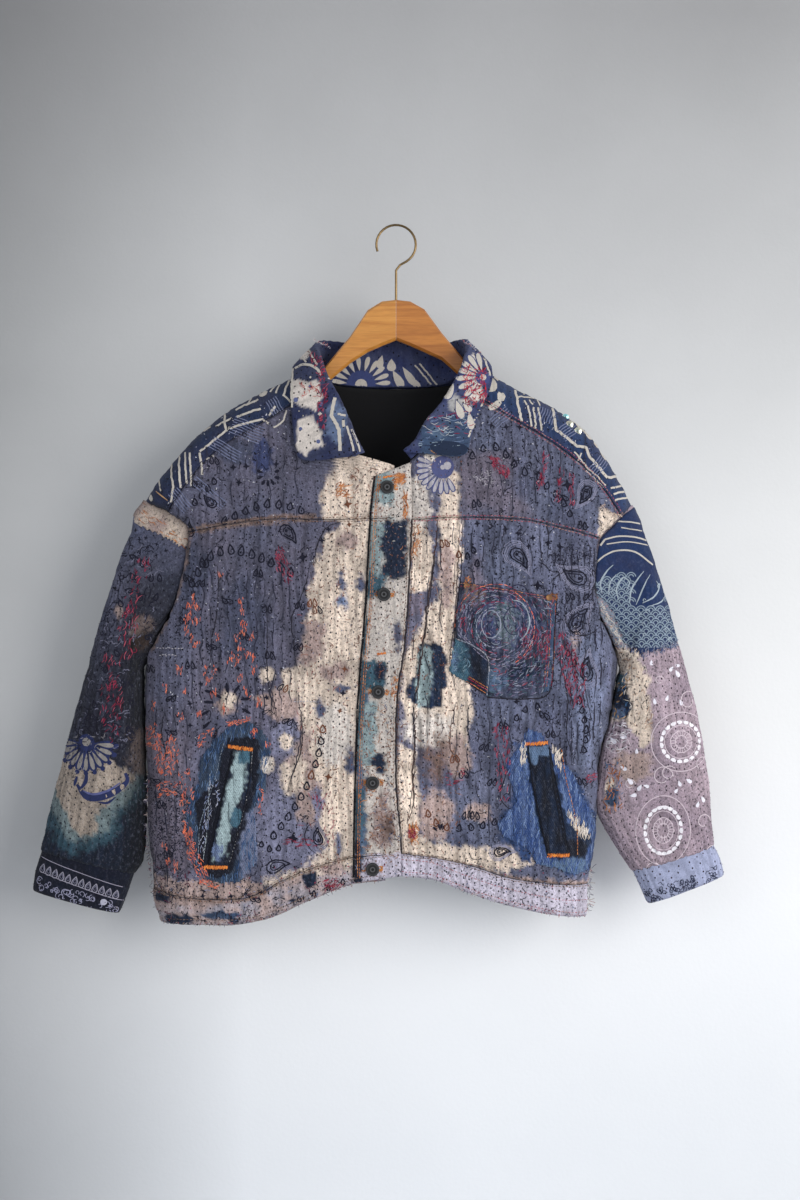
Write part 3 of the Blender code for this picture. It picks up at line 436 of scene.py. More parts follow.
def noise(u, v, seed=0):
    """Smooth noise from about -1 to 1, one bump for each unit of u and v."""
    u, v = np.asarray(u, float), np.asarray(v, float)
    i, j = np.floor(u).astype(np.int64), np.floor(v).astype(np.int64)
    fu, fv = u - i, v - j
    total = []
    for di in (0, 1):
        for dj in (0, 1):
            turn = 2 * np.pi * chance(i + di, j + dj, seed)
            total.append(np.cos(turn) * (fu - di) + np.sin(turn) * (fv - dj))
    su, sv = smooth_step(fu), smooth_step(fv)
    left = total[0] + (total[1] - total[0]) * sv
    right = total[2] + (total[3] - total[2]) * sv
    return 1.5 * (left + (right - left) * su)


def layered(u, v, seed=0, layers=3):
    """Noise with finer noise on it."""
    return sum(noise(u * 2 ** k, v * 2 ** k, seed + 17 * k) / 2 ** k for k in range(layers)) / 1.5


sample = layered(*np.meshgrid(np.arange(0, 30, 0.37), np.arange(0, 30, 0.37)))
print("noise runs from", sample.min().round(2), "to", sample.max().round(2))

# %% [markdown]
# ## Dye, bleach and patches
# Each panel carries its colour on its points. A table says where the colours lie: the name of
# the dye, how softly its edge fades, how ragged that edge is, and the outline of the place. The
# share of a dye at a point comes from its distance to the outline, shaken by noise.

# %% Dyes
DYES = {
    "lilac": (0.125, 0.128, 0.195), "lilac_deep": (0.078, 0.086, 0.142), "mauve": (0.185, 0.160, 0.215),
    "lilac_right": (0.098, 0.114, 0.196), "mist": (0.175, 0.200, 0.310), "cream": (0.860, 0.710, 0.590),
    "bone": (0.850, 0.765, 0.700), "blush": (0.500, 0.370, 0.340), "umber": (0.190, 0.120, 0.100),
    "mint": (0.370, 0.480, 0.500), "teal": (0.060, 0.145, 0.205), "sky": (0.150, 0.205, 0.350),
    "navy": (0.010, 0.022, 0.055), "ink": (0.005, 0.007, 0.016), "denim": (0.050, 0.088, 0.170),
    "royal": (0.028, 0.060, 0.165), "worn": (0.110, 0.175, 0.290), "indigo": (0.046, 0.060, 0.150),
    "stone": (0.460, 0.450, 0.450), "rose": (0.500, 0.390, 0.450), "cuff": (0.400, 0.435, 0.620),
    "band": (0.800, 0.740, 0.880), "midnight": (0.009, 0.010, 0.034), "pocket": (0.034, 0.042, 0.080),
    "tan": (0.240, 0.170, 0.160), "haze": (0.235, 0.238, 0.350), "slate": (0.150, 0.195, 0.230),
    "ash": (0.400, 0.375, 0.430), "dusk": (0.036, 0.038, 0.068), "plum": (0.400, 0.310, 0.375),
}
print("dyes:", len(DYES))


# %% Distance to an outline
def depth_inside(x, z, outline):
    """How far each place is inside an outline, in millimetres, and negative outside."""
    nearest = np.full(np.shape(x), 1e9)
    inside = np.zeros(np.shape(x), bool)
    for (x0, z0), (x1, z1) in zip(outline, outline[1:] + outline[:1]):
        dx, dz = x1 - x0, z1 - z0
        share = np.clip(((x - x0) * dx + (z - z0) * dz) / (dx * dx + dz * dz + 1e-9), 0, 1)
        nearest = np.minimum(nearest, np.hypot(x - x0 - share * dx, z - z0 - share * dz))
        if dz != 0:
            inside ^= ((z0 > z) != (z1 > z)) & (x < x0 + (z - z0) * dx / dz)
    return np.where(inside, nearest, -nearest)


def oval(x, z, dx, dz):
    """The outline of a round place."""
    return [(x + dx * math.cos(a * math.pi / 6), z + dz * math.sin(a * math.pi / 6)) for a in range(12)]


def dyed(colour, x, z, name, soft, ragged, outline, seed=0):
    """Lays one dye over the colours of a panel."""
    shake = layered(x / (2.2 * ragged + 4), z / (2.2 * ragged + 4), seed, 4) * ragged * 1.2
    crumbs = (noise(x / 3.1, z / 4.3, seed + 40) + noise(x / 6.4, z / 8.1, seed + 41)) * min(soft, 12) * 0.34
    share = smooth_step(0.5 + (depth_inside(x, z, outline) + shake + crumbs) / max(0.75 * soft, 0.5))
    share = share[..., None]
    return colour * (1 - share) + np.array(DYES[name]) * share


def all_dyed(colour, x, z, table):
    for number, (name, soft, ragged, outline) in enumerate(table):
        reach = np.array(outline)
        away = soft + 2 * ragged
        near = ((x > reach[:, 0].min() - away) & (x < reach[:, 0].max() + away)
                & (z > reach[:, 1].min() - away) & (z < reach[:, 1].max() + away))
        if near.any():
            colour[near] = dyed(colour[near], x[near], z[near], name, soft, ragged, outline, number)
    return colour


def mottled(x, z, first, second, wide=60.0, high=90.0, seed=3):
    """Two dyes in a slow drift, as cloth that was dyed by hand."""
    share = smooth_step(0.5 + 0.9 * layered(x / wide, z / high, seed, 4))[..., None]
    return np.array(DYES[first]) * (1 - share) + np.array(DYES[second]) * share


square = depth_inside(np.array([5.0, 20.0]), np.array([5.0, 5.0]), [(0, 0), (10, 0), (10, 10), (0, 10)])
print("inside by 5 and outside by 10:", square)

# %% [markdown]
# The front of the jacket is lilac bandana cloth, bleached to cream down the middle. Spots of
# bleach, pale blue ghosts and rusty patches lie round it, and strips of indigo denim that were
# splashed with bleach show on the button strip and on the pleat beside it.

# %% Where the dyes lie on the front
LEFT_BLEACH = [(-80, -286), (-75, -308), (-89, -329), (-93, -344), (-94, -362), (-89, -374), (-70, -378),
               (-84, -392), (-97, -416), (-104, -440), (-108, -470), (-110, -500), (-112, -525),
               (-122, -550), (-141, -566), (-149, -583), (-140, -600), (-123, -612), (-119, -640),
               (-117, -664), (-128, -672), (-138, -700), (-130, -711), (-102, -714), (-95, -745),
               (-92, -775), (-101, -797), (-126, -808), (-166, -819), (-164, -828), (-100, -814),
               (-2, -800), (0, -280)]
FRONT_DYES = [
    ("cream", 9, 8, LEFT_BLEACH),
    ("blush", 10, 6, [(-176, -594), (-140, -586), (-118, -600), (-120, -632), (-150, -624)]),
    ("blush", 12, 6, [(-108, -500), (-88, -505), (-92, -545), (-108, -555), (-122, -548)]),
    ("blush", 14, 8, [(-125, -640), (-104, -640), (-96, -700), (-128, -706), (-136, -680)]),
    ("blush", 12, 7, oval(-76, -562, 20, 10)), ("blush", 10, 5, oval(-62, -400, 14, 12)),
    ("cream", 5, 3, oval(-160, -566, 9, 12)), ("blush", 12, 6, oval(-210, -602, 13, 14)),
    ("cream", 5, 4, oval(-208, -598, 10, 9)),
    ("cream", 5, 3, oval(-137, -650, 11, 11)), ("cream", 5, 3, oval(-161, -679, 9, 11)),
    ("cream", 5, 3, oval(-139, -683, 6, 7)), ("bone", 14, 6, oval(-76, -640, 22, 40)),
    ("sky", 9, 7, oval(-67, -476, 8, 7)), ("lilac_right", 9, 6, oval(-67, -450, 4, 12)),
    ("lilac_right", 9, 6, oval(-44, -452, 3, 11)), ("lilac_right", 9, 6, oval(-95, -609, 4, 17)),
    ("lilac_right", 8, 5, oval(-57, -672, 6, 17)), ("lilac", 6, 4, oval(-105, -720, 7, 6)),
    ("lilac_right", 9, 5, oval(-66, -585, 14, 4)), ("lilac_right", 6, 4, oval(-72, -780, 3, 14)),
    ("lilac_deep", 26, 8, [(-262, -400), (-226, -420), (-236, -470), (-262, -500), (-276, -460)]),
    ("lilac_deep", 22, 8, oval(-286, -770, 18, 60)), ("lilac_deep", 40, 14, oval(-190, -500, 30, 50)),
    ("lilac_deep", 14, 6, oval(-196, -290, 26, 16)), ("indigo", 8, 6, oval(-166, -296, 12, 20)),
    ("tan", 5, 3, [(-262, -384), (-203, -375), (-150, -367), (-100, -368), (-100, -376), (-203, -384),
                   (-262, -394)]),
    ("tan", 6, 3, [(-258, -384), (-268, -430), (-278, -468), (-294, -502), (-312, -532), (-306, -538),
                   (-288, -506), (-272, -468), (-262, -430), (-254, -396)]),
    ("haze", 12, 8, [(-154, -640), (-122, -614), (-120, -640), (-126, -664), (-154, -664)]),
    ("haze", 14, 9, [(-160, -711), (-139, -708), (-126, -722), (-104, -724), (-98, -746), (-92, -789),
                     (-117, -802), (-165, -817), (-173, -789), (-165, -746)]),
    ("cream", 10, 8, [(-143, -690), (-120, -664), (-110, -680), (-122, -716), (-140, -712)]),
    ("blush", 10, 7, [(-126, -716), (-98, -700), (-92, -740), (-104, -756), (-122, -740)]),
    ("haze", 8, 6, oval(-98, -722, 8, 14)),
    ("cream", 4, 3, oval(-137, -650, 10, 10)), ("bone", 4, 3, oval(-161, -679, 8, 11)),
    ("mauve", 30, 12, [(-316, -640), (-262, -640), (-256, -820), (-316, -820)]),
    ("blush", 7, 4, [(-306, -818), (-250, -824), (-186, -820), (-164, -828), (-164, -846), (-306, -852)]),
]
RIGHT_DYES = [
    ("mauve", 40, 14, [(70, -290), (140, -300), (160, -360), (80, -372)]),
    ("mauve", 24, 10, oval(100, -500, 14, 80)), ("bone", 6, 4, oval(47, -300, 14, 14)),
    ("bone", 7, 5, [(14, -322), (42, -320), (44, -372), (34, -392), (18, -384)]),
    ("cream", 6, 5, [(18, -376), (42, -388), (48, -420), (44, -452), (34, -464), (18, -462)]),
    ("cream", 7, 5, [(56, -314), (77, -316), (80, -372), (82, -420), (74, -480), (70, -528), (82, -556),
                     (92, -585), (98, -620), (86, -642), (94, -660), (58, -655), (20, -642), (4, -600),
                     (12, -540), (34, -500), (50, -470), (56, -440), (53, -400)]),
    ("blush", 8, 6, oval(64, -440, 8, 44)), ("mauve", 8, 5, oval(24, -478, 10, 12)),
    ("bone", 14, 8, oval(40, -636, 34, 20)), ("blush", 12, 8, oval(78, -668, 18, 24)),
    ("umber", 26, 14, [(30, -662), (58, -652), (70, -676), (58, -700), (42, -694), (30, -680)]),
    ("cream", 7, 6, [(2, -655), (25, -662), (29, -720), (24, -786), (2, -790)]),
    ("cream", 9, 6, [(20, -768), (60, -776), (110, -784), (165, -776), (172, -800), (140, -812),
                     (90, -806), (20, -794)]),
    ("blush", 10, 6, oval(101, -737, 17, 11)), ("blush", 14, 8, oval(48, -742, 22, 30)),
    ("navy", 3, 5, [(28, -532), (46, -526), (60, -534), (64, -560), (56, -604), (38, -609), (14, -597),
                    (12, -580), (27, -570)]),
    ("mint", 5, 4, [(30, -533), (43, -530), (47, -560), (40, -604), (27, -607), (25, -578)]),
    ("royal", 10, 8, [(148, -655), (168, -650), (166, -800), (130, -770), (126, -752), (140, -720)]),
    ("royal", 8, 6, [(205, -672), (226, -690), (238, -726), (254, -748), (252, -815), (214, -815)]),
    ("blush", 7, 5, oval(224, -532, 7, 22)), ("mist", 26, 10, oval(236, -600, 24, 90)),
    ("lilac_deep", 20, 8, oval(214, -640, 8, 60)),
    ("cream", 3, 2, [(253, -358), (280, -370), (262, -404), (252, -394)]),
    ("blush", 8, 4, [(60, -800), (130, -816), (250, -826), (250, -842), (130, -826), (60, -812)]),
]
PLACKET_DYES = [
    ("mint", 8, 5, [(-34, -314), (-8, -314), (-2, -340), (-8, -372), (-36, -374)]),
    ("bone", 8, 5, oval(-18, -365, 14, 9)),
    ("mint", 10, 6, [(-40, -376), (-6, -376), (-16, -420), (-18, -462), (-44, -478)]),
    ("navy", 9, 6, [(-14, -376), (14, -374), (14, -440), (0, -452), (-16, -442), (-19, -400)]),
    ("teal", 10, 5, [(-36, -440), (-12, -444), (-12, -466), (-40, -474)]),
    ("teal", 6, 4, [(-48, -486), (-35, -486), (-37, -541), (-50, -546)]),
    ("teal", 5, 4, [(-44, -549), (-13, -550), (-12, -580), (-30, -586), (-46, -582)]),
    ("navy", 8, 4, oval(-20, -562, 8, 9)), ("lilac", 10, 7, oval(2, -520, 5, 20)),
    ("worn", 7, 6, [(-46, -590), (-34, -590), (-38, -700), (-36, -812), (-54, -815), (-52, -700)]),
    ("mint", 6, 6, [(-42, -600), (-26, -600), (-30, -680), (-40, -680)]),
    ("band", 4, 4, [(-36, -790), (14, -787), (14, -832), (-54, -834), (-46, -804)]),
    ("teal", 6, 4, [(-50, -583), (-37, -584), (-41, -673), (-54, -676)]),
    ("mint", 12, 6, oval(-36, -650, 10, 30)), ("navy", 5, 4, oval(-20, -676, 8, 14)),
    ("blush", 14, 8, oval(-16, -748, 12, 36)), ("umber", 12, 6, oval(-10, -760, 7, 14)),
    ("teal", 6, 4, [(-56, -706), (-39, -708), (-41, -768), (-56, -775)]),
    ("navy", 5, 3, [(-56, -772), (-44, -770), (-42, -830), (-58, -830)]),
]
BAND_LEFT_DYES = [
    ("blush", 5, 4, [(-310, -834), (-240, -842), (-160, -834), (-166, -846), (-240, -856), (-310, -850)]),
    ("navy", 2, 2, [(-304, -840), (-280, -843), (-284, -852), (-302, -850)]),
    ("navy", 3, 3, [(-290, -868), (-262, -864), (-249, -872), (-262, -884), (-292, -886)]),
    ("navy", 2, 1, [(-118, -815), (-98, -811), (-99, -828), (-112, -833)]),
    ("denim", 3, 3, oval(-216, -866, 26, 5)), ("navy", 2, 2, oval(-200, -873, 6, 4)),
    ("navy", 2, 1, oval(-129, -848, 5, 2)), ("blush", 5, 3, oval(-80, -808, 16, 6)),
]
print("places on the front:", len(FRONT_DYES) + len(RIGHT_DYES) + len(PLACKET_DYES))

# %% [markdown]
# ## Sewing a panel
# The grid of a panel is pushed out into puckers, drawn down beside its seams, and turned in at
# its edges, so that it shows its real thickness. Between two rows of stitches the layers swell,
# and the thread pulls them into small hard wrinkles, which run along the rows.

# %% Puckers
STITCH_COLUMN, STITCH_ROW = 9.4, 8.6      # from stitch to stitch, across and down
SINK = 1.45                               # puckered cloth lies this far inside the flat form
SEAM_REACH, SEAM_DEEP = 6.0, 1.1          # a seam draws the cloth down over this width, this deep
EDGE_DARK = 0.55                          # a turned edge is darker than the face beside it


def column_of(u, v):
    """Which column of stitches a place belongs to. Whole numbers lie half way between two."""
    sway = (7 * noise(u / 85, v / 130, 301) + 3.0 * noise(u / 24, v / 50, 302)
            + 1.5 * noise(u / 12, v / 24, 304))
    return (u + sway) / STITCH_COLUMN


def row_of(u, v, column):
    """Rows of stitches, which start at another height in each column."""
    return v / STITCH_ROW + 0.37 * column + 0.10 * noise(u / 12, v / 12, 303)


def puckers(x, z, seed=0, deep=1.0):
    """Height of the quilted cloth in millimetres."""
    column = column_of(x, z)
    ridge = np.abs(np.sin(np.pi * column)) ** 0.8
    pull = (1 - ridge) ** 2 * (0.5 + 0.5 * np.cos(2 * np.pi * row_of(x, z, np.round(column))))
    calm = 0.62 + 0.55 * noise(x / 50, z / 75, seed + 2) + 0.35 * noise(x / 17, z / 21, seed + 8)
    long_fold = 1 - 1.7 * np.abs(noise(x / 15, z / 120, seed + 3))
    crease = 1 - 1.8 * np.abs(noise(x / 8.0, z / 34, seed + 4))
    crumple = noise(x / 4.6, z / 6.5, seed + 5)
    sharp = np.exp(-(noise(x / 13, z / 62, seed + 6) / 0.12) ** 2)
    sharp = sharp * (0.55 + 0.6 * noise(x / 45, z / 38, seed + 7))
    return deep * (1.65 * ridge * calm - 0.7 * pull + 0.9 * long_fold + 0.75 * crease
                   + 0.5 * crumple - 1.7 * sharp) - SINK


def seam_dip(grid, sides="tblr"):
    """How far a panel sinks beside the seams on its top, bottom, left and right."""
    across = np.linalg.norm(np.diff(grid, axis=1), axis=-1).mean()
    along = np.linalg.norm(np.diff(grid, axis=0), axis=-1).mean()
    rows, columns = np.indices(grid.shape[:2])
    away = np.full(grid.shape[:2], 1e9)
    for side, distance in (("t", rows * along), ("b", (grid.shape[0] - 1 - rows) * along),
                           ("l", columns * across), ("r", (grid.shape[1] - 1 - columns) * across)):
        if side in sides:
            away = np.minimum(away, distance)
    return SEAM_DEEP * (1 - bulge(away, SEAM_REACH))


trial = puckers(*np.meshgrid(np.arange(0, 90, 1.1), np.arange(0, 90, 1.1)))
print("puckers from", trial.min().round(1), "to", trial.max().round(1), "mm")


# %% From grid to cloth
def flat_of(grid):
    """Width, length and area of a grid of cloth, in metres, measured along the cloth."""
    across = np.linalg.norm(np.diff(grid, axis=1), axis=-1).sum(axis=1).max() * MM
    along = np.linalg.norm(np.diff(grid, axis=0), axis=-1).sum(axis=0).max() * MM
    a, b, c = grid[:-1, :-1], grid[1:, :-1], grid[:-1, 1:]
    area = np.linalg.norm(np.cross(b - a, c - a), axis=-1).sum() * MM * MM
    return float(across), float(along), float(min(area, across * along))


def link(name, data, finish):
    data.materials.append(finish)
    thing = bpy.data.objects.new(name + "_cloth", data)
    bpy.context.scene.collection.objects.link(thing)
    return thing


def faces_between(at):
    """A four-sided face for each cell of a grid of point numbers."""
    corners = [at[:-1, :-1], at[1:, :-1], at[1:, 1:], at[:-1, 1:]]
    return np.stack([corner.ravel() for corner in corners], -1)


def grid_faces(rows, columns, turned):
    faces = faces_between(np.arange(rows * columns).reshape(rows, columns))
    return faces[:, ::-1] if turned else faces


def rim_of(rows, columns):
    """The numbers of the points round the edge of a grid, in order."""
    at = np.arange(rows * columns).reshape(rows, columns)
    return np.concatenate([at[0, :-1], at[:-1, -1], at[-1, :0:-1], at[:0:-1, 0]])


def runs_backwards(grid, normals):
    """Whether the faces of a grid would look away from its normals."""
    return (np.cross(np.gradient(grid, axis=0), np.gradient(grid, axis=1)) * normals).sum() < 0


def fast_mesh(name, points, faces, colours=None):
    """A smooth mesh from arrays of points and faces that all have as many corners."""
    data = bpy.data.meshes.new(name)
    count, corners = faces.shape
    data.vertices.add(len(points))
    data.vertices.foreach_set("co", np.asarray(points, np.float32).ravel())
    data.loops.add(count * corners)
    data.loops.foreach_set("vertex_index", faces.astype(np.int32).ravel())
    data.polygons.add(count)
    data.polygons.foreach_set("loop_start", np.arange(0, count * corners, corners, dtype=np.int32))
    data.update(calc_edges=True)
    data.validate()
    data.shade_smooth()
    if colours is not None:
        layer = data.attributes.new("dye", "FLOAT_COLOR", "POINT")
        full = np.ones((len(points), 4), np.float32)
        full[:, :colours.shape[1]] = colours
        layer.data.foreach_set("color", full.ravel())
    return data


def sew(name, grid, facing, height, colour, finish, lip=CLOTH):
    """One panel of cloth with its edges turned in. Returns the object."""
    normals = grid_normals(grid, facing)
    turned = runs_backwards(grid, normals)
    places = grid + normals * height[..., None]
    rows, columns = grid.shape[:2]
    faces, rim = grid_faces(rows, columns, turned), rim_of(rows, columns)
    flat, flat_normals = places.reshape(-1, 3), normals.reshape(-1, 3)
    inner = flat[rim] - flat_normals[rim] * lip
    new = np.arange(len(rim)) + rows * columns
    following = np.roll(np.arange(len(rim)), -1)
    band = np.stack([rim, rim[following], new[following], new], -1)
    band = band[:, ::-1] if turned else band
    tints = colour.reshape(-1, colour.shape[-1])
    tints = np.concatenate([tints, tints[rim] * EDGE_DARK])
    points = np.concatenate([flat, inner]) * MM
    piece = link(name, fast_mesh(name, points, np.concatenate([faces, band]), tints), finish)
    cloth_pieces[name] = {"object": piece, "places": places, "normals": normals,
                          "flat": flat_of(grid)}
    return piece


cloth_pieces = {}
print("ready to sew")


# %% [markdown]
# ## The finish of quilted cloth
# The dye is read from the points. Fine noise breaks it up as worn thread does, a weave of two
# crossed waves gives the bump, and a touch of sheen stands for the fuzz of old cotton.


# %% Cloth finish
def cloth_finish(name, thread=1.0, bump=0.5, twill=0.0, speck=0.5):
    made, tree, shader = new_material(name)
    dye = node(tree, "Attribute", attribute_name="dye").outputs["Color"]
    fine = node(tree, "TexNoise", {"Vector": scaled(tree, (1400 * thread, 1400, 500 * thread)),
                                   "Scale": 1.0, "Detail": 3.0, "Roughness": 0.7}).outputs["Fac"]
    slub = node(tree, "TexNoise", {"Vector": scaled(tree, (360, 360, 210)), "Scale": 1.0, "Detail": 5.0,
                                   "Roughness": 0.7}).outputs["Fac"]
    mottle = node(tree, "TexNoise", {"Vector": scaled(tree, (520, 520, 400)), "Scale": 1.0,
                                     "Detail": 4.0, "Roughness": 0.75}).outputs["Fac"]
    worn = blended(tree, 1.0, dye, ramp(tree, fine, [(0.25, 0.66), (0.55, 0.98), (0.8, 1.0)]), "MULTIPLY")
    worn = blended(tree, 1.0, worn, ramp(tree, mottle, [(0.36, 1 - 0.55 * speck), (0.62, 1.0)]), "MULTIPLY")
    worn = blended(tree, 1.0, worn, (1 + 0.28 * speck,) * 3, "MULTIPLY")
    pale = blended(tree, 1.0, worn, (0.12, 0.13, 0.17), "ADD")
    tuft = ramp(tree, slub, [(0.53, 0.0), (0.68, 0.62 * speck)])
    worn = blended(tree, tuft, worn, pale)
    dark = node(tree, "TexNoise", {"Vector": scaled(tree, (400, 400, 310)), "Scale": 1.0, "Detail": 2.0})
    fleck = ramp(tree, dark.outputs["Fac"], [(0.34, 0.85 * speck), (0.42, 0.0)])
    worn = blended(tree, fleck, worn, (0.016, 0.014, 0.024))
    wire(tree, worn, shader, "Base Color")
    shader.inputs["Roughness"].default_value = 0.93
    shader.inputs["Specular IOR Level"].default_value = 0.22
    shader.inputs["Sheen Weight"].default_value = 0.06
    shader.inputs["Sheen Roughness"].default_value = 0.6
    weave = [node(tree, "TexWave", {"Vector": scaled(tree, factors), "Scale": 1.0, "Distortion": 1.2},
                  bands_direction="DIAGONAL" if twill else plain_way).outputs["Fac"]
             for factors, plain_way in (((260 * thread, 0.0, 130.0 * twill), "X"),
                                        ((0.0, 0.0, 230 * thread), "Z"))]
    woven = node(tree, "Math", {0: weave[0], 1: weave[1]}, operation="ADD").outputs[0]
    rough = node(tree, "Math", {0: fine, 1: 1.6, 2: woven}, operation="MULTIPLY_ADD").outputs[0]
    raised = node(tree, "Bump", {"Height": rough, "Strength": bump, "Distance": 0.0007}).outputs["Normal"]
    wire(tree, raised, shader, "Normal")
    return made


quilt_finish = cloth_finish("quilted_cotton", speck=0.75)
denim_finish = cloth_finish("worn_denim", thread=0.9, bump=0.6, twill=1.0, speck=0.5)
plain_finish = cloth_finish("printed_cotton", speck=0.3)
print("finishes:", quilt_finish.name, denim_finish.name)

# %% [markdown]
# ## The two fronts
# Each front is a shoulder strip, a yoke, a long panel and a waistband. The right front ends in a
# strip with the buttonholes and lies over the left one.

# %% Fronts
PITCH = 2.3                    # size of a cell of the fronts
LEFT_TIP, RIGHT_TIP = EDGE_LEFT[0][1], EDGE_RIGHT[0][1]
FOLD_LEFT, FOLD_RIGHT = part_of(SHOULDER, LEFT_TIP, NECK_LEFT), part_of(SHOULDER, RIGHT_TIP, NECK_RIGHT)


def front_grids(edge, lines, neck_edge, front_edge):
    """The grids of shoulder strip, yoke, panel and waistband of one front."""
    grids = []
    ends = [down_line([lines[0][-1], lines[1][-1]]), down_line(neck_edge), down_line(front_edge),
            down_line([lines[3][-1], lines[4][-1]])]
    for top, foot, inner in zip(lines, lines[1:], ends):
        grids.append(coons(top, foot, side_of(edge, top[0][1], foot[0][1]), inner, PITCH))
    return grids


left_flat = front_grids(EDGE_LEFT, [FOLD_LEFT, SHOULDER_SEAM_LEFT, YOKE_SEAM_LEFT, WAIST_SEAM_LEFT,
                                    HEM_LEFT], NECK_EDGE_LEFT, FRONT_EDGE_LEFT)
right_flat = front_grids(EDGE_RIGHT, [FOLD_RIGHT, SHOULDER_SEAM_RIGHT, YOKE_SEAM_RIGHT,
                                      WAIST_SEAM_RIGHT, HEM_RIGHT], NECK_EDGE_RIGHT, PLACKET_SEAM[1:-1])


def front_base(x, z):
    """Lilac cloth that is bluer and paler on the right front."""
    left = mottled(x, z, "lilac", "mauve", 50, 80, 11)
    deep = mottled(x, z, "lilac_deep", "lilac", 34, 60, 12)
    left = left * 0.5 + deep * 0.5
    right = mottled(x, z, "lilac_right", "mist", 40, 50, 13) * 0.62 + left * 0.38
    left = left * (1 + 0.22 * smooth_step((-560 - z) / 150))[..., None]
    share = smooth_step((x + 10) / 90)[..., None]
    return left * (1 - share) + right * share


def shaded(colour, height, how=0.43):
    """Ridges are worn paler, and the folds between them are darkened as painted shade."""
    level = np.clip((height + 1.2) / 3.4, 0, 1.25)[..., None]
    return colour * (1 - how + 1.75 * how * level)


def sew_front(name, flat, depth, facing, tables, seed, deep=1.0, base=front_base, finish=None):
    """One panel of the body, sewn with its puckers, its dyes and painted shade in its folds."""
    x, z = flat[..., 0], flat[..., 1]
    grid = in_depth(flat, depth)
    height = puckers(x, z, seed, deep)
    height = height - seam_dip(grid)
    colour = base(x, z)
    for table in tables:
        colour = all_dyed(colour, x, z, table)
    return sew(name, grid, facing, height, shaded(colour, height), finish or quilt_finish)


def shoulder_base(x, z):
    return mottled(x, z, "indigo", "royal", 40, 40, 21) * (0.60 + 0.34 * (x > 0))[..., None]


sew_front("front_yoke_left", left_flat[1], body_y, FRONT, [FRONT_DYES], 1, 0.9)
sew_front("front_panel_left", left_flat[2], body_y, FRONT, [FRONT_DYES], 2, 1.0)
sew_front("waistband_left", left_flat[3], body_y, FRONT, [FRONT_DYES, BAND_LEFT_DYES], 3, 0.8,
          base=lambda x, z: mottled(x, z, "ash", "blush", 22, 16, 31) * 1.2)
sew_front("front_yoke_right", right_flat[1], lapped_y, FRONT, [RIGHT_DYES], 4, 0.9)
sew_front("front_panel_right", right_flat[2], lapped_y, FRONT, [RIGHT_DYES], 5, 1.25)
sew_front("waistband_right", right_flat[3], lapped_y, FRONT, [], 6, 0.7,
          base=lambda x, z: mottled(x, z, "band", "band", 30, 20, 33) * 0.95)
sew_front("shoulder_strip_left", left_flat[0], body_y, FRONT, [], 7, 0.6, base=shoulder_base,
          finish=plain_finish)
sew_front("shoulder_strip_right", right_flat[0], body_y, FRONT, [], 8, 0.6, base=shoulder_base,
          finish=plain_finish)
print("panels of the front:", len(cloth_pieces))


# %% Button strip
def placket_grid(z_top, z_foot, columns, rows):
    down = np.linspace(0, 1, rows)[:, None]
    share = np.linspace(0, 1, columns)[None, :]
    seam_z = z_top + (z_foot - z_top) * down
    free_z = np.minimum(seam_z - 8 * down ** 12, PLACKET_EDGE[0][1])
    seam_x = curve([(z, x) for x, z in PLACKET_SEAM], seam_z)
    free_x = curve([(z, x) for x, z in PLACKET_EDGE], free_z)
    return np.stack([free_x + (seam_x - free_x) * share, free_z + (seam_z - free_z) * share], -1)


def placket_base(x, z):
    return mottled(x, z, "bone", "bone", 18, 26, 41)


sew_front("button_placket", placket_grid(-302.0, -817.0, 24, 224), lapped_y, FRONT, [PLACKET_DYES], 9,
          0.55, base=placket_base)
print("button strip:", len(cloth_pieces["button_placket"]["object"].data.polygons), "faces")

# %% [markdown]
# ## The back
# The back isn't in view, so it is quieter: a blue yoke, a wide lilac panel and a waistband, with
# the same rows of stitches. It was sewn from the same seams, so that it meets the fronts.

# %% Back
BACK_PITCH = 4.2
back_top = FOLD_LEFT[:-1] + [(x, z) for x, z in NECK_BACK] + FOLD_RIGHT[-2::-1]


def back_grid(top, foot, heights_left, heights_right):
    return coons(top, foot, side_of(EDGE_LEFT, *heights_left), side_of(EDGE_RIGHT, *heights_right),
                 BACK_PITCH)


def back_base(x, z):
    return front_base(-np.abs(x), z) * 0.6 + mottled(x, z, "lilac", "denim", 70, 90, 51) * 0.4


BACK_DYES = [("cream", 14, 12, oval(-60, -560, 60, 46)), ("denim", 8, 10, oval(110, -640, 70, 80)),
             ("teal", 16, 12, oval(96, -610, 26, 34)), ("blush", 12, 10, oval(-170, -700, 40, 50)),
             ("cream", 10, 10, oval(170, -470, 40, 26)), ("navy", 4, 6, oval(-150, -480, 38, 30))]
sew_front("back_yoke", back_grid(back_top, YOKE_SEAM_BACK, (-351, -389), (-357, -397)),
          back_y, BACK, [], 61, 0.7, base=shoulder_base)
sew_front("back_panel", back_grid(YOKE_SEAM_BACK, WAIST_SEAM_BACK, (-389, -836), (-397, -831)),
          back_y, BACK, [BACK_DYES], 62, 1.0, base=back_base)
sew_front("waistband_back", back_grid(WAIST_SEAM_BACK, HEM_BACK, (-836, -879), (-831, -872)),
          back_y, BACK, [], 63, 0.7, base=lambda x, z: mottled(x, z, "mauve", "band", 30, 20, 64))
print("panels so far:", len(cloth_pieces))

# %% [markdown]
# ## Sleeves and cuffs
# A sleeve is a tube that starts at the armhole and narrows to the wrist. It is made as rings: the
# first follows the armhole, and each other one comes from a row of the table. Between the rings
# the cloth follows a smooth curve, so that the tube has no rings to be seen.

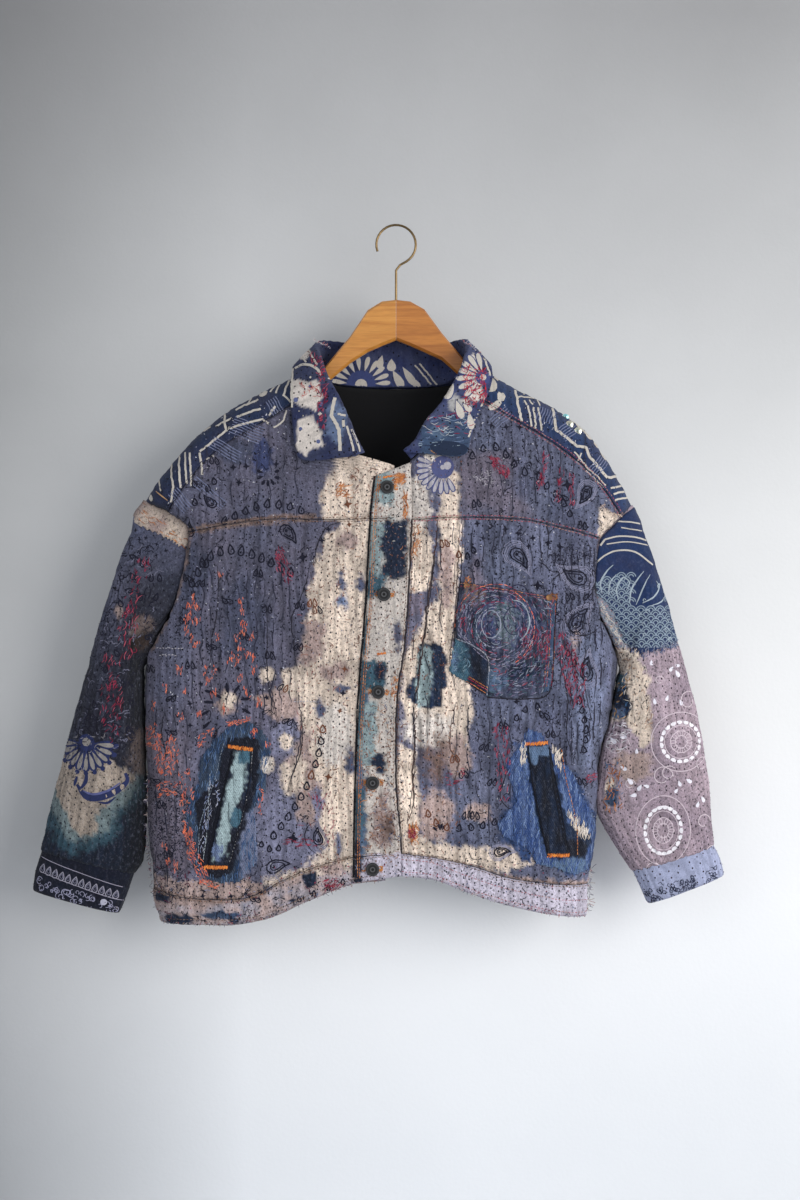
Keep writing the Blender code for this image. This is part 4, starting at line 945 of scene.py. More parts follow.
# %% Tables of the sleeves
# outer edge and inner edge of each section, and its half depth
SLEEVE_LEFT = [(-340, -400, -320, -561, 29), (-359, -456, -320, -575, 34), (-377, -513, -320, -598, 36),
               (-395, -580, -319, -635, 36), (-412, -642, -317, -690, 35), (-431, -712, -316, -750, 32),
               (-444, -768, -320, -800, 28), (-449, -790, -331, -820, 25)]
SLEEVE_RIGHT = [(318, -404, 283, -564, 29), (335, -456, 279, -580, 34), (352, -512, 274, -604, 36),
                (370, -575, 264, -642, 36), (385, -636, 255, -690, 35), (395, -702, 252, -736, 32),
                (400, -756, 280, -790, 28), (403, -784, 299, -817, 25)]
CUFF_LEFT = [(-456, -812, -340, -846, 25), (-461, -840, -349, -870, 22)]
CUFF_RIGHT = [(411, -801, 308, -836, 25), (416, -821, 317, -858, 22)]
SLEEVE_SQUARE, SLEEVE_RIPPLE = 0.85, 0.035
AROUND, SLEEVE_PITCH = 118, 2.6


def armhole_ring(edge, turn):
    """Points of the armhole, front first from the shoulder's tip, then up the back."""
    tip, under = edge[0][0], next(row[0] for row in edge[1:] if row[2] == 0)
    z = tip + (under - tip) * (1 - np.cos(np.linspace(0, np.pi, 60))) / 2
    x, half = curve(edge, z), curve(edge, z, 2)
    ring = []
    for side, ways in ((-1, slice(None)), (BACK_DEPTH / FRONT_DEPTH, slice(None, None, -1))):
        line = np.stack([x, side * half, z], -1)[ways]
        here = turn[(turn < np.pi) if side < 0 else (turn >= np.pi)]
        share = (here if side < 0 else here - np.pi) / np.pi * run_of(line)[-1]
        ring.append(points_at(line, share))
    return np.concatenate(ring)


def sleeve_ring(station, turn, number):
    x_out, z_out, x_in, z_in, half = station
    middle = np.array([(x_out + x_in) / 2, -2.0, (z_out + z_in) / 2])
    across = np.array([(x_out - x_in) / 2, 0.0, (z_out - z_in) / 2])
    wide = np.sign(np.cos(turn)) * np.abs(np.cos(turn)) ** SLEEVE_SQUARE
    deep = np.sign(np.sin(turn)) * np.abs(np.sin(turn)) ** SLEEVE_SQUARE
    ripple = 1 + SLEEVE_RIPPLE * np.sin(3 * turn + number * 0.8) * np.abs(np.sin(turn))
    return middle + wide[:, None] * across - (half * ripple * deep)[:, None] * np.array([0, 1.0, 0])


def longer(line):
    """A line with one more point at each end, straight on."""
    return np.concatenate([2 * line[:1] - line[1:2], line, 2 * line[-1:] - line[-2:-1]])


def between(p0, p1, p2, p3, steps):
    """Points from p1 up to p2, on a smooth curve that also heeds the points before and after."""
    return [0.5 * (2 * p1 + (p2 - p0) * t + (2 * p0 - 5 * p1 + 4 * p2 - p3) * t * t
                   + (3 * p1 - p0 - 3 * p2 + p3) * t ** 3) for t in np.arange(steps) / steps]


def through_rings(rings, pitch):
    """More rings on a smooth curve through the given ones."""
    padded, out = longer(np.array(rings)), []
    for four in zip(padded, padded[1:], padded[2:], padded[3:]):
        steps = max(int(np.linalg.norm(four[2] - four[1], axis=1).mean() / pitch), 2)
        out += between(*four, steps)
    return np.array(out + [rings[-1]])


turn = np.linspace(0, 2 * np.pi, AROUND + 1)[:-1]
print("points round a sleeve:", AROUND)

# %% [markdown]
# The left sleeve is lilac, then cream with a printed flower, then denim that fades from mint to
# navy. The right one has a blue print at the top and dusty rose bandana cloth below.

# %% Where the dyes lie on the sleeves
SLEEVE_LEFT_DYES = [
    ("blush", 5, 4, oval(-346, -489, 5, 9)), ("blush", 8, 8, oval(-318, -508, 14, 14)),
    ("blush", 18, 8, [(-332, -640), (-312, -636), (-308, -706), (-328, -706), (-336, -668)]),
    ("umber", 12, 6, oval(-322, -528, 14, 10)),
    ("navy", 12, 5, [(-470, -712), (-430, -700), (-300, -696), (-300, -850), (-470, -850)]),
    ("teal", 14, 8, [(-448, -706), (-300, -694), (-318, -722), (-336, -742), (-352, -768), (-376, -786),
                     (-404, -790), (-432, -774), (-450, -748)]),
    ("mint", 14, 8, [(-440, -704), (-318, -694), (-330, -716), (-350, -736), (-360, -762), (-380, -774),
                     (-408, -774), (-428, -752)]),
    ("cream", 4, 7, [(-436, -690), (-420, -668), (-398, -672), (-360, -672), (-336, -688), (-326, -700),
                     (-336, -712), (-356, -720), (-370, -736), (-378, -766), (-394, -770), (-408, -754),
                     (-416, -734), (-428, -718)]),
]
SLEEVE_RIGHT_DYES = [
    ("cream", 4, 9, [(250, -540), (300, -536), (312, -556), (313, -586), (322, -620), (324, -652),
                     (308, -660), (298, -632), (284, -626), (262, -626)]),
    ("navy", 4, 7, oval(284, -600, 10, 18)), ("sky", 6, 6, oval(279, -616, 8, 8)),
    ("teal", 5, 6, oval(281, -574, 5, 10)), ("cream", 5, 6, oval(268, -712, 7, 18)),
    ("denim", 5, 6, oval(270, -722, 8, 12)), ("blush", 12, 8, oval(296, -680, 22, 20)),
]


# Lilac that turns to dusk towards the cuff; this darkening is partly deeper dye and partly painted shade.
def left_sleeve_base(x, z):
    low = smooth_step((-440 - z) / 170)[..., None]
    return (mottled(x, z, "lilac_deep", "lilac", 40, 60, 71) * (1 - low)
            + mottled(x, z, "dusk", "lilac_deep", 30, 40, 73) * 0.9 * low)


def left_sleeve_tone(x, z):
    """Light falls off towards the foot of the sleeve and towards the body."""
    return (0.94 - 0.42 * smooth_step((-450 - z) / 130)) * (1 - 0.66 * smooth_step((x + 356) / 32)
                                                         * smooth_step((-400 - z) / 80))


def right_sleeve_base(x, z):
    return mottled(x, z, "rose", "plum", 60, 60, 72)


def tube_rings(edge, stations):
    return [armhole_ring(edge, turn)] + [sleeve_ring(row, turn, n) for n, row in enumerate(stations)]


left_rings = tube_rings(EDGE_LEFT, SLEEVE_LEFT + CUFF_LEFT)
right_rings = tube_rings(EDGE_RIGHT, SLEEVE_RIGHT + CUFF_RIGHT)
print("rings of a sleeve:", len(left_rings))


# %% Sleeves and cuffs
def tube_normals(grid):
    """Outward directions round a tube, whose first and last columns are the same points."""
    ring = grid[:, :-1]
    along = np.roll(ring, -1, axis=1) - np.roll(ring, 1, axis=1)
    down = np.gradient(ring, axis=0)
    normal = np.cross(down, along)
    normal /= np.maximum(np.linalg.norm(normal, axis=-1, keepdims=True), 1e-9)
    outward = ring - ring.mean(axis=1, keepdims=True)
    normal *= np.sign((normal * outward).sum())
    return np.concatenate([normal, normal[:, :1]], axis=1)


def sew_sleeve(name, rings, tables, seed, deep, base, finish=None, tone=None, head=0.0):
    """A tube of quilted cloth, closed along one line, with both ends turned in. Its top is tucked
    under the cloth that it is sewn to, and the head of a sleeve stands out a little."""
    grid = through_rings(rings, SLEEVE_PITCH)
    way = grid[0] - grid[1]
    tucked = grid[0] + way * 3.5 / np.linalg.norm(way, axis=1, keepdims=True)
    grid = np.concatenate([(tucked * (1, 0.94, 1))[None], grid])
    grid = np.concatenate([grid, grid[:, :1]], axis=1)
    x, z = grid[..., 0], grid[..., 2]
    normals = tube_normals(grid)
    reach = np.linalg.norm(np.diff(grid, axis=1), axis=-1).mean()
    u = np.arange(grid.shape[1])[None, :] * reach + 0 * x
    height = puckers(u, -z, seed, deep)
    fade = smooth_step(np.minimum(u, u.max() - u) / 12)
    height = height * fade + (height[:, :1] + height[:, -1:]) / 2 * (1 - fade)
    height = height - seam_dip(grid, sides="b")
    middle = grid[:, :-1, 0].mean(axis=1)[:, None]
    outer = np.clip((x - middle) / np.abs(x - middle).max(axis=1)[:, None] * np.sign(middle), 0, 1)
    down = SLEEVE_PITCH * np.arange(len(x))[:, None]
    height = height + head * outer ** 2 * np.exp(-((down - 22) / 18) ** 2)
    colour = base(x, z)
    for table in tables:
        colour = all_dyed(colour, x, z, table)
    colour = shaded(colour, height)
    if tone:
        colour = colour * tone(x, z)[..., None]
    places = grid + normals * height[..., None]
    rows, columns = grid.shape[:2]
    ring_count = columns - 1
    at = np.arange(rows * ring_count).reshape(rows, ring_count)
    at = np.concatenate([at, at[:, :1]], axis=1)
    faces, turned = faces_between(at), runs_backwards(grid, normals)
    points, tints = places[:, :-1].reshape(-1, 3), colour[:, :-1].reshape(-1, 3)
    bands = []
    for row, way in ((0, -1), (rows - 1, 1)):
        rim = at[row, :-1]
        inner = points[rim] - normals[row, :-1] * CLOTH
        new = np.arange(ring_count) + len(points)
        band = np.stack([rim, new, np.roll(new, -1), np.roll(rim, -1)], -1)
        bands.append(band if way > 0 else band[:, ::-1])
        points = np.concatenate([points, inner])
        tints = np.concatenate([tints, tints[rim] * EDGE_DARK])
    faces = np.concatenate([faces] + bands)
    faces = faces[:, ::-1] if turned else faces
    piece = link(name, fast_mesh(name, points * MM, faces, tints), finish or quilt_finish)
    cloth_pieces[name] = {"object": piece, "places": places, "normals": normals,
                          "flat": flat_of(grid)}
    return piece


SLEEVE_STATIONS = len(SLEEVE_LEFT) + 1
sew_sleeve("sleeve_left", left_rings[:SLEEVE_STATIONS], [SLEEVE_LEFT_DYES], 81, 1.0, left_sleeve_base,
           tone=left_sleeve_tone, head=6.0)
sew_sleeve("sleeve_right", right_rings[:SLEEVE_STATIONS], [SLEEVE_RIGHT_DYES], 82, 0.8,
           right_sleeve_base, head=3.0)
# The left cuff is dark navy, and its dye is darkened further as painted shade; the right cuff's dye is
# brightened as painted light.
sew_sleeve("cuff_left", left_rings[SLEEVE_STATIONS - 1:], [], 83, 0.4,
           lambda x, z: mottled(x, z, "midnight", "navy", 30, 30, 84) * (0.34, 0.38, 0.50),
           plain_finish)
sew_sleeve("cuff_right", right_rings[SLEEVE_STATIONS - 1:], [], 85, 0.5,
           lambda x, z: mottled(x, z, "cuff", "cuff", 30, 30, 86) * 1.3, plain_finish)
for name in ("sleeve_left", "sleeve_right", "cuff_left", "cuff_right"):
    print(name, "has", len(cloth_pieces[name]["object"].data.polygons), "faces")

# %% [markdown]
# ## The collar
# Stand and leaf of the collar are one folded piece that runs round the neck from one front to
# the other. Its sections are seam, fold and edge of the leaf. They are joined by smooth curves
# both ways, and the cloth has an inner and an outer face with an edge between them.

# %% Table of the collar
# neck seam, fold and edge of the leaf at each section, as (x, y, z)
COLLAR = [((-47, -42, -291), (-41, -45, -290), (-50, -48, -295)),
          ((-60, -42, -282), (-51, -49, -272), (-112, -48, -301)),
          ((-72, -42, -266), (-57, -50, -256), (-124, -47, -286)),
          ((-90, -42, -238), (-70, -49, -228), (-129, -47, -246)),
          ((-103, -38, -214), (-85, -46, -199), (-131, -44, -214)),
          ((-109, -24, -196), (-94, -34, -173), (-130, -28, -190)),
          ((-110, 0, -182), (-99, -8, -155), (-127, 2, -177)),
          ((-98, 20, -190), (-89, 17, -146), (-112, 38, -190)),
          ((-80, 28, -197), (-62, 28, -147), (-84, 46, -207)),
          ((-42, 29, -202), (-30, 31, -146), (-42, 48, -214)),
          ((0, 29, -203), (0, 32, -142), (0, 48, -216)),
          ((36, 29, -202), (30, 31, -144), (40, 48, -214)),
          ((66, 28, -197), (58, 28, -148), (76, 46, -205)),
          ((84, 20, -187), (79, 16, -145), (98, 38, -188)),
          ((99, 0, -173), (88, -6, -151), (114, 2, -172)),
          ((99, -24, -190), (86, -34, -173), (120, -34, -191)),
          ((90, -38, -212), (76, -46, -199), (116, -47, -213)),
          ((78, -42, -236), (60, -50, -228), (103, -47, -243)),
          ((58, -42, -262), (38, -50, -254), (93, -47, -272)),
          ((38, -42, -283), (25, -49, -277), (84, -48, -294)),
          ((19, -45, -301), (11, -48, -290), (48, -48, -293))]
COLLAR_BEND, COLLAR_CLEAR, NECK_IN = 2.6, 2.6, 2.3
ACROSS_PITCH, ROUND_PITCH = 2.4, 2.2      # cells along the neck, and from seam to leaf
NECK_MIDDLE = np.array([-5.0, 0.0, -170.0])
COLLAR_DYES = [
    ("bone", 3, 4, [(-132, -200), (-98, -203), (-92, -222), (-100, -238), (-118, -236), (-132, -222)]),
    ("bone", 3, 4, [(-122, -252), (-106, -248), (-93, -265), (-88, -282), (-112, -294), (-126, -284)]),
    ("bone", 3, 3, oval(-113, -166, 6, 10)), ("bone", 4, 5, oval(98, -214, 9, 18)),
    ("bone", 4, 5, oval(84, -240, 8, 14)), ("stone", 5, 5, oval(74, -232, 10, 10)),
    ("bone", 4, 4, oval(96, -178, 6, 12)), ("denim", 6, 5, [(30, -262), (92, -240), (94, -300), (30, -300)]),
    ("navy", 5, 4, oval(70, -286, 16, 7)), ("worn", 6, 4, oval(52, -266, 14, 7)),
    ("sky", 10, 6, oval(-74, -255, 12, 26)),
]


def collar_section(number):
    """One cut through the collar: up the stand, round the fold and down the leaf."""
    seam, fold, leaf = (np.array(point, float) for point in COLLAR[number])
    inwards = NECK_MIDDLE - seam
    inwards[1] = 0
    seam = seam + inwards / np.linalg.norm(inwards) * NECK_IN
    ahead = np.array(COLLAR[min(number + 1, len(COLLAR) - 1)][1], float)
    along = ahead - np.array(COLLAR[max(number - 1, 0)][1], float)
    out = np.cross(fold - seam, along)
    out /= np.linalg.norm(out)
    up = (fold - seam) / np.linalg.norm(fold - seam)
    over = fold + out * 2 * COLLAR_BEND
    leaf_line = [over, over + (leaf - over) * 0.35 + out * 1.2, over + (leaf - over) * 0.7 + out * 0.8,
                 leaf]
    for point in leaf_line[1:]:
        x, y, z = point
        if z <= curve(SHOULDER, x):
            front = y < 0
            cloth_y = float(body_y(np.array([x]), np.array([z]), front)[0])
            if front:
                point[1] = min(y, cloth_y - COLLAR_CLEAR - LAP * (-40 < x < 26))
            else:
                point[1] = max(y, cloth_y + COLLAR_CLEAR)
    crest = [fold + up * COLLAR_BEND * 0.8 + out * COLLAR_BEND * side for side in (0.4, 1.6)]
    return [seam, seam + (fold - seam) * 0.55, fold] + crest + leaf_line


def collar_base(x, z):
    near = (1 - 0.30 * smooth_step((-20 - x) / 50))[..., None]
    return mottled(x, z, "indigo", "lilac_right", 26, 26, 91) * (0.76, 0.79, 0.97) * near


across = through_rings([collar_section(n) for n in range(len(COLLAR))], ACROSS_PITCH)
collar_grid = through_rings(across.transpose(1, 0, 2), ROUND_PITCH)
collar_normals = grid_normals(collar_grid, BACK)
leaf_middle = collar_normals[-6, 8]
collar_normals *= -1 if leaf_middle[1] > 0 else 1
u = np.arange(collar_grid.shape[1])[None, :] * ACROSS_PITCH + np.zeros(collar_grid.shape[:2])
v = np.arange(collar_grid.shape[0])[:, None] * ROUND_PITCH + np.zeros(collar_grid.shape[:2])
collar_height = puckers(u, v, 92, 0.45) + 0.6
collar_colour = all_dyed(collar_base(collar_grid[..., 0], collar_grid[..., 2]), collar_grid[..., 0],
                         collar_grid[..., 2], COLLAR_DYES)
collar_colour = shaded(collar_colour, collar_height)
halves = [collar_grid + collar_normals * (side * CLOTH / 2 + lift[..., None])
          for side, lift in ((1, collar_height * 0.8), (-1, collar_height * 0))]
rows, columns = collar_grid.shape[:2]
turned = runs_backwards(collar_grid, collar_normals)
faces = np.concatenate([grid_faces(rows, columns, turned),
                        grid_faces(rows, columns, not turned) + rows * columns])
rim = rim_of(rows, columns)
band = np.stack([rim, np.roll(rim, -1), np.roll(rim, -1) + rows * columns, rim + rows * columns], -1)
faces = np.concatenate([faces, band[:, ::-1] if turned else band])
collar_points = np.concatenate([half.reshape(-1, 3) for half in halves])
collar = link("collar", fast_mesh("collar", collar_points * MM, faces,
                                  np.concatenate([collar_colour.reshape(-1, 3)] * 2)), plain_finish)
cloth_pieces["collar"] = {"object": collar, "places": halves[0], "normals": collar_normals,
                          "flat": flat_of(collar_grid)}
print("collar:", rows, "x", columns, "points")

# %% [markdown]
# ## Pockets, patches and bands
# What is sewn onto a panel is cut from a grid that lies on the finished cloth: rays are sent to
# the jacket from the front, and the patch gets a point wherever one lands. Its edge follows an
# outline that is a little ragged, because boro patches are torn as often as they are cut.

# %% Finding the cloth
RAY_START = -200.0             # rays start this far before the jacket's middle


def skin_of(names):
    """All the named cloth pieces as one thing that rays can find, in millimetres."""
    points, faces, first = [], [], 0
    for name in names:
        data = cloth_pieces[name]["object"].data
        places = np.empty(len(data.vertices) * 3)
        data.vertices.foreach_get("co", places)
        corners = np.empty(len(data.loops), int)
        data.loops.foreach_get("vertex_index", corners)
        points.append(places.reshape(-1, 3) / MM)
        faces.append(corners.reshape(-1, 4) + first)
        first += len(data.vertices)
    return BVHTree.FromPolygons(np.concatenate(points).tolist(), np.concatenate(faces).tolist())


def landed(skin, x, z):
    """Where rays from the front meet the cloth, and which way it faces there."""
    places, normals, found = [], [], []
    for at_x, at_z in zip(np.ravel(x), np.ravel(z)):
        hit, normal, _, _ = skin.ray_cast(Vector((at_x, RAY_START, at_z)), Vector((0, 1, 0)))
        found.append(hit is not None)
        if hit is None:
            hit, normal = (at_x, 0, at_z), Vector((0, -1, 0))
        places.append(hit)
        normals.append(-normal if normal.y > 0 else normal)
    shape = np.shape(x)
    return (np.array(places, float).reshape(shape + (3,)), np.array(normals, float).reshape(shape + (3,)),
            np.array(found).reshape(shape))


FRONT_NAMES = ["front_yoke_left", "front_panel_left", "waistband_left", "front_yoke_right",
               "front_panel_right", "waistband_right", "button_placket", "shoulder_strip_left",
               "shoulder_strip_right"]
front_skin = skin_of(FRONT_NAMES)
hit = landed(front_skin, np.array([-150.0]), np.array([-600.0]))[0]
print("the left front is found at", hit.round(1))


# %% Cutting a patch
CUT_DARK, CUT_LIP = 0.5, 1.6   # how dark a cut edge is, and how far it is turned down


def cells_within(inside):
    """The cells of a grid that have all four corners inside."""
    return inside[:-1, :-1] & inside[1:, :-1] & inside[1:, 1:] & inside[:-1, 1:]


def cut_piece(name, places, normals, keep, colour, finish, lip):
    """A grid of cloth with only the kept cells, and its cut edge turned down."""
    rows, columns = places.shape[:2]
    faces = grid_faces(rows, columns, runs_backwards(places, normals))[keep.ravel()]
    used, index = np.unique(faces, return_inverse=True)
    faces = index.reshape(faces.shape)
    points, facing = places.reshape(-1, 3)[used], normals.reshape(-1, 3)[used]
    tints = colour.reshape(-1, 3)[used]
    edges = np.concatenate([faces[:, [k, (k + 1) % 4]] for k in range(4)])
    keys = set(map(tuple, edges.tolist()))
    rim = np.array([edge for edge in edges.tolist() if (edge[1], edge[0]) not in keys])
    ends, ring = np.unique(rim, return_inverse=True)
    ring = ring.reshape(rim.shape)
    points = np.concatenate([points, points[ends] - facing[ends] * lip])
    tints = np.concatenate([tints, tints[ends] * CUT_DARK])
    low = ring + len(used)
    band = np.stack([rim[:, 1], rim[:, 0], low[:, 0], low[:, 1]], -1)
    piece = link(name, fast_mesh(name, points * MM, np.concatenate([faces, band]), tints), finish)
    corner = points[faces]
    area = np.linalg.norm(np.cross(corner[:, 1] - corner[:, 0], corner[:, 3] - corner[:, 0]), axis=1)
    area = float(area.sum()) * MM * MM
    size = np.ptp(points, axis=0) * MM
    across = math.hypot(size[0], size[1])
    cloth_pieces[name] = {"object": piece, "places": places, "normals": normals,
                          "flat": (across, max(size[2], 1.004 * area / across), area)}
    return piece


def nearest_to_front(depth):
    """Draws every point of a patch level with the highest cloth round it."""
    rows, columns = depth.shape
    wide = np.pad(depth, 1, mode="edge")
    return np.min([wide[i:i + rows, j:j + columns] for i in range(3) for j in range(3)], axis=0)


def applique(name, outline, skin, base, table, lift=0.5, ragged=2.5, seed=0, pitch=1.7, finish=None,
             swell=0.0, deep=0.35, shade=0.2):
    """A patch on the cloth, cut along an outline."""
    reach = np.array(outline)
    low, high = reach.min(axis=0) - 2 * ragged - 2, reach.max(axis=0) + 2 * ragged + 2
    x, z = np.meshgrid(np.arange(low[0], high[0], pitch), np.arange(high[1], low[1], -pitch))
    places, normals, found = landed(skin, x, z)
    places[..., 1] = nearest_to_front(places[..., 1])
    away = depth_inside(x, z, outline) + ragged * layered(x / 7, z / 9, seed, 4)
    own = (puckers(x, z, seed, 1.0) + SINK) * deep * smooth_step(away / 8)
    raised = lift + np.maximum(own, 0) + swell * bulge(np.maximum(away, 0), 6.0)
    places = places + normals * raised[..., None]
    colour = all_dyed(base(x, z), x, z, table)
    colour = shaded(colour, puckers(x, z, seed, 1.0), shade)
    return cut_piece(name, places, normals, cells_within((away > 0) & found), colour,
                     finish or denim_finish, CUT_LIP)


print("patches can be cut")

# %% Denim round the hand pockets, welts and the chest pocket
LEFT_DENIM = [(-208, -630), (-181, -624), (-163, -637), (-155, -664), (-160, -684), (-161, -711),
              (-176, -735), (-172, -763), (-172, -797), (-181, -813), (-196, -825), (-216, -827),
              (-236, -822), (-254, -803), (-262, -753), (-260, -721), (-246, -700), (-244, -672),
              (-228, -650)]
LEFT_DARK = [(-208, -646), (-185, -642), (-169, -646), (-170, -692), (-174, -711), (-181, -735),
             (-183, -751), (-196, -783), (-198, -803), (-208, -814), (-224, -822), (-242, -806),
             (-249, -795), (-247, -747), (-251, -727), (-236, -711), (-222, -697), (-216, -664)]
LEFT_WELT = [(-204, -661), (-178, -659), (-179, -700), (-192, -752), (-207, -804), (-234, -804),
             (-220, -740)]
RIGHT_DENIM = [(164, -634), (182, -639), (190, -654), (204, -674), (220, -686), (229, -713),
               (239, -729), (250, -748), (247, -790), (242, -812), (224, -818), (204, -810), (174, -803),
               (163, -783), (134, -770), (125, -753), (148, -725), (135, -676), (152, -658)]
RIGHT_DARK = [(162, -655), (190, -653), (201, -700), (214, -750), (238, -756), (243, -778), (236, -796),
              (216, -798), (188, -794), (172, -740)]
RIGHT_WELT = [(163, -656), (189, -654), (200, -710), (214, -789), (188, -792), (167, -700)]
CHEST_POCKET = [(80, -450), (140, -459), (200, -469), (196, -530), (191, -588), (160, -597),
                (113, -595), (92, -581), (72, -526), (76, -480)]
CHEST_PATCH = [(73, -521), (65, -564), (90, -579), (113, -593), (115, -549), (96, -531)]


def worn_denim(x, z):
    return mottled(x, z, "denim", "worn", 10, 34, 101) * 0.43


def royal_denim(x, z):
    return mottled(x, z, "royal", "sky", 6, 44, 102) * (0.75, 0.85, 1.0)


def pocket_cloth(x, z):
    return mottled(x, z, "pocket", "lilac_right", 22, 22, 103) * 0.68


def dark_denim(x, z):
    return mottled(x, z, "navy", "ink", 10, 30, 104) * 0.8


applique("pocket_denim_left", LEFT_DENIM, front_skin, worn_denim,
         [("ink", 2, 4, LEFT_DARK), ("bone", 3, 3, oval(-161, -679, 7, 11)),
          ("mist", 8, 5, [(-186, -740), (-164, -730), (-164, -800), (-190, -822), (-196, -790)])], seed=111)
applique("pocket_denim_right", RIGHT_DENIM, front_skin, royal_denim,
         [("navy", 3, 5, RIGHT_DARK),
          ("ink", 3, 5, oval(222, -782, 16, 12)),
          ("worn", 8, 6, oval(212, -806, 30, 10))], seed=112)
pocket_skin = skin_of(["pocket_denim_left", "pocket_denim_right"])
applique("welt_left", LEFT_WELT, pocket_skin, dark_denim,
         [("mint", 7, 3, [(-199, -664), (-184, -666), (-188, -706), (-202, -738), (-212, -790),
                          (-228, -798), (-214, -730)]),
          ("teal", 6, 4, oval(-188, -668, 10, 8)), ("teal", 5, 3, oval(-198, -744, 7, 12)),
          ("sky", 6, 3, oval(-222, -786, 6, 12))],
         ragged=0.5, seed=113, lift=0.6, swell=1.3, pitch=1.2, deep=0.12)
applique("welt_right", RIGHT_WELT, pocket_skin, dark_denim,
         [("worn", 4, 3, [(160, -650), (192, -648), (192, -668), (178, -668), (172, -678), (164, -672)])],
         ragged=0.5, seed=114, lift=0.6, swell=1.3, pitch=1.2, deep=0.12)
applique("chest_pocket", CHEST_POCKET, front_skin, pocket_cloth,
         [("indigo", 8, 6, oval(140, -500, 40, 30)), ("slate", 14, 10, oval(136, -500, 18, 26)),
          ("worn", 10, 10, oval(124, -574, 16, 18)), ("navy", 12, 10, oval(160, -562, 24, 14)),
          ("umber", 10, 8, oval(96, -470, 12, 12)),
          ("denim", 6, 3, [(188, -472), (202, -472), (194, -590), (184, -590)])],
         ragged=1.0, seed=115, lift=0.5, finish=quilt_finish, deep=0.6, shade=0.5)
applique("chest_denim_patch", CHEST_PATCH, skin_of(["front_panel_right", "chest_pocket"]), dark_denim,
         [("teal", 16, 3, [(56, -515), (86, -522), (90, -590), (60, -570)]),
          ("worn", 8, 5, oval(74, -548, 5, 16))],
         ragged=0.8, seed=116, lift=0.6, deep=0.15)
for name in ("pocket_denim_left", "pocket_denim_right", "chest_pocket"):
    print(name, "area", round(cloth_pieces[name]["flat"][2] * 1e4), "cm2")

# %% [markdown]
# Two patches go round a sleeve: a cream band at the left shoulder, and the blue print at the top
# of the right sleeve. They are parts of the sleeve's own grid, lifted a little.


# %% Bands on the sleeves
BAND_LIFT, BAND_LIP = 0.9, 1.5


def sew_over(name, under, rows, outline, base, table, ragged, seed, finish=None):
    """A patch that follows the grid of another piece, cut along an outline seen from the front."""
    source = cloth_pieces[under]
    places, normals = source["places"][rows[0]:rows[1]], source["normals"][rows[0]:rows[1]]
    x, z = places[..., 0], places[..., 2]
    shake = ragged * layered(x / 7, z / 9, seed, 4)
    keep = cells_within(depth_inside(x, z, outline) + shake > 0)
    colour = all_dyed(base(x, z), x, z, table)
    colour = shaded(colour, puckers(x, z, seed, 0.6), 0.2)
    return cut_piece(name, places + normals * BAND_LIFT, normals, keep, colour, finish or quilt_finish,
                     BAND_LIP)


HEAD_BAND = [(-322, -346), (-334, -360), (-331, -377), (-312, -387), (-295, -395), (-276, -407),
             (-262, -410), (-252, -398), (-256, -378), (-280, -360), (-304, -348)]
SLEEVE_PRINT = [(236, -350), (420, -350), (420, -526), (352, -528), (330, -537), (305, -543),
                (286, -530), (276, -500), (262, -478), (250, -470), (236, -470)]
sew_over("sleeve_left_head_band", "sleeve_left", (0, 40), HEAD_BAND,
         lambda x, z: mottled(x, z, "cream", "blush", 24, 24, 121) * 0.8, [], 1, 122)
sew_over("sleeve_right_print", "sleeve_right", (1, 90), SLEEVE_PRINT,
         lambda x, z: mottled(x, z, "royal", "indigo", 30, 30, 123) * (0.50, 0.61, 0.72),
         [("bone", 5, 4, [(238, -446), (246, -452), (266, -524), (260, -530), (240, -490)])], 4, 124,
         finish=plain_finish)
print("pieces of cloth:", len(cloth_pieces))

# %% [markdown]
# ## Lining
# The jacket is lined with plain black cotton, which shows in the neck and inside the cuffs.

# %% Lining
def lining_colour(grid):
    return np.full(grid.shape, 0.0055) * np.array([0.95, 0.95, 1.15])


def line_with(name, flat, depth, facing, way):
    """A plain layer of cotton just inside a panel."""
    grid = in_depth(flat, depth)
    grid = grid - grid_normals(grid, facing) * (CLOTH + 0.9)
    near = np.exp(-((curve(SHOULDER, grid[..., 0]) - grid[..., 2]) / 18) ** 2)[..., None]
    grid = grid * (1 - near * (0, 0.45, 0)) - near * (0, 0, 2.0)
    height = 0.4 * noise(grid[..., 0] / 40, grid[..., 2] / 60, way)
    sew(name, grid, -facing, height, lining_colour(grid), lining_finish, 0.4)


def lining_grids(pitch):
    """Coarser grids of both fronts and the back, from the shoulders to the hem."""
    left = coons(FOLD_LEFT, HEM_LEFT, side_of(EDGE_LEFT, -351, -879),
                 down_line([(NECK_LEFT, -183), (-57, -290), (-8, -540), (-13, -823)]), pitch)
    right = coons(FOLD_RIGHT, HEM_RIGHT, side_of(EDGE_RIGHT, -357, -872),
                  down_line([(NECK_RIGHT, -174), (46, -275), (10, -536), (7, -817)]), pitch)
    back = coons(back_top, HEM_BACK, side_of(EDGE_LEFT, -351, -879), side_of(EDGE_RIGHT, -357, -872),
                 pitch)
    return left, right, back


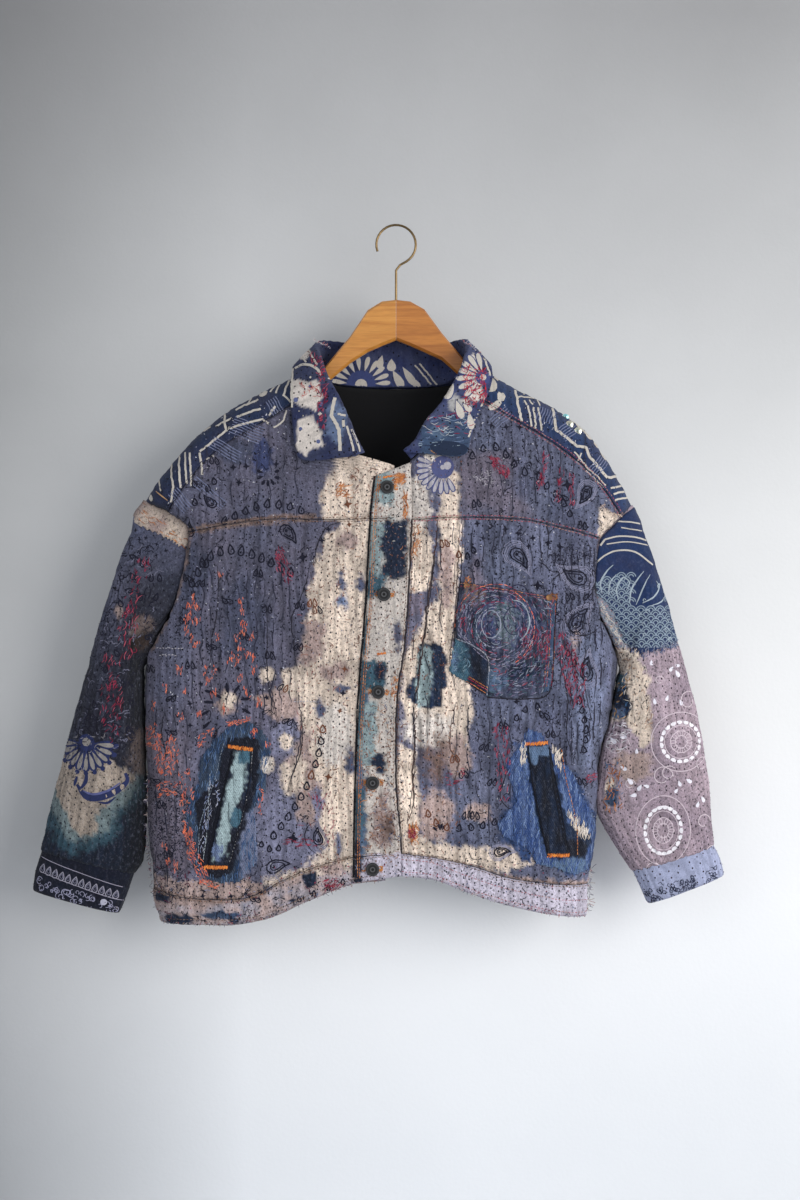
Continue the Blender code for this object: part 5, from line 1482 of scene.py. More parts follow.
lining_finish = cloth_finish("black_cotton", thread=1.3, bump=0.25, speck=0.0)
left, right, back = lining_grids(6.0)
line_with("lining_front_left", left, body_y, FRONT, 131)
line_with("lining_front_right", right, body_y, FRONT, 132)
line_with("lining_back", back, back_y, BACK, 133)
for side, rings in (("left", left_rings), ("right", right_rings)):
    grid = through_rings([ring[::3] for ring in rings[1:]], 9.0)
    grid = np.concatenate([grid, grid[:, :1]], axis=1)
    normals = tube_normals(grid)
    inner = grid - normals * (CLOTH + 0.6)
    keep = np.ones((grid.shape[0] - 1, grid.shape[1] - 1), bool)
    cut_piece("lining_sleeve_" + side, inner, -normals, keep, lining_colour(grid), lining_finish, 0.3)
    cloth_pieces["lining_sleeve_" + side]["flat"] = flat_of(inner)
print("pieces with the lining:", len(cloth_pieces))

# %% [markdown]
# ## Printed marks
# The bandana cloth is printed with teardrops, paisleys, stars and flowers in black, which turned
# rusty where the cloth was bleached. Each mark is a thin flat shape. Marks are drawn on the plane
# first and then laid down on the cloth by rays, so that they follow its puckers.

# %% Drawing marks
INK, RUST, BLUE_INK = (0.008, 0.008, 0.020), (0.150, 0.055, 0.030), (0.045, 0.060, 0.170)
WHITE_INK, PALE_INK, BONE_INK = (0.50, 0.50, 0.56), (0.27, 0.27, 0.38), (0.52, 0.48, 0.43)
MARK_STEP = 2.3                # a mark has a point at least this often, to follow the puckers
LEVEL = 0.2                    # from one level of marks to the next


def smoothed(points, steps=5, closed=False):
    """A finer line on a smooth curve through a few points."""
    line = np.array(points, float)
    line = np.concatenate([line[-1:], line, line[:2]]) if closed else longer(line)
    out = []
    for four in zip(line, line[1:], line[2:], line[3:]):
        out += between(*four, steps)
    return np.array(out if closed else out + [line[-2]])


def turned_to(points, x, z, degrees):
    """Moves a shape that was drawn round the origin to a place, turned anticlockwise."""
    a = math.radians(degrees)
    spin = np.array([[math.cos(a), math.sin(a)], [-math.sin(a), math.cos(a)]])
    return np.asarray(points) @ spin + np.array([x, z])


def shaky(points, size, seed, step=2.5):
    """The same line with more points, each a little off."""
    line = np.asarray(points, float)
    long = run_of(line)[-1]
    out = points_at(line, np.linspace(0, long, max(int(long / step), 2) + 1))
    return out + np.random.default_rng(seed).normal(0, size, out.shape)


def finer(points, closed):
    """The same line with points added wherever two are far apart."""
    line = np.asarray(points, float)
    if closed:
        line = np.concatenate([line, line[:1]])
    out = []
    for start, end in zip(line, line[1:]):
        parts = max(int(math.ceil(np.linalg.norm(end - start) / MARK_STEP)), 1)
        out += [start + (end - start) * k / parts for k in range(parts)]
    return np.array(out if closed else out + [line[-1]])


trims = {}                     # prints, stitches, threads and other pieces on the cloth


class Marks:
    """Flat marks that are laid on the cloth together as one piece. Those of a higher level cover
    those below, by a fifth of a millimetre each."""

    def __init__(self):
        self.points, self.faces, self.tints, self.levels = [], [], [], []
        self.level = 0

    def add(self, points, faces, tint):
        first = len(self.points)
        self.points += [tuple(point) for point in points]
        self.faces += [tuple(first + corner for corner in face) for face in faces]
        self.tints += [tint] * len(points)
        self.levels += [self.level] * len(points)

    def line(self, points, width, tint, closed=False, taper=False):
        """A stroke of some width along a line."""
        line = finer(points, closed)
        count = len(line)
        if closed:
            way = np.roll(line, -1, axis=0) - np.roll(line, 1, axis=0)
        else:
            way = np.gradient(line, axis=0)
        way /= np.maximum(np.linalg.norm(way, axis=1, keepdims=True), 1e-6)
        half = np.full(count, width / 2)
        if taper:
            half = half * (0.25 + 0.75 * np.sin(np.linspace(0.15, np.pi - 0.15, count)))
        side = np.stack([-way[:, 1], way[:, 0]], -1) * half[:, None]
        faces = []
        for i in range(count if closed else count - 1):
            j = (i + 1) % count
            faces += [(i, j, count + j), (i, count + j, count + i)]
        self.add(np.concatenate([line + side, line - side]), faces, tint)

    def blot(self, outline, tint):
        """A filled shape."""
        middle = np.mean(outline, axis=0)
        outline = finer(outline, True) - middle
        count = len(outline)
        rings = max(int(math.ceil(np.linalg.norm(outline, axis=1).max() / 3.0)), 1)
        points = np.concatenate([middle + outline * (1 - k / rings) for k in range(rings)] + [middle[None]])
        faces = []
        for i in range(count):
            j = (i + 1) % count
            for k in range(rings - 1):
                a, b = k * count, (k + 1) * count
                faces += [(a + i, a + j, b + j), (a + i, b + j, b + i)]
            faces.append(((rings - 1) * count + i, (rings - 1) * count + j, rings * count))
        self.add(points, faces, tint)

    def lay(self, name, skin, finish, lift=0.4):
        """Puts all the marks on the cloth as one mesh."""
        flat = np.array(self.points)
        places, normals, found = landed(skin, flat[:, 0], flat[:, 1])
        places = places + normals * (lift + LEVEL * np.array(self.levels))[:, None]
        faces = np.array(self.faces)
        corners, plane = places[faces], flat[faces]
        long_3d = np.linalg.norm(corners - np.roll(corners, 1, axis=1), axis=-1).max(axis=1)
        long_2d = np.linalg.norm(plane - np.roll(plane, 1, axis=1), axis=-1).max(axis=1)
        # a triangle that got much longer than it was drawn would hang across a gap
        faces = faces[found[faces].all(axis=1) & (long_3d < 1.8 * long_2d + 2.5)]
        ways = np.cross(places[faces[:, 1]] - places[faces[:, 0]], places[faces[:, 2]] - places[faces[:, 0]])
        wrong = ways[:, 1] > 0
        faces[wrong] = faces[wrong][:, ::-1]
        used, index = np.unique(faces, return_inverse=True)
        data = fast_mesh(name, places[used] * MM, index.reshape(faces.shape), np.array(self.tints)[used])
        trims[name] = link(name, data, finish)
        print(name, "has", len(faces), "triangles")


def teardrop(long, wide, bend=0.0):
    t = np.linspace(0, 2 * np.pi, 13)[:-1]
    x = wide / 2 * np.sin(t) * np.abs(np.sin(t / 2)) ** 1.2
    z = long / 2 * np.cos(t)
    return np.stack([x * 1.35 + bend * np.maximum(z, 0) ** 2 / long, z], -1)


def star(size, waist=0.30):
    """A star of four points. Its waist is how wide it is between them."""
    t = np.arange(8) * math.pi / 4 + math.pi / 2
    reach = np.where(np.arange(8) % 2 == 0, size / 2, size / 2 * waist)
    return np.stack([reach * np.cos(t), reach * np.sin(t)], -1)


def circle(radius, steps=14):
    t = np.arange(steps) * 2 * math.pi / steps
    return np.stack([radius * np.cos(t), radius * np.sin(t)], -1)


def arc(x, z, wide, high, a):
    """Points on an ellipse at the angles a."""
    return np.stack([x + wide * np.cos(a), z + high * np.sin(a)], -1)


def ink_at(x, z):
    """Black ink, or rusty ink where the cloth is bleached."""
    bleached = depth_inside(np.array([x]), np.array([z]), LEFT_BLEACH)[0] > -2 or 12 < x < 82
    return RUST if bleached and chance(int(x), int(z), 5) > 0.25 else INK


def ring_mark(marks, x, z, long, wide, degrees, tint=None, stroke=1.8):
    tint = tint or ink_at(x, z)
    marks.line(turned_to(teardrop(long, wide), x, z, degrees), stroke, tint, closed=True)
    if long > 8:
        marks.line(turned_to([(0, -long * 0.05), (0, -long * 0.28)], x, z, degrees), 0.9, tint)


def burst(marks, x, z, near, far, wide, angles, tint):
    """Filled petals round a middle."""
    away = (near + far) / 2
    for angle in angles:
        a = math.radians(angle)
        petal = turned_to(teardrop(far - near, wide), x + away * math.cos(a), z + away * math.sin(a),
                          angle + 90)
        marks.blot(petal, tint)


def paisley(marks, x, z, long, degrees, tint, stroke):
    """A bent teardrop with a smaller one and an eye in it."""
    for share, width in ((1.0, stroke), (0.62, stroke * 0.8)):
        shape = teardrop(long * share, long * 0.52 * share, bend=0.9)
        marks.line(turned_to(shape - (0, long * 0.06 * (1 - share)), x, z, degrees), width, tint,
                   closed=True)
    marks.blot(turned_to(circle(long * 0.07, 8) - (0, long * 0.2), x, z, degrees), tint)


print("a teardrop has", len(teardrop(9, 5)), "points")

# %% [markdown]
# ## The print of the fronts
# The teardrops stand in arcs round the paisleys, as on any bandana. The short tables below give
# each arc by the line that it follows, and the single marks by their places.

# %% Tables of the print
# the line of an arc, how many teardrops stand on it, their length and width
RING_ROWS = [
    ([(-213, -375), (-185, -362), (-161, -354), (-137, -356), (-118, -362)], 8, 9.5, 5.6),
    ([(-241, -427), (-225, -416), (-205, -411), (-180, -416), (-153, -428), (-131, -439)], 10, 10.5, 6),
    ([(-254, -452), (-246, -438), (-236, -428)], 3, 10, 5.5),
    ([(-152, -766), (-134, -743), (-112, -707), (-97, -668), (-91, -634)], 11, 9, 6),
    ([(-176, -770), (-160, -782), (-146, -782)], 4, 7, 4.5),
    ([(95, -294), (112, -284), (130, -285), (142, -300), (160, -314)], 6, 9, 5.5),
    ([(40, -739), (52, -752), (72, -757), (100, -755), (128, -748), (151, -740)], 9, 8.5, 5),
    ([(228, -598), (234, -620), (237, -640), (234, -660)], 6, 9, 5),
    ([(214, -540), (222, -552), (224, -566)], 3, 8, 4.5),
    ([(78, -417), (86, -424), (94, -408), (101, -428)], 4, 8, 4.5),
    ([(150, -620), (160, -610), (176, -606)], 3, 8, 4.5),
    ([(-120, -846), (-90, -834), (-66, -824)], 4, 6, 4),
    ([(178, -320), (190, -334), (206, -350), (216, -366)], 5, 8.5, 5),
    ([(-250, -352), (-238, -340), (-226, -326)], 4, 8, 5),
]
# pairs of teardrops: place and turn
PAIRS = [(-260, -447, 20), (-243, -454, -30), (-171, -440, -8), (-188, -519, 10), (-264, -500, 25),
         (-308, -559, 20), (-256, -555, 5), (-279, -597, -40), (-280, -638, 60), (-140, -583, -35),
         (-134, -625, -50), (-121, -533, -20), (-157, -543, 10), (-119, -481, -15), (-210, -475, 50),
         (-160, -486, 0), (-98, -486, 15), (-230, -531, 40), (-302, -700, 70), (-292, -730, 10),
         (-104, -477, 0), (-248, -330, 30), (-284, -790, 20), (-176, -846, 60), (134, -630, 20),
         (110, -657, -30), (73, -671, 10), (184, -617, 30), (88, -741, -8), (98, -742, 6),
         (100, -354, 10), (207, -346, 40), (232, -381, 0), (216, -470, 20), (240, -470, -30),
         (150, -765, 20), (84, -690, 12), (192, -640, 0), (60, -404, 20), (232, -700, 20),
         (120, -700, -20), (226, -728, 40), (-226, -300, 10), (250, -440, 30)]
STARS = [(176, -456, 9), (213, -331, 10), (248, -458, 7), (-202, -309, 6), (-186, -308, 6),
         (-149, -305, 6), (-195, -328, 6), (-116, -421, 9),
         (-220, -561, 5), (-196, -559, 5), (-173, -572, 5), (-161, -595, 5), (-243, -578, 5),
         (-256, -603, 5), (-256, -630, 5), (-128, -770, 10), (-240, -842, 5), (-222, -843, 5),
         (-205, -842, 5), (-186, -841, 5), (-168, -838, 5), (118, -257, 6), (137, -259, 6),
         (154, -259, 6), (101, -379, 6), (118, -382, 6), (136, -386, 6), (152, -391, 6), (170, -397, 6),
         (189, -403, 6), (204, -408, 6), (235, -419, 6), (108, -397, 5), (165, -407, 5),
         (-64, -560, 6), (-66, -590, 6), (-70, -612, 5), (-84, -694, 7), (-58, -380, 5), (150, -600, 6),
         (-92, -400, 6), (-84, -386, 5), (-60, -355, 8), (222, -428, 5), (-292, -760, 5)]
PAISLEYS = [(155, -421, 30, -128), (-132, -391, 28, -125), (-147, -803, 30, -62),
            (222, -446, 32, 78), (132, -786, 20, -70), (226, -498, 34, -20), (-98, -768, 22, 20),
            (-232, -352, 20, 60), (-258, -386, 18, 20), (236, -560, 30, 12), (-290, -430, 20, 20),
            (236, -344, 24, 165)]
# thin dark lines where layers were joined
SEAM_LINES = [
    [(-102, -414), (-108, -432), (-110, -447), (-120, -476), (-130, -497), (-127, -530), (-125, -550),
     (-120, -565)],
    [(-117, -618), (-116, -640), (-119, -666), (-128, -690), (-136, -714)],
    [(-161, -480), (-160, -520), (-160, -556), (-157, -590), (-148, -624)],
    [(-222, -430), (-221, -470), (-224, -500), (-230, -530), (-232, -560)],
    [(-66, -376), (-86, -384), (-97, -404), (-100, -424), (-94, -430)],
    [(-98, -748), (-110, -756), (-113, -770), (-106, -784), (-94, -792)],
    [(-196, -846), (-186, -838), (-180, -828)], [(-300, -812), (-284, -806), (-276, -794)],
    [(191, -454), (200, -444), (215, -437), (230, -438), (240, -450)],
    [(212, -496), (219, -514), (237, -518), (256, -506)], [(213, -480), (211, -500), (222, -520)],
    [(176, -420), (190, -436), (200, -440)], [(186, -372), (190, -396), (188, -420)],
    [(52, -374), (49, -411), (45, -450), (37, -507), (31, -534), (26, -584), (21, -614), (24, -664),
     (21, -704), (14, -752)],
    [(82, -374), (82, -411), (80, -450), (74, -500), (67, -547), (72, -580)],
    [(128, -660), (136, -690), (130, -720), (150, -738), (172, -740)],
    [(206, -520), (208, -560), (214, -600), (212, -640), (220, -670)],
    [(240, -530), (232, -560), (238, -600), (246, -630)], [(-288, -612), (-292, -640), (-286, -668)],
]
print("marks in the tables:", sum(row[1] for row in RING_ROWS) + 2 * len(PAIRS) + len(STARS))


# %% Print of the fronts
ink_finish = cloth_finish("printing_ink", thread=1.0, bump=0.3, speck=0.0)
draw = random.Random(4)
front_print_and_fold_shade = Marks()
for line, count, long, wide in RING_ROWS:
    path = smoothed(line, 12)
    for x, z in points_at(path, np.linspace(0, run_of(path)[-1], count)).tolist():
        ring_mark(front_print_and_fold_shade, x, z, long * draw.uniform(1.0, 1.25), wide * 1.2, draw.uniform(-16, 16))
for x, z, turn in PAIRS:
    for side in (-1, 1):
        ring_mark(front_print_and_fold_shade, x + 3.1 * side, z + draw.uniform(-1, 1), 10, 4.6, turn + 9 * side,
                  stroke=1.5)
for x, z, size in STARS:
    front_print_and_fold_shade.blot(turned_to(star(size * 1.55, waist=0.4), x, z, draw.uniform(-12, 12)), ink_at(x, z))
for x, z, long, turn in PAISLEYS:
    paisley(front_print_and_fold_shade, x, z, long, turn, ink_at(x, z), 1.7)
    for ring in (1.25, 1.45, 1.65):
        front_print_and_fold_shade.line(turned_to(teardrop(long * ring, long * 0.62 * ring, 0.9), x, z, turn), 0.7,
                         PALE_INK if x > 0 else (0.15, 0.15, 0.22), closed=True)
front_print_and_fold_shade.level = 1
for x, z, angle in ((-233, -601, 177), (-238, -615, 208), (-236, -630, 225), (-224, -641, 250),
                    (-222, -593, 150), (-210, -583, 95), (-198, -585, 54), (-187, -597, 6),
                    (-186, -612, -30), (-232, -588, 168)):
    front_print_and_fold_shade.blot(turned_to(circle(1, 10) * (6.5, 1.9), x, z, angle), INK)
front_print_and_fold_shade.level = 0
burst(front_print_and_fold_shade, -159, -318, 6, 15, 4, (160, 200, 240, 270, 300, 340, 20), INK)
burst(front_print_and_fold_shade, 55, -764, 4, 12, 3, (100, 60, 140, 80), INK)
for line in SEAM_LINES:
    front_print_and_fold_shade.line(shaky(smoothed(line, 6), 0.35, len(line), 4.0), 1.15, (0.014, 0.012, 0.020), taper=True)
print("points drawn:", len(front_print_and_fold_shade.points))


# %% Small scribbles between the marks
def scribble(marks, x, z, size, tint, stroke):
    """A short wandering stroke of machine stitching."""
    turn = draw.uniform(0, 6.28)
    path = [(x, z)]
    for _ in range(draw.randint(3, 6)):
        turn += draw.uniform(-1.3, 1.3)
        path.append((path[-1][0] + size * math.cos(turn), path[-1][1] + size * math.sin(turn)))
    marks.line(smoothed(path, 3), stroke, tint)


def scattered(count, low, high, allowed):
    """Random places in a box where a test holds."""
    out = []
    while len(out) < count:
        x, z = draw.uniform(low[0], high[0]), draw.uniform(high[1], low[1])
        if allowed(x, z):
            out.append((x, z))
    return out


def off_bleach(x, z):
    return depth_inside(np.array([x]), np.array([z]), LEFT_BLEACH)[0] < -4 and not -52 < x < 84


for x, z in scattered(430, (-310, -845), (262, -250), off_bleach):
    rough = noise(x / 60, z / 60, 201) > 0.05
    scribble(front_print_and_fold_shade, x, z, 2.6 if rough else 1.8, INK, 0.9 if rough else 0.7)
for x, z in scattered(150, (-120, -800), (90, -300), lambda x, z: not off_bleach(x, z)):
    scribble(front_print_and_fold_shade, x, z, 1.8, draw.choice([RUST, RUST, INK, (0.30, 0.14, 0.10)]), 0.7)
for x, z in scattered(160, (-40, -800), (20, -600), lambda x, z: -38 < x < 8):
    scribble(front_print_and_fold_shade, x, z, 1.4, draw.choice([RUST, (0.34, 0.15, 0.07), (0.09, 0.12, 0.2)]), 0.6)
for x, z in scattered(150, (-310, -880), (-40, -800), lambda x, z: True):
    scribble(front_print_and_fold_shade, x, z, 1.8, draw.choice([INK, INK, (0.12, 0.02, 0.05), PALE_INK]), 0.8)


def flecked(marks, count, low, high, allowed, tints, seed, rough=0.4):
    """Tiny strokes of ink, closer together where noise says that the print is dense."""
    dice = np.random.default_rng(seed)
    x, z = dice.uniform(low[0], high[0], 3 * count), dice.uniform(low[1], high[1], 3 * count)
    kept = allowed(x, z) & (noise(x / 24, z / 24, 205) > dice.uniform(-0.8, rough, 3 * count))
    for at_x, at_z in zip(x[kept][:count], z[kept][:count]):
        a, half = dice.uniform(0, math.pi), dice.uniform(0.6, 1.9)
        along = np.array([math.cos(a), math.sin(a)])
        side = np.array([-along[1], along[0]]) * dice.uniform(0.35, 0.8)
        at = np.array([at_x, at_z])
        corners = [at + along * half, at + side, at - along * half, at - side]
        marks.add(corners, [(0, 1, 2), (0, 2, 3)], tints[dice.integers(len(tints))])


def fold_shadows(marks, x_low, x_high, z_top, z_foot, step, seed, width):
    """Painted shadow: dark broken lines down the deepest folds."""
    dice = np.random.default_rng(seed)
    for x in np.arange(x_low, x_high, step):
        z = z_top - dice.uniform(0, 20)
        while z > z_foot:
            down = np.arange(0, dice.uniform(18, 60), 3.5)
            sway = 4.0 * noise(x / 20 + 0 * down, (z - down) / 24, seed)
            sway = sway + 1.5 * noise(x / 9 + 0 * down, (z - down) / 9, seed + 1)
            marks.line(np.stack([x + sway, z - down], -1), width * dice.uniform(0.6, 1.5),
                       (0.026, 0.026, 0.046), taper=True)
            z -= down[-1] + dice.uniform(4, 24)


def off_cream(x, z):
    return (depth_inside(x, z, LEFT_BLEACH) < -3) & ((x < -52) | (x > 86))


DARK_FLECKS = [INK, INK, INK, (0.03, 0.03, 0.06)]
flecked(front_print_and_fold_shade, 2100, (-312, -845), (264, -225), off_cream, DARK_FLECKS, 1)
flecked(front_print_and_fold_shade, 1100, (-312, -845), (264, -225), off_cream, [PALE_INK, (0.22, 0.23, 0.33), WHITE_INK], 2)
flecked(front_print_and_fold_shade, 900, (-130, -815), (86, -230), lambda x, z: ~off_cream(x, z),
        [(0.20, 0.11, 0.09), (0.10, 0.07, 0.08), (0.16, 0.17, 0.26), (0.34, 0.19, 0.13)], 3)
flecked(front_print_and_fold_shade, 900, (-312, -850), (-262, -700), off_cream, DARK_FLECKS, 4, 0.0)
flecked(front_print_and_fold_shade, 700, (-312, -880), (244, -790), lambda x, z: z < -800, DARK_FLECKS + [
    (0.30, 0.04, 0.08), (0.10, 0.14, 0.25)], 5, 0.2)
flecked(front_print_and_fold_shade, 700, (190, -520), (256, -400), off_cream, DARK_FLECKS, 6, 0.1)
# painted shadows where the folds are deep: left and right, top and foot, step between folds, seed, width of a
# line
FOLD_REGIONS = [
    (196, 262, -396, -660, 7.5, 31, 1.5), (96, 190, -378, -446, 12, 32, 1.1),
    (90, 165, -600, -720, 13, 33, 1.2), (-252, -126, -432, -592, 11, 34, 1.2),
    (-300, -250, -600, -810, 13, 35, 1.2), (-236, -112, -280, -368, 16, 36, 1.0),
    (100, 240, -260, -372, 15, 37, 1.0), (22, 84, -380, -640, 17, 38, 0.9),
]
for region in FOLD_REGIONS:
    fold_shadows(front_print_and_fold_shade, *region)
# painted shadows in the creases along the pleats: width, colour and line
CREASE_SHADOWS = [
    (2.2, (0.050, 0.034, 0.036), [(52, -373), (48, -419), (40, -473), (36, -514), (29, -564),
                                  (26, -600)]),
    (1.8, (0.060, 0.036, 0.034), [(23, -607), (23, -657), (21, -690), (22, -727), (13, -752)]),
    (1.2, (0.080, 0.050, 0.045), [(79, -380), (78, -420), (75, -470), (71, -514)]),
    (1.5, (0.090, 0.055, 0.050), [(69, -621), (67, -657), (77, -677), (71, -706)]),
    (1.4, (0.040, 0.034, 0.050), [(-122, -590), (-118, -620), (-119, -650), (-128, -690),
                                  (-134, -712)]),
    (1.2, (0.050, 0.036, 0.046), [(-158, -574), (-152, -600), (-146, -626)]),
]
for width, tint, line in CREASE_SHADOWS:
    front_print_and_fold_shade.line(shaky(smoothed(line, 8), 0.5, int(-line[0][1]), 4.0), width, tint, taper=True)
# The print is laid as one piece together with the painted fold and crease shadows.
front_print_and_fold_shade.lay("print_front", front_skin, ink_finish)

# %% [markdown]
# ## Quilting stitches
# The layers are held together by thousands of tiny running stitches, of which only a dark knot
# shows at each place where the thread comes up. They sit where the puckers are drawn down, so
# their places come from the same two formulas, read off the grid of each piece.


# %% Knots of thread
KNOT_WIDE, KNOT_LONG, KNOT_HIGH, KNOT_LIFT = 2.3, 2.7, 0.5, 0.05
MISSED = 0.06                  # share of the stitches that have worn away


def knots(name, places, normals, tints):
    """A small dome at each place: five points in a ring and one on top."""
    side = np.cross(normals, (0, 0, 1.0))
    side /= np.linalg.norm(side, axis=1, keepdims=True)
    down = np.cross(normals, side)
    a = np.arange(5) * 2 * np.pi / 5
    ring = (places[:, None] + side[:, None] * (np.cos(a) * KNOT_WIDE / 2)[None, :, None]
            + down[:, None] * (np.sin(a) * KNOT_LONG / 2)[None, :, None] + normals[:, None] * KNOT_LIFT)
    points = np.concatenate([ring, places[:, None] + normals[:, None] * (KNOT_LIFT + KNOT_HIGH)], axis=1)
    first = np.arange(len(places))[:, None, None] * 6
    fan = np.array([(k, (k + 1) % 5, 5) for k in range(5)])[None]
    facing = np.cross(ring[:, 1] - ring[:, 0], ring[:, 2] - ring[:, 0])
    fan = np.where(((facing * normals).sum(axis=1) < 0)[:, None, None], fan[:, :, ::-1], fan)
    data = fast_mesh(name, points.reshape(-1, 3) * MM, (first + fan).reshape(-1, 3),
                     np.repeat(tints, 6, axis=0))
    trims[name] = link(name, data, thread_finish)


def stitch_cells(u, v):
    """The cells of a grid where both a column and a row of stitches pass."""
    column = np.floor(column_of(u, v) + 0.5)
    row = np.floor(row_of(u, v, column))
    return (column[:-1, 1:] != column[:-1, :-1]) & (row[1:, :-1] != row[:-1, :-1])


def pale_at(x, z):
    """Where the front is bleached, and its stitches look brown."""
    return (depth_inside(x, z, LEFT_BLEACH) > -3) | ((x > -50) & (x < 82) & (z < -300) & (z > -790))


def stitch_piece(name, u=None, v=None, ink=(0.005, 0.005, 0.013)):
    """Stitches over a whole piece."""
    piece = cloth_pieces[name]
    places, normals = piece["places"], piece["normals"]
    u = places[..., 0] if u is None else u
    v = places[..., 2] if v is None else v
    rows, columns = np.nonzero(stitch_cells(u, v))
    dice = np.random.default_rng(len(name) + rows.size)
    kept = dice.random(rows.size) > MISSED
    rows, columns = rows[kept], columns[kept]
    at = (places[rows, columns] + places[rows + 1, columns + 1]) / 2
    at = at + dice.uniform(-0.5, 0.5, at.shape) * (1, 0, 1)
    tints = np.tile(ink, (len(at), 1)) * dice.uniform(0.4, 1.3, (len(at), 1))
    if name in FRONT_NAMES:
        brown = pale_at(at[:, 0], at[:, 2]) & (dice.random(len(at)) < 0.55)
        tints[brown] = np.array((0.13, 0.060, 0.050)) * dice.uniform(0.5, 1.4, (brown.sum(), 1))
    knots("stitches_" + name, at, normals[rows, columns], tints)
    return len(at)


thread_finish = cloth_finish("quilting_thread", thread=1.2, bump=0.3, speck=0.1)
total = 0
for name in FRONT_NAMES + ["back_yoke", "back_panel", "waistband_back"]:
    total += stitch_piece(name)
for name in ("sleeve_left", "sleeve_right", "cuff_left", "cuff_right"):
    grid = cloth_pieces[name]["places"]
    across = np.linalg.norm(np.diff(grid, axis=1), axis=-1).mean() * np.arange(grid.shape[1])[None, :]
    total += stitch_piece(name, across + 0 * grid[..., 0], -grid[..., 2],
                          (0.035, 0.022, 0.035) if "right" in name else (0.008, 0.008, 0.020))
total += stitch_piece("collar", u, v)
print("quilting stitches:", total)

# %% [markdown]
# ## Bold white prints on indigo
# Shoulders and collar are cut from indigo cloth with a white lattice and with chrysanthemums,
# both old patterns. The lattice is drawn as thick lines, and a flower as a fan of long petals.

# %% Lattice of the shoulders
# lines on each shoulder: width and points
LATTICE = [
    (3.4, [(-216, -236), (-211, -263)]), (2.8, [(-229, -249), (-205, -234)]),
    (2.8, [(-225, -257), (-204, -247)]), (3.2, [(-201, -236), (-172, -224)]),
    (3.2, [(-198, -246), (-168, -236)]), (3.0, [(-222, -272), (-207, -260), (-167, -249), (-158, -254)]),
    (3.0, [(-244, -290), (-223, -273)]), (3.2, [(-244, -291), (-240, -318)]),
    (3.0, [(-256, -273), (-231, -256)]), (3.0, [(-271, -291), (-268, -334)]),
    (2.8, [(-263, -289), (-260, -330)]), (2.8, [(-257, -291), (-254, -332)]),
    (3.0, [(-282, -302), (-277, -333), (-280, -352)]), (2.6, [(-158, -213), (-150, -203)]),
    (2.6, [(-150, -216), (-146, -203)]), (3.0, [(-140, -220), (-134, -199)]),
    (2.6, [(-139, -220), (-131, -228)]), (3.0, [(-158, -245), (-150, -233)]),
    (2.4, [(-186, -229), (-176, -211)]), (2.6, [(-299, -320), (-293, -338)]),
    (2.4, [(-152, -260), (-140, -252), (-136, -238)]), (2.4, [(-236, -300), (-226, -294)]),
    (3.6, [(148, -204), (151, -226), (156, -252)]), (2.6, [(164, -232), (169, -258)]),
    (2.6, [(171, -234), (174, -261)]), (2.6, [(177, -234), (181, -263)]),
    (2.4, [(153, -220), (179, -221)]), (2.2, [(177, -223), (180, -232)]), (2.2, [(158, -211), (161, -217)]),
    (2.4, [(160, -225), (163, -231)]), (2.4, [(166, -224), (171, -231)]),
    (3.8, [(195, -226), (199, -262), (207, -268), (226, -283), (237, -284), (240, -295), (263, -322),
           (280, -318)]),
    (2.8, [(267, -335), (286, -330)]), (2.8, [(271, -342), (290, -337)]), (2.6, [(273, -349), (293, -345)]),
    (2.2, [(222, -290), (233, -303), (240, -312)]), (2.0, [(231, -291), (225, -303)]),
    (1.8, [(236, -313), (247, -322), (258, -334)]), (1.8, [(239, -311), (250, -320), (261, -331)]),
]
WHITE_SPOTS = [(118, -206, 8, 11, 10), (123, -232, 9, 4.5, 30), (131, -221, 5, 6, 0),
               (127, -194, 5, 4, 0), (222, -246, 5, 9, 42), (232, -256, 5, 9, 40), (241, -266, 4, 8, 30),
               (262, -293, 4, 10, 40), (251, -279, 3, 6, 38), (188, -222, 3, 3, 0),
               (-166, -216, 4, 6, -60), (-312, -330, 4, 7, -20), (-308, -346, 3, 5, 30)]


PALE_BONE = (0.40, 0.38, 0.42)
bold = Marks()
for number, (width, points) in enumerate(LATTICE):
    bold.line(shaky(points, 0.35, number, 3.0), width * 0.86, BONE_INK)
for number, (x, z, wide, high, turn) in enumerate(WHITE_SPOTS):
    shape = circle(1, 12) * (wide, high) * (1 + 0.12 * np.random.default_rng(number).normal(0, 1, (12, 1)))
    bold.blot(turned_to(shape, x, z, turn), BONE_INK)


# fine engraved lines fill the ground between the lattice lines
def engraved(marks, x, z, wide, high, angle, step, tint):
    for away in np.arange(-high / 2, high / 2, step):
        line = turned_to([(-wide / 2, away), (-wide / 6, away + 0.5), (wide / 6, away - 0.5),
                          (wide / 2, away)], x, z, angle)
        marks.line(line, 1.1, tint)


ENGRAVED = [(-185, -262, 40, 22, 22), (-232, -340, 50, 12, 40), (-150, -232, 20, 16, 60),
            (-268, -350, 30, 14, 50), (130, -246, 26, 16, -40), (186, -244, 18, 22, -70),
            (214, -262, 24, 18, -40), (250, -308, 30, 16, -50), (-212, -286, 40, 16, 30)]
for x, z, wide, high, angle in ENGRAVED:
    engraved(bold, x, z, wide, high, -angle, 3.4, (0.16, 0.18, 0.29))


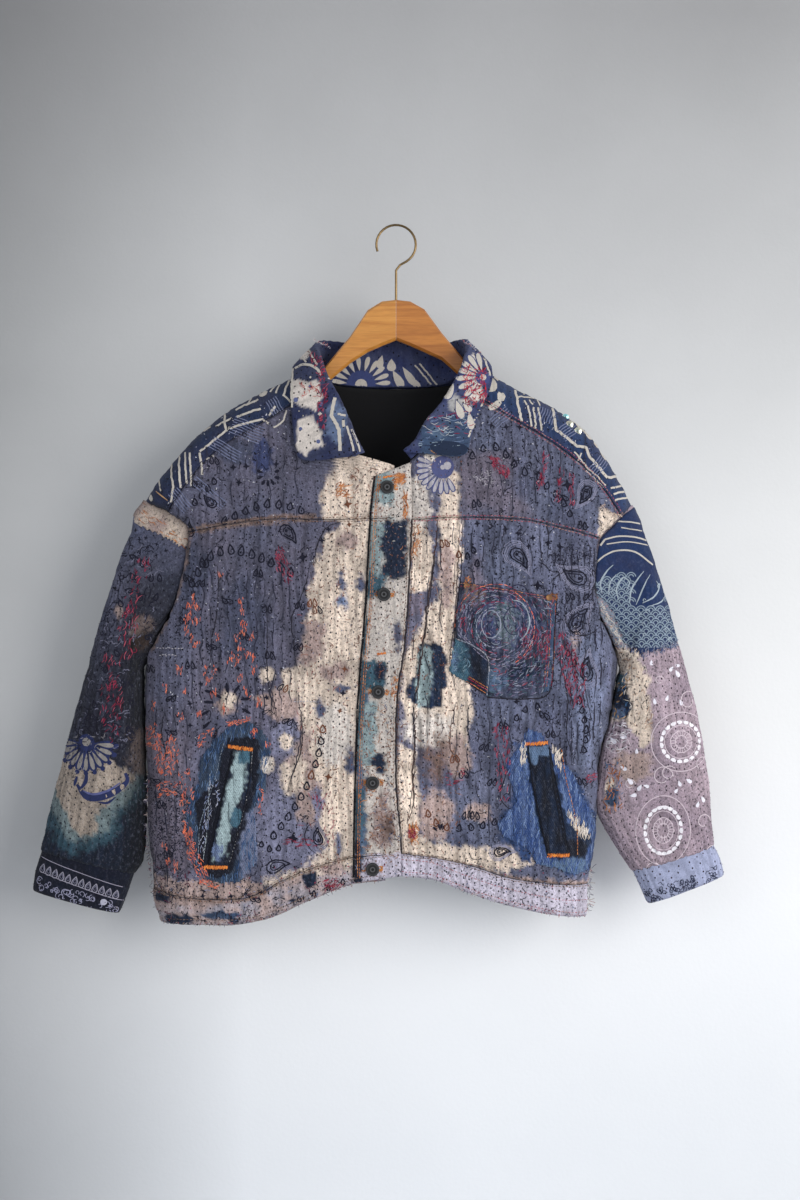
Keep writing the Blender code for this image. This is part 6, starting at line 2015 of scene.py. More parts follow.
def chrysanthemum(marks, x, z, core, far, angles, tint, rim, near=0.45, slim=0.15):
    """Long petals round a dark disc. Each has a dark rim, and the middle is pale."""
    marks.blot(turned_to(circle(far * near + 1, 20), x, z, 0), rim)
    for level, more, colour in ((0, 2.6, rim), (1, 0.0, tint)):
        marks.level = level
        long = far * (1 - near)
        for angle in angles:
            a, away = math.radians(angle), far * near + long / 2
            marks.blot(turned_to(teardrop(long + more, far * slim + more), x + away * math.cos(a),
                                 z + away * math.sin(a), angle + 90), colour)
    marks.blot(turned_to(circle(core, 12), x, z, 0), tint)
    marks.level = 0


chrysanthemum(bold, 58, -309, 3, 33, range(160, 300, 15), PALE_BONE, (0.075, 0.085, 0.200), 0.40)
bold.level = 2
bold.blot(turned_to(circle(5, 10), 64, -307, 0), PALE_BONE)
bold.level = 0
for x, z, seed in ((112, -316, 1), (105, -322, 2), (119, -326, 3)):
    dice = random.Random(seed)
    for _ in range(16):
        at = (x + dice.gauss(0, 4), z + dice.gauss(0, 2.5))
        bold.line([at, (at[0] + dice.gauss(0, 1.6), at[1] + dice.gauss(0, 1.6))], 0.8, (0.36, 0.34, 0.38))
bold.lay("print_shoulders", front_skin, ink_finish, 0.35)

# %% Print of the collar
collar_print = Marks()
for number, (width, points) in enumerate([
        (3.4, [(-126, -184), (-117, -180), (-108, -181), (-98, -187), (-92, -195)]),
        (4.2, [(-75, -224), (-78, -236), (-80, -246), (-74, -256), (-70, -265), (-69, -289)]),
        (2.6, [(-72, -244), (-62, -246)]), (3.6, [(-65, -252), (-64, -260)]),
        (2.6, [(-61, -259), (-56, -274), (-52, -290)]), (2.2, [(-55, -263), (-48, -278), (-44, -290)]),
        (2.4, [(-129, -184), (-129, -210), (-129, -246)]), (2.4, [(-110, -158), (-104, -172), (-98, -182)]),
        (2.2, [(-118, -168), (-112, -178)]), (2.6, [(106, -160), (112, -176), (117, -196)]),
        (2.0, [(24, -172), (38, -188), (48, -201)]), (2.0, [(30, -170), (44, -187), (54, -200)]),
        (1.8, [(-84, -200), (-30, -203), (48, -201)]), (2.2, [(96, -260), (104, -238), (111, -222)]),
        (2.2, [(90, -272), (98, -250)])]):
    collar_print.line(shaky(points, 0.3, number + 40), width, BONE_INK)
chrysanthemum(collar_print, -45, -198, 8, 38, (5, 21, 38, 56, 75, 96, 117, 138, 156, 172), BONE_INK,
              BLUE_INK, 0.48, 0.16)
chrysanthemum(collar_print, 108, -198, 4, 34, (100, 122, 143, 163, 184, 205, 226), BONE_INK, BLUE_INK,
              0.25, 0.2)
for x, z, width in ((0, -186, 1.2), (7, -190, 1.2), (14, -194, 1.0), (21, -198, 1.0), (-4, -200, 1.0)):
    collar_print.line([(x - 5, z + 9), (x + 1, z), (x + 6, z - 9)], width + 1, BLUE_INK)
for x, z, wide, long, turn in ((2, -190, 11, 26, 30), (16, -186, 10, 28, 34), (24, -195, 9, 20, 40),
                               (66, -216, 12, 22, -30), (78, -238, 10, 24, 20), (92, -252, 9, 22, 10),
                               (-6, -172, 12, 16, 0), (-20, -168, 9, 18, -14), (88, -236, 8, 14, 50)):
    collar_print.blot(turned_to(teardrop(long + 2.4, wide + 2.4), x, z, turn), BLUE_INK)
    collar_print.level = 1
    collar_print.blot(turned_to(teardrop(long, wide), x, z, turn), BONE_INK)
    collar_print.level = 0
for x, z, wide in ((-115, -246, 1.7), (-94, -244, 4.4), (-120, -240, 1.4), (-106, -198, 2.6)):
    collar_print.blot(turned_to(star(wide * 1.3, waist=0.7), x, z, 10), BONE_INK)
for x, z, wide in ((-106, -210, 2.4), (-124, -226, 3.0), (-92, -232, 2.6), (-118, -262, 2.2),
                   (-96, -278, 2.6)):
    collar_print.blot(turned_to(circle(wide, 9), x, z, 0), (0.10, 0.12, 0.25))
dice = random.Random(44)
for _ in range(46):                       # frayed denim at the foot of the right leaf
    x, z = dice.uniform(20, 88), dice.uniform(-284, -246)
    length = dice.uniform(4, 12)
    collar_print.line([(x, z), (x + length * 0.5, z + dice.uniform(-1, 1)), (x + length, z + 1.2)], 0.7,
                      dice.choice([(0.30, 0.38, 0.46), (0.16, 0.22, 0.36), (0.02, 0.03, 0.07)]))
collar_print.blot(smoothed([(42, -284), (52, -278), (70, -278), (88, -284), (84, -294), (68, -298),
                            (50, -294)], 4, True), (0.012, 0.022, 0.050))
collar_print.line(smoothed([(43, -289), (55, -296), (70, -299), (86, -294)], 5), 1.2, (0.34, 0.17, 0.07))
collar_skin = skin_of(["collar"])
collar_print.lay("print_collar", collar_skin, ink_finish, 0.35)

# %% [markdown]
# ## Prints of the sleeves
# The left sleeve has small black marks at the top, then a chrysanthemum in cream and blue. The
# blue patch on the right sleeve holds a plain wave pattern of overlapping scales. The rose cloth
# below it is printed with round medallions, whose rims are rows of white half-round petals.

# %% Print of the left sleeve
sleeve_print = Marks()
draw = random.Random(9)
for x, z, turn in [(-318, -428, 20), (-306, -446, -10), (-330, -444, 30), (-334, -462, 80),
                   (-320, -470, 10), (-300, -470, -20), (-296, -446, 5), (-330, -420, 60),
                   (-344, -478, 20), (-310, -520, -60), (-348, -540, 30), (-340, -578, 20),
                   (-356, -596, 60), (-362, -560, 10), (-334, -636, 0), (-330, -642, 0), (-350, -630, 60),
                   (-376, -604, 20), (-384, -620, -30), (-330, -602, 40), (-318, -556, 20)]:
    ring_mark(sleeve_print, x, z, 9.5, 5.4, turn, INK)
for x, z in [(-328, -386), (-314, -396), (-300, -404), (-288, -412), (-312, -408), (-322, -398),
             (-300, -418), (-338, -390)]:
    sleeve_print.blot(turned_to(star(7), x, z, draw.uniform(-20, 20)), INK)
for _ in range(240):
    z = draw.uniform(-660, -400)
    share = draw.random()
    outer, inner = -336 - (-400 - z) * 0.31, -300 if z > -560 else -326
    scribble(sleeve_print, outer + (inner - outer) * share, z, draw.choice([1.6, 2.6]),
             draw.choice([INK, INK, INK, (0.14, 0.14, 0.20)]), draw.choice([0.7, 1.1]))
for _ in range(60):
    x, z = draw.uniform(-404, -336), draw.uniform(-662, -622)
    scribble(sleeve_print, x, z, 3.0, INK, 1.1)
SHADE_BLUE, SHADE_BONE = (0.018, 0.026, 0.090), (0.25, 0.23, 0.22)
FLOWER_X, FLOWER_Z = -386, -652
for angle in range(184, 366, 17):
    a = math.radians(angle)
    burst(sleeve_print, FLOWER_X, FLOWER_Z, 9, 37, 12.0, [angle], SHADE_BLUE)
    sleeve_print.level = 1
    burst(sleeve_print, FLOWER_X, FLOWER_Z, 13, 35.0, 5.6, [angle], SHADE_BONE)
    sleeve_print.level = 0
    sleeve_print.blot(turned_to(circle(3.2, 8), FLOWER_X + 38 * math.cos(a),
                                FLOWER_Z + 38 * math.sin(a), 0), SHADE_BLUE)
sleeve_print.level = 1
sleeve_print.blot(turned_to(circle(11, 12), FLOWER_X, FLOWER_Z, 0), SHADE_BLUE)
sleeve_print.level = 2
sleeve_print.blot(turned_to(circle(5.4, 9), FLOWER_X, FLOWER_Z + 1, 0), SHADE_BONE)
for turn in (90, 200, 320):
    sleeve_print.line(turned_to([(0, 0), (0, 5)], FLOWER_X, FLOWER_Z + 1, turn), 1.0, INK)
sleeve_print.level = 0
for width, points in [(9, [(-398, -704), (-390, -716), (-380, -721), (-362, -718), (-346, -710),
                           (-336, -700), (-338, -690)]),
                      (5, [(-386, -686), (-387, -700), (-394, -710)]),
                      (3, [(-372, -726), (-360, -727), (-350, -720)]), (4, [(-398, -694), (-402, -706)])]:
    sleeve_print.line(smoothed(points, 5), width, SHADE_BLUE, taper=True)
sleeve_print.level = 1
sleeve_print.line(smoothed([(-390, -712), (-378, -716), (-360, -712), (-344, -702)], 5), 3.0,
                  (0.10, 0.11, 0.26), taper=True)
sleeve_print.level = 0
left_sleeve_skin = skin_of(["sleeve_left", "sleeve_left_head_band"])
sleeve_print.lay("print_sleeve_left", left_sleeve_skin, ink_finish, 0.35)


# %% Scales and medallions of the right sleeve
SCALES_LEFT, SCALES_RIGHT = 240, 372


def wave_scales(marks, low, high, across, tint, allowed):
    """Rows of fans of two arcs, the wave pattern called seigaiha."""
    number = 0
    z = high
    while z > low:
        offset = across / 2 * (number % 2)
        for x in np.arange(SCALES_LEFT + offset, SCALES_RIGHT, across):
            if allowed(x, z):
                for share in (0.47, 0.25):
                    radius = across * share
                    marks.line(arc(x, z, radius, radius, np.linspace(0.1, math.pi - 0.1, 9)), 1.35, tint)
        z -= across / 2.3
        number += 1


def spiral(radius, narrowing, last, count):
    """A line that winds inwards round the origin, up to the last angle."""
    a = np.linspace(0, last, count)
    near = radius * (1 - narrowing * a)
    return arc(0, 0, near, near, a)


rose = Marks()
STONE_INK = (0.22, 0.28, 0.35)
for width, points in [(1.8, [(279, -375), (296, -376), (308, -378)]), (1.4, [(283, -383), (310, -387)]),
                      (2.0, [(262, -398), (280, -394), (300, -395), (316, -399)]),
                      (1.4, [(264, -404), (290, -401), (317, -405)]), (2.4, [(262, -398), (256, -406)]),
                      (2.0, [(250, -428), (262, -418), (278, -412), (300, -414), (322, -430)])]:
    rose.line(smoothed(points, 5), width, (0.50, 0.47, 0.43))


def in_scales(x, z):
    """The scales stay under the foam and inside the patch."""
    return z < -452 + 0.22 * (x - 250) and z > -536 and (z < -486 or x < 300 or x > 338)


wave_scales(rose, -534, -440, 12.0, STONE_INK, in_scales)
FOAM, ROSE_INK = (0.34, 0.40, 0.46), (0.62, 0.52, 0.58)
rose.level = 1
for width, points in [(2.2, [(292, -478), (294, -462), (302, -448), (310, -438)]),
                      (1.8, [(300, -480), (306, -466), (312, -452), (318, -442)]),
                      (2.0, [(308, -478), (322, -470), (330, -458), (326, -450)]),
                      (1.6, [(316, -482), (332, -476), (342, -464)]),
                      (2.2, [(258, -466), (256, -452), (264, -438), (272, -430)]),
                      (1.8, [(266, -468), (268, -452), (276, -442)]),
                      (2.0, [(278, -474), (276, -460), (284, -446), (292, -452), (288, -462)])]:
    rose.line(smoothed(points, 6), width, FOAM, taper=True)
for k in range(14):
    x, z = draw.uniform(256, 346), draw.uniform(-530, -440)
    radius = draw.uniform(1.6, 3.2)
    rose.line(arc(x, z, radius, radius, np.linspace(0, 4.6, 9)), 0.9, FOAM)
rose.level = 0
for cx, cz, wide, high, petals in [(356, -651, 27, 26, 19), (334, -762, 24, 31, 21)]:
    for k in range(petals):
        a = 2 * math.pi * k / petals
        x, z = cx + wide * math.cos(a), cz + high * math.sin(a)
        shape = np.array([(-3.7, 0), (-3.0, 2.9), (0, 4.2), (3.0, 2.9), (3.7, 0), (0, -0.8)])
        rose.blot(turned_to(shape, x, z, math.degrees(a) + 90), (0.80, 0.77, 0.82))
    for ring in (1.42, 0.80, 0.52, 0.30):
        rose.line(arc(cx, cz, wide * ring, high * ring, np.arange(40) * 2 * math.pi / 40), 1.0,
                  ROSE_INK, closed=True)
    for k in range(10):
        a = 2 * math.pi * k / 10
        petal = turned_to(teardrop(8, 4), cx + 10 * math.cos(a), cz + 11 * math.sin(a),
                          math.degrees(a) + 90)
        rose.line(petal, 0.8, ROSE_INK, closed=True)
for x, z, size, turn in [(292, -700, 10, 40), (304, -708, 9, -30), (312, -706, 8, 70), (296, -718, 9, 100),
                         (354, -703, 8, 20), (366, -700, 9, 60), (350, -712, 7, -40), (385, -724, 9, 30),
                         (378, -730, 8, -20), (352, -566, 10, 30), (344, -560, 8, -40), (352, -556, 7, 80),
                         (322, -600, 8, 10), (338, -596, 8, -20), (356, -602, 8, 20), (284, -684, 9, 60),
                         (318, -552, 7, 0), (272, -650, 10, 40), (284, -645, 8, 90), (300, -662, 7, 0)]:
    rose.blot(turned_to(teardrop(size, size * 0.55), x, z, turn), (0.74, 0.72, 0.80))
for x, z, radius, turn in [(328, -574, 6, 0), (332, -694, 14, 0), (292, -704, 7, 0), (386, -752, 10, 0),
                           (340, -690, 10, 40), (276, -656, 16, 0), (366, -600, 12, 60),
                           (322, -812, 10, 20), (384, -680, 10, 10), (396, -790, 8, 0)]:
    rose.line(turned_to(spiral(radius, 0.09, 5.4, 14), x, z, turn), 0.9, (0.64, 0.55, 0.60))
right_sleeve_skin = skin_of(["sleeve_right", "sleeve_right_print"])
rose.lay("print_sleeve_right", right_sleeve_skin, ink_finish, 0.35)

# %% Print of the cuffs
cuffs = Marks()
for k in range(12):
    share = k / 11
    x, z = -444 + 92 * share, -806 - 33 * share
    for size, tint, stroke in ((11, (0.28, 0.27, 0.34), 1.2), (5.5, (0.16, 0.16, 0.23), 0.8)):
        cuffs.line(turned_to(teardrop(size, size * 0.62), x, z - 5, -18), stroke, tint, closed=True)
for offset in (4.0, -14):
    cuffs.line([(-447, -801 + offset), (-344, -839 + offset)], 0.8, (0.35, 0.33, 0.42))
draw = random.Random(12)
for _ in range(46):
    share = draw.random()
    x, z = -449 + 98 * share, -824 - 32 * share - draw.uniform(0, 14)
    curl = spiral(draw.uniform(1.8, 5), 0.1, draw.uniform(3, 6), 9)
    cuffs.line(turned_to(curl, x, z, draw.uniform(0, 360)), 0.8, (0.30, 0.30, 0.42))
cuffs.blot(turned_to(circle(4.2, 10), -367, -853, 0), (0.42, 0.42, 0.52))
for _ in range(34):
    share = draw.random()
    x, z = 314 + 92 * share, -836 + 30 * share - draw.uniform(2, 26)
    ring_mark(cuffs, x, z, draw.uniform(5, 9), 4, draw.uniform(0, 360), (0.02, 0.025, 0.055), 0.9)
for _ in range(40):
    share = draw.random()
    scribble(cuffs, 314 + 92 * share, -836 + 30 * share - draw.uniform(2, 28), 1.6, (0.03, 0.035, 0.07), 0.8)
cuffs.lay("print_cuffs", skin_of(["cuff_left", "cuff_right"]), ink_finish, 0.35)

# %% [markdown]
# ## Bright threads
# Coral and crimson threads run over the quilting as hand darning: some as single upright
# stitches, some as dense scribbles. Every stroke is a narrow ribbon that lies on the cloth.

# %% Darning
# thread colours, and fields of darning: outline, how many stitches, how long, and their angle
CORAL = [(0.82, 0.17, 0.085), (0.72, 0.20, 0.13), (0.86, 0.24, 0.12), (0.50, 0.12, 0.09)]
CRIMSON = [(0.22, 0.010, 0.035), (0.34, 0.030, 0.070), (0.14, 0.008, 0.028), (0.40, 0.08, 0.12)]
COPPER = [(0.46, 0.16, 0.05), (0.34, 0.11, 0.035), (0.58, 0.24, 0.09)]


def strand(marks, x, z, length, angle, tint, width=0.9, bend=0.12):
    """One stitch of thread, a little bent, round a middle point."""
    a = math.radians(angle)
    along = np.array([math.cos(a), math.sin(a)])
    side = np.array([-along[1], along[0]]) * draw.gauss(0, bend) * length
    at = np.array([x, z])
    points = [at - along * length / 2, at + side, at + along * length / 2]
    marks.line(smoothed(points, 3), width, tint, taper=True)


def darned(marks, outline, count, length, angle, spread, tints, width=0.9):
    """Many stitches inside an outline."""
    reach = np.array(outline, float)
    low, high = reach.min(axis=0), reach.max(axis=0)
    while count > 0:
        x, z = draw.uniform(low[0], high[0]), draw.uniform(low[1], high[1])
        if depth_inside(np.array([x]), np.array([z]), outline)[0] > 0:
            strand(marks, x, z, length * draw.uniform(0.6, 1.4), angle + draw.gauss(0, spread),
                   draw.choice(tints), width * draw.uniform(0.7, 1.2))
            count -= 1


CORAL_DABS = [(-220, -443), (-260, -482), (-250, -482), (-250, -501), (-260, -512), (-253, -524),
              (-249, -529), (-194, -476), (-192, -488), (-190, -503), (-198, -522), (-194, -535),
              (-186, -541), (-178, -521), (-178, -543), (-236, -561), (-226, -561), (-234, -573),
              (-193, -572), (-213, -610), (-252, -470), (-204, -548), (-226, -590), (-270, -560),
              (-286, -582), (-262, -588), (-246, -616), (-176, -560), (-186, -590), (-302, -606),
              (-190, -512), (-256, -491), (-261, -497), (-196, -548), (-170, -600), (-222, -520),
              (-284, -800), (-274, -806), (-290, -782), (-176, -640), (-160, -652), (-268, -620)]
CORAL_FIELDS = [
    ([(-314, -634), (-300, -628), (-292, -646), (-304, -662), (-316, -656)], 44, 8, 50),
    ([(-300, -650), (-276, -640), (-268, -668), (-280, -694), (-298, -690), (-302, -670)], 90, 8, 70),
    ([(-298, -702), (-274, -698), (-270, -718), (-296, -720)], 34, 7, 10),
    ([(-270, -686), (-256, -684), (-250, -716), (-256, -744), (-268, -738)], 50, 7, 80),
    ([(-268, -750), (-256, -748), (-248, -782), (-234, -812), (-232, -826), (-242, -826),
      (-258, -794)], 110, 8, -66),
    ([(-210, -625), (-182, -619), (-180, -625), (-206, -632)], 30, 7, 12),
    ([(-246, -826), (-220, -834), (-216, -829), (-240, -820)], 26, 6, -10),
    ([(-170, -706), (-164, -706), (-166, -742), (-172, -738)], 14, 6, 85),
    ([(-248, -640), (-222, -632), (-224, -640), (-246, -660)], 22, 6, 40),
]
CRIMSON_FIELDS = [
    ([(-152, -408), (-140, -410), (-128, -440), (-134, -456), (-148, -436)], 40, 8, -62),
    ([(-112, -716), (-78, -712), (-76, -790), (-92, -792), (-88, -740)], 26, 9, 75),
    ([(-142, -772), (-100, -770), (-98, -780), (-140, -781)], 26, 7, 5),
    ([(-90, -820), (-66, -818), (-66, -836), (-88, -838)], 40, 7, 30),
    ([(116, -296), (130, -298), (144, -316), (138, -324), (122, -312)], 60, 7, -50),
    ([(182, -290), (190, -290), (184, -334), (176, -336)], 26, 9, 80),
    ([(204, -308), (210, -308), (204, -352), (196, -350)], 14, 9, 70),
    ([(214, -304), (220, -306), (222, -356), (214, -352)], 14, 9, 86),
    ([(120, -626), (144, -634), (140, -726), (126, -722)], 60, 8, 80),
    ([(194, -514), (210, -516), (236, -560), (234, -612), (220, -606), (204, -560)], 130, 8, 74),
    ([(152, -508), (192, -512), (190, -546), (158, -546)], 90, 7, 72),
    ([(80, -480), (86, -480), (86, -510), (80, -506)], 16, 6, 84),
    ([(236, -694), (252, -690), (250, -700), (238, -704)], 20, 6, 10),
    ([(60, -690), (84, -684), (90, -700), (64, -706)], 16, 7, 10),
]
COPPER_FIELDS = [
    ([(-2, -318), (10, -317), (11, -330), (-1, -330)], 60, 7, 20),
    ([(10, -340), (15, -340), (14, -372), (9, -370)], 26, 8, 88),
    ([(22, -380), (30, -380), (28, -420), (20, -420)], 20, 8, 80),
    ([(-50, -700), (-30, -694), (-20, -720), (-44, -726)], 18, 6, 20),
    ([(16, -752), (28, -752), (26, -778), (18, -778)], 40, 7, 80),
    ([(-72, -330), (-58, -326), (-56, -346), (-74, -346)], 26, 9, 30),
    ([(-6, -560), (4, -560), (2, -600), (-8, -598)], 20, 6, 70),
]
THREAD_LIFT = 0.6              # threads lie this high over the cloth
draw = random.Random(77)
threads = Marks()
for x, z in CORAL_DABS:
    long = draw.uniform(5, 9)
    for _ in range(9):
        strand(threads, x + draw.gauss(0, 1.9), z + draw.gauss(0, 3.0), long * draw.uniform(0.3, 0.9),
               90 + draw.gauss(0, 14), draw.choice(CORAL + [(0.42, 0.17, 0.16)]), 0.85)
for outline, count, length, angle in CORAL_FIELDS:
    darned(threads, outline, int(1.15 * count), 0.62 * length, angle, 34, CORAL + [(0.40, 0.16, 0.15)],
           0.9)
for outline, count, length, angle in CRIMSON_FIELDS:
    darned(threads, outline, int(1.3 * count), 0.75 * length, angle, 22, CRIMSON, 0.75)
for outline, count, length, angle in COPPER_FIELDS:
    darned(threads, outline, count, length, angle, 30, COPPER, 0.9)
for z, low, high in ((-534, -298, -262), (-543, -294, -270), (-600, -126, -100)):
    for x in np.arange(low, high, 4.0):
        strand(threads, x, z + draw.gauss(0, 0.5), 2.8, draw.gauss(0, 12), (0.45, 0.43, 0.48), 1.1)

# stitches that lie in all directions over the middle: outline, how many, length, angle, spread, colours
STRAY_FIELDS = [
    ([(-60, -310), (-20, -306), (-10, -360), (-60, -372)], 22, 8, 20, 60,
     [(0.30, 0.10, 0.06), (0.22, 0.07, 0.05)]),
    ([(-120, -470), (-60, -400), (-56, -800), (-130, -800)], 60, 7, 60, 50,
     [(0.34, 0.16, 0.12), (0.30, 0.05, 0.05)]),
    ([(20, -380), (80, -380), (84, -780), (20, -780)], 70, 7, 70, 50,
     [(0.34, 0.16, 0.10), (0.40, 0.20, 0.12), (0.06, 0.08, 0.16)]),
    ([(-56, -380), (10, -380), (4, -800), (-56, -800)], 90, 5, 20, 60,
     [(0.40, 0.17, 0.08), (0.06, 0.09, 0.18), (0.30, 0.10, 0.06), (0.65, 0.62, 0.58)]),
]
for field in STRAY_FIELDS:
    darned(threads, *field, 0.6)
print("points of bright thread:", len(threads.points))

# %% [markdown]
# ## Topstitching
# Seams are followed by a dark groove and a row of short copper stitches on each side. A bartack,
# a dense little bar of thread, closes each end of the pocket openings, and each buttonhole has
# one beside its button.


# %% Seams, bartacks and pocket stitching
def dashes(marks, line, offset, tints, on=2.6, off=1.7, width=0.75):
    """A row of short stitches that runs beside a line."""
    path = smoothed(line, 10)
    way = np.gradient(path, axis=0)
    way /= np.maximum(np.linalg.norm(way, axis=1, keepdims=True), 1e-6)
    path = path + np.stack([-way[:, 1], way[:, 0]], -1) * offset
    for start in np.arange(0, run_of(path)[-1] - on, on + off):
        points = points_at(path, np.array([start, start + on / 2, start + on]))
        marks.line(points + draw.gauss(0, 0.15), width, draw.choice(tints))


def box_round(x, z, wide, high):
    """The corners of an upright rectangle. The sides lie this far from its middle."""
    return [(x - wide, z - high), (x + wide, z - high), (x + wide, z + high), (x - wide, z + high)]


GROOVE, WARM_GROOVE = (0.014, 0.012, 0.020), (0.13, 0.075, 0.055)
TAN = [(0.20, 0.11, 0.075), (0.13, 0.07, 0.05), (0.26, 0.18, 0.14)]
PINK = [(0.42, 0.13, 0.15), (0.30, 0.05, 0.08), (0.40, 0.20, 0.17)]
# seams with the colours of their stitches, and how far from the seam these run
SEAMS = [
    (YOKE_SEAM_LEFT, TAN, 2.6), (YOKE_SEAM_RIGHT, PINK, 2.4), (WAIST_SEAM_LEFT, TAN, 2.4),
    (WAIST_SEAM_RIGHT, TAN, 2.4), (SHOULDER_SEAM_LEFT, [(0.05, 0.05, 0.09)], 2.2),
    (SHOULDER_SEAM_RIGHT, PINK, 2.6),
]
for line, tints, gap in SEAMS:
    path = shaky(smoothed(line, 12), 0.3, 5, 3.0)
    for start in range(0, len(path) - 1, 2):
        piece = path[start:start + 3]
        threads.line(piece, 1.0, GROOVE if ink_at(*piece[0]) is INK else WARM_GROOVE)
    for side in (-1, 1):
        dashes(threads, line, side * gap, tints)
dashes(threads, [(x, z + 7) for x, z in HEM_LEFT], 0, TAN)
dashes(threads, [(x, z + 6) for x, z in HEM_RIGHT], 0, PINK)
dashes(threads, [(x, z + 21) for x, z in HEM_RIGHT], 0, PINK)
dashes(threads, [(x + 3.5, z) for x, z in PLACKET_EDGE], 0, COPPER, 3.0, 1.2, 0.9)
dashes(threads, [(x + 6.0, z) for x, z in PLACKET_EDGE], 0, COPPER, 3.0, 1.6, 0.7)
seam_line = [(x, z) for x, z in PLACKET_SEAM if -812 < z < -305]
threads.line(shaky(smoothed(seam_line, 8), 0.35, 9, 4.0), 2.2, (0.030, 0.022, 0.026))
# painted shadow: a black line on the left front along the edge of the button strip, where the strip casts
# shade
threads.line([(x - 1.6, z) for x, z in PLACKET_EDGE], 2.4, (0.006, 0.005, 0.008))
for x, z in ((-11, -334), (-15, -467), (-22, -588), (-29, -701), (-29, -808)):
    for side in (-10, 10, 11):
        darned(threads, box_round(x + side, z, 2, 3), 7, 4, 20, 60, COPPER + [(0.66, 0.26, 0.05)], 0.9)
darned(threads, [(15, -758), (24, -758), (24, -770), (16, -770)], 60, 4, 50, 50, CRIMSON, 1.0)
dashes(threads, seam_line, -3, TAN)
dashes(threads, seam_line, 3, TAN)
BARTACKS = [
    (-208, -656, -177, -660, 5), (-238, -806, -209, -806, 5), (161, -653, 189, -651, 5),
    (188, -791, 216, -791, 5), (-23, -541, -12, -540, 2.6), (-16, -322, -4, -320, 2.6),
]
BARTACK_TINTS = [(0.80, 0.27, 0.05), (0.66, 0.19, 0.04), (0.50, 0.13, 0.03)]
for x0, z0, x1, z1, high in BARTACKS:
    count = int(abs(x1 - x0) / 0.8)
    for k in range(count):
        share = k / count
        x, z = x0 + (x1 - x0) * share, z0 + (z1 - z0) * share
        strand(threads, x, z + draw.gauss(0, 0.3), high * draw.uniform(0.8, 1.2), 80 + draw.gauss(0, 9),
               draw.choice(BARTACK_TINTS), 1.1, 0.04)
for line in ([(-203, -662), (-209, -690), (-219, -730), (-228, -770), (-235, -803)],
             [(190, -656), (196, -700), (205, -750), (213, -789)]):
    threads.line(smoothed(line, 6), 3.0, (0.003, 0.004, 0.010), taper=True)
# stitches along the pockets: line, colours, and lengths of stitch and gap
POCKET_STITCHES = [
    ([(-178, -662), (-182, -700), (-193, -752), (-207, -800)], [(0.32, 0.32, 0.33)], 2.6, 1.7),
    ([(-231, -690), (-233, -730), (-236, -770), (-240, -800)], [(0.34, 0.38, 0.42)], 3, 1),
    ([(-214, -652), (-226, -700), (-243, -752), (-246, -800)], [(0.20, 0.24, 0.30)], 3, 1),
    ([(206, -660), (212, -700), (224, -750), (226, -792)], COPPER, 3, 1.2),
    ([(158, -662), (163, -700), (176, -750), (184, -792)], [(0.05, 0.09, 0.16)], 3, 1.2),
]
for line, tints, on, off in POCKET_STITCHES:
    dashes(threads, line, 0, tints, on, off)

# %% Rings on the chest pocket
SWIRL = [((0.016, 0.022, 0.060), 5), ((0.085, 0.100, 0.180), 6), ((0.25, 0.28, 0.36), 4),
         ((0.060, 0.110, 0.145), 4), ((0.110, 0.045, 0.085), 3), ((0.19, 0.17, 0.27), 4),
         ((0.30, 0.05, 0.06), 1)]
SWIRL_X, SWIRL_Z, SWIRL_COUNT = 124, -508, 1600
swirl_tints = [tint for tint, share in SWIRL for _ in range(share)]
shares = len(swirl_tints)
while len(swirl_tints) < SWIRL_COUNT:
    swirl_tints.append(swirl_tints[draw.randrange(shares)])
for tint in swirl_tints:
    x, z = draw.uniform(76, 196), draw.uniform(-594, -458)
    at = (np.array([x]), np.array([z]))
    if depth_inside(*at, CHEST_POCKET)[0] < 3 or depth_inside(*at, CHEST_PATCH)[0] > -2:
        continue
    angle = math.degrees(math.atan2(z - SWIRL_Z, x - SWIRL_X)) + 90 + draw.gauss(0, 26)
    strand(threads, x, z, draw.uniform(3, 8), angle, tint, draw.uniform(0.7, 1.2))
threads.level = 1
# rings of stitches round the swirl: radius, first and last angle, colours
STITCHED_RINGS = [
    (52, 60, 250, CORAL + CRIMSON), (44, 0, 360, [(0.24, 0.22, 0.32)]),
    (38, 20, 300, [(0.30, 0.26, 0.34), (0.14, 0.10, 0.16)]), (31, 70, 280, CRIMSON + [(0.20, 0.16, 0.26)]),
    (25, 0, 330, [(0.30, 0.32, 0.40)]), (47, -60, 70, PINK + CORAL),
]
for radius, first, last, tints in STITCHED_RINGS:
    ring = arc(SWIRL_X, SWIRL_Z, radius, radius * 1.04, np.radians(np.linspace(first, last, 16)))
    ring = ring[depth_inside(ring[:, 0], ring[:, 1], CHEST_PATCH) < -2]
    dashes(threads, ring, draw.gauss(0, 0.6), tints, 4.6, 1.6, 0.8)
DRAWN_RINGS = [
    (148, -500, 22, -70, 95, (0.30, 0.36, 0.42)), (118, -504, 15, 0, 360, (0.28, 0.30, 0.38)),
    (118, -504, 9, 0, 360, (0.05, 0.06, 0.12)), (146, -500, 15, 60, 290, (0.03, 0.04, 0.08)),
    (152, -478, 20, 20, 150, (0.02, 0.02, 0.05)),
]
for x, z, radius, first, last, tint in DRAWN_RINGS:
    threads.line(arc(x, z, radius * 0.8, radius * 1.15, np.radians(np.linspace(first, last, 14))), 1.2,
                 tint)
threads.level = 0
for x in (187, 190, 196):
    dashes(threads, [(x + 2, -478), (x + 1, -530), (x - 3, -584)], 0, COPPER + CRIMSON, 3, 1.2)
dashes(threads, [(x, z - 3) for x, z in CHEST_POCKET[:3]], 0, COPPER + PINK, 3, 1.0)
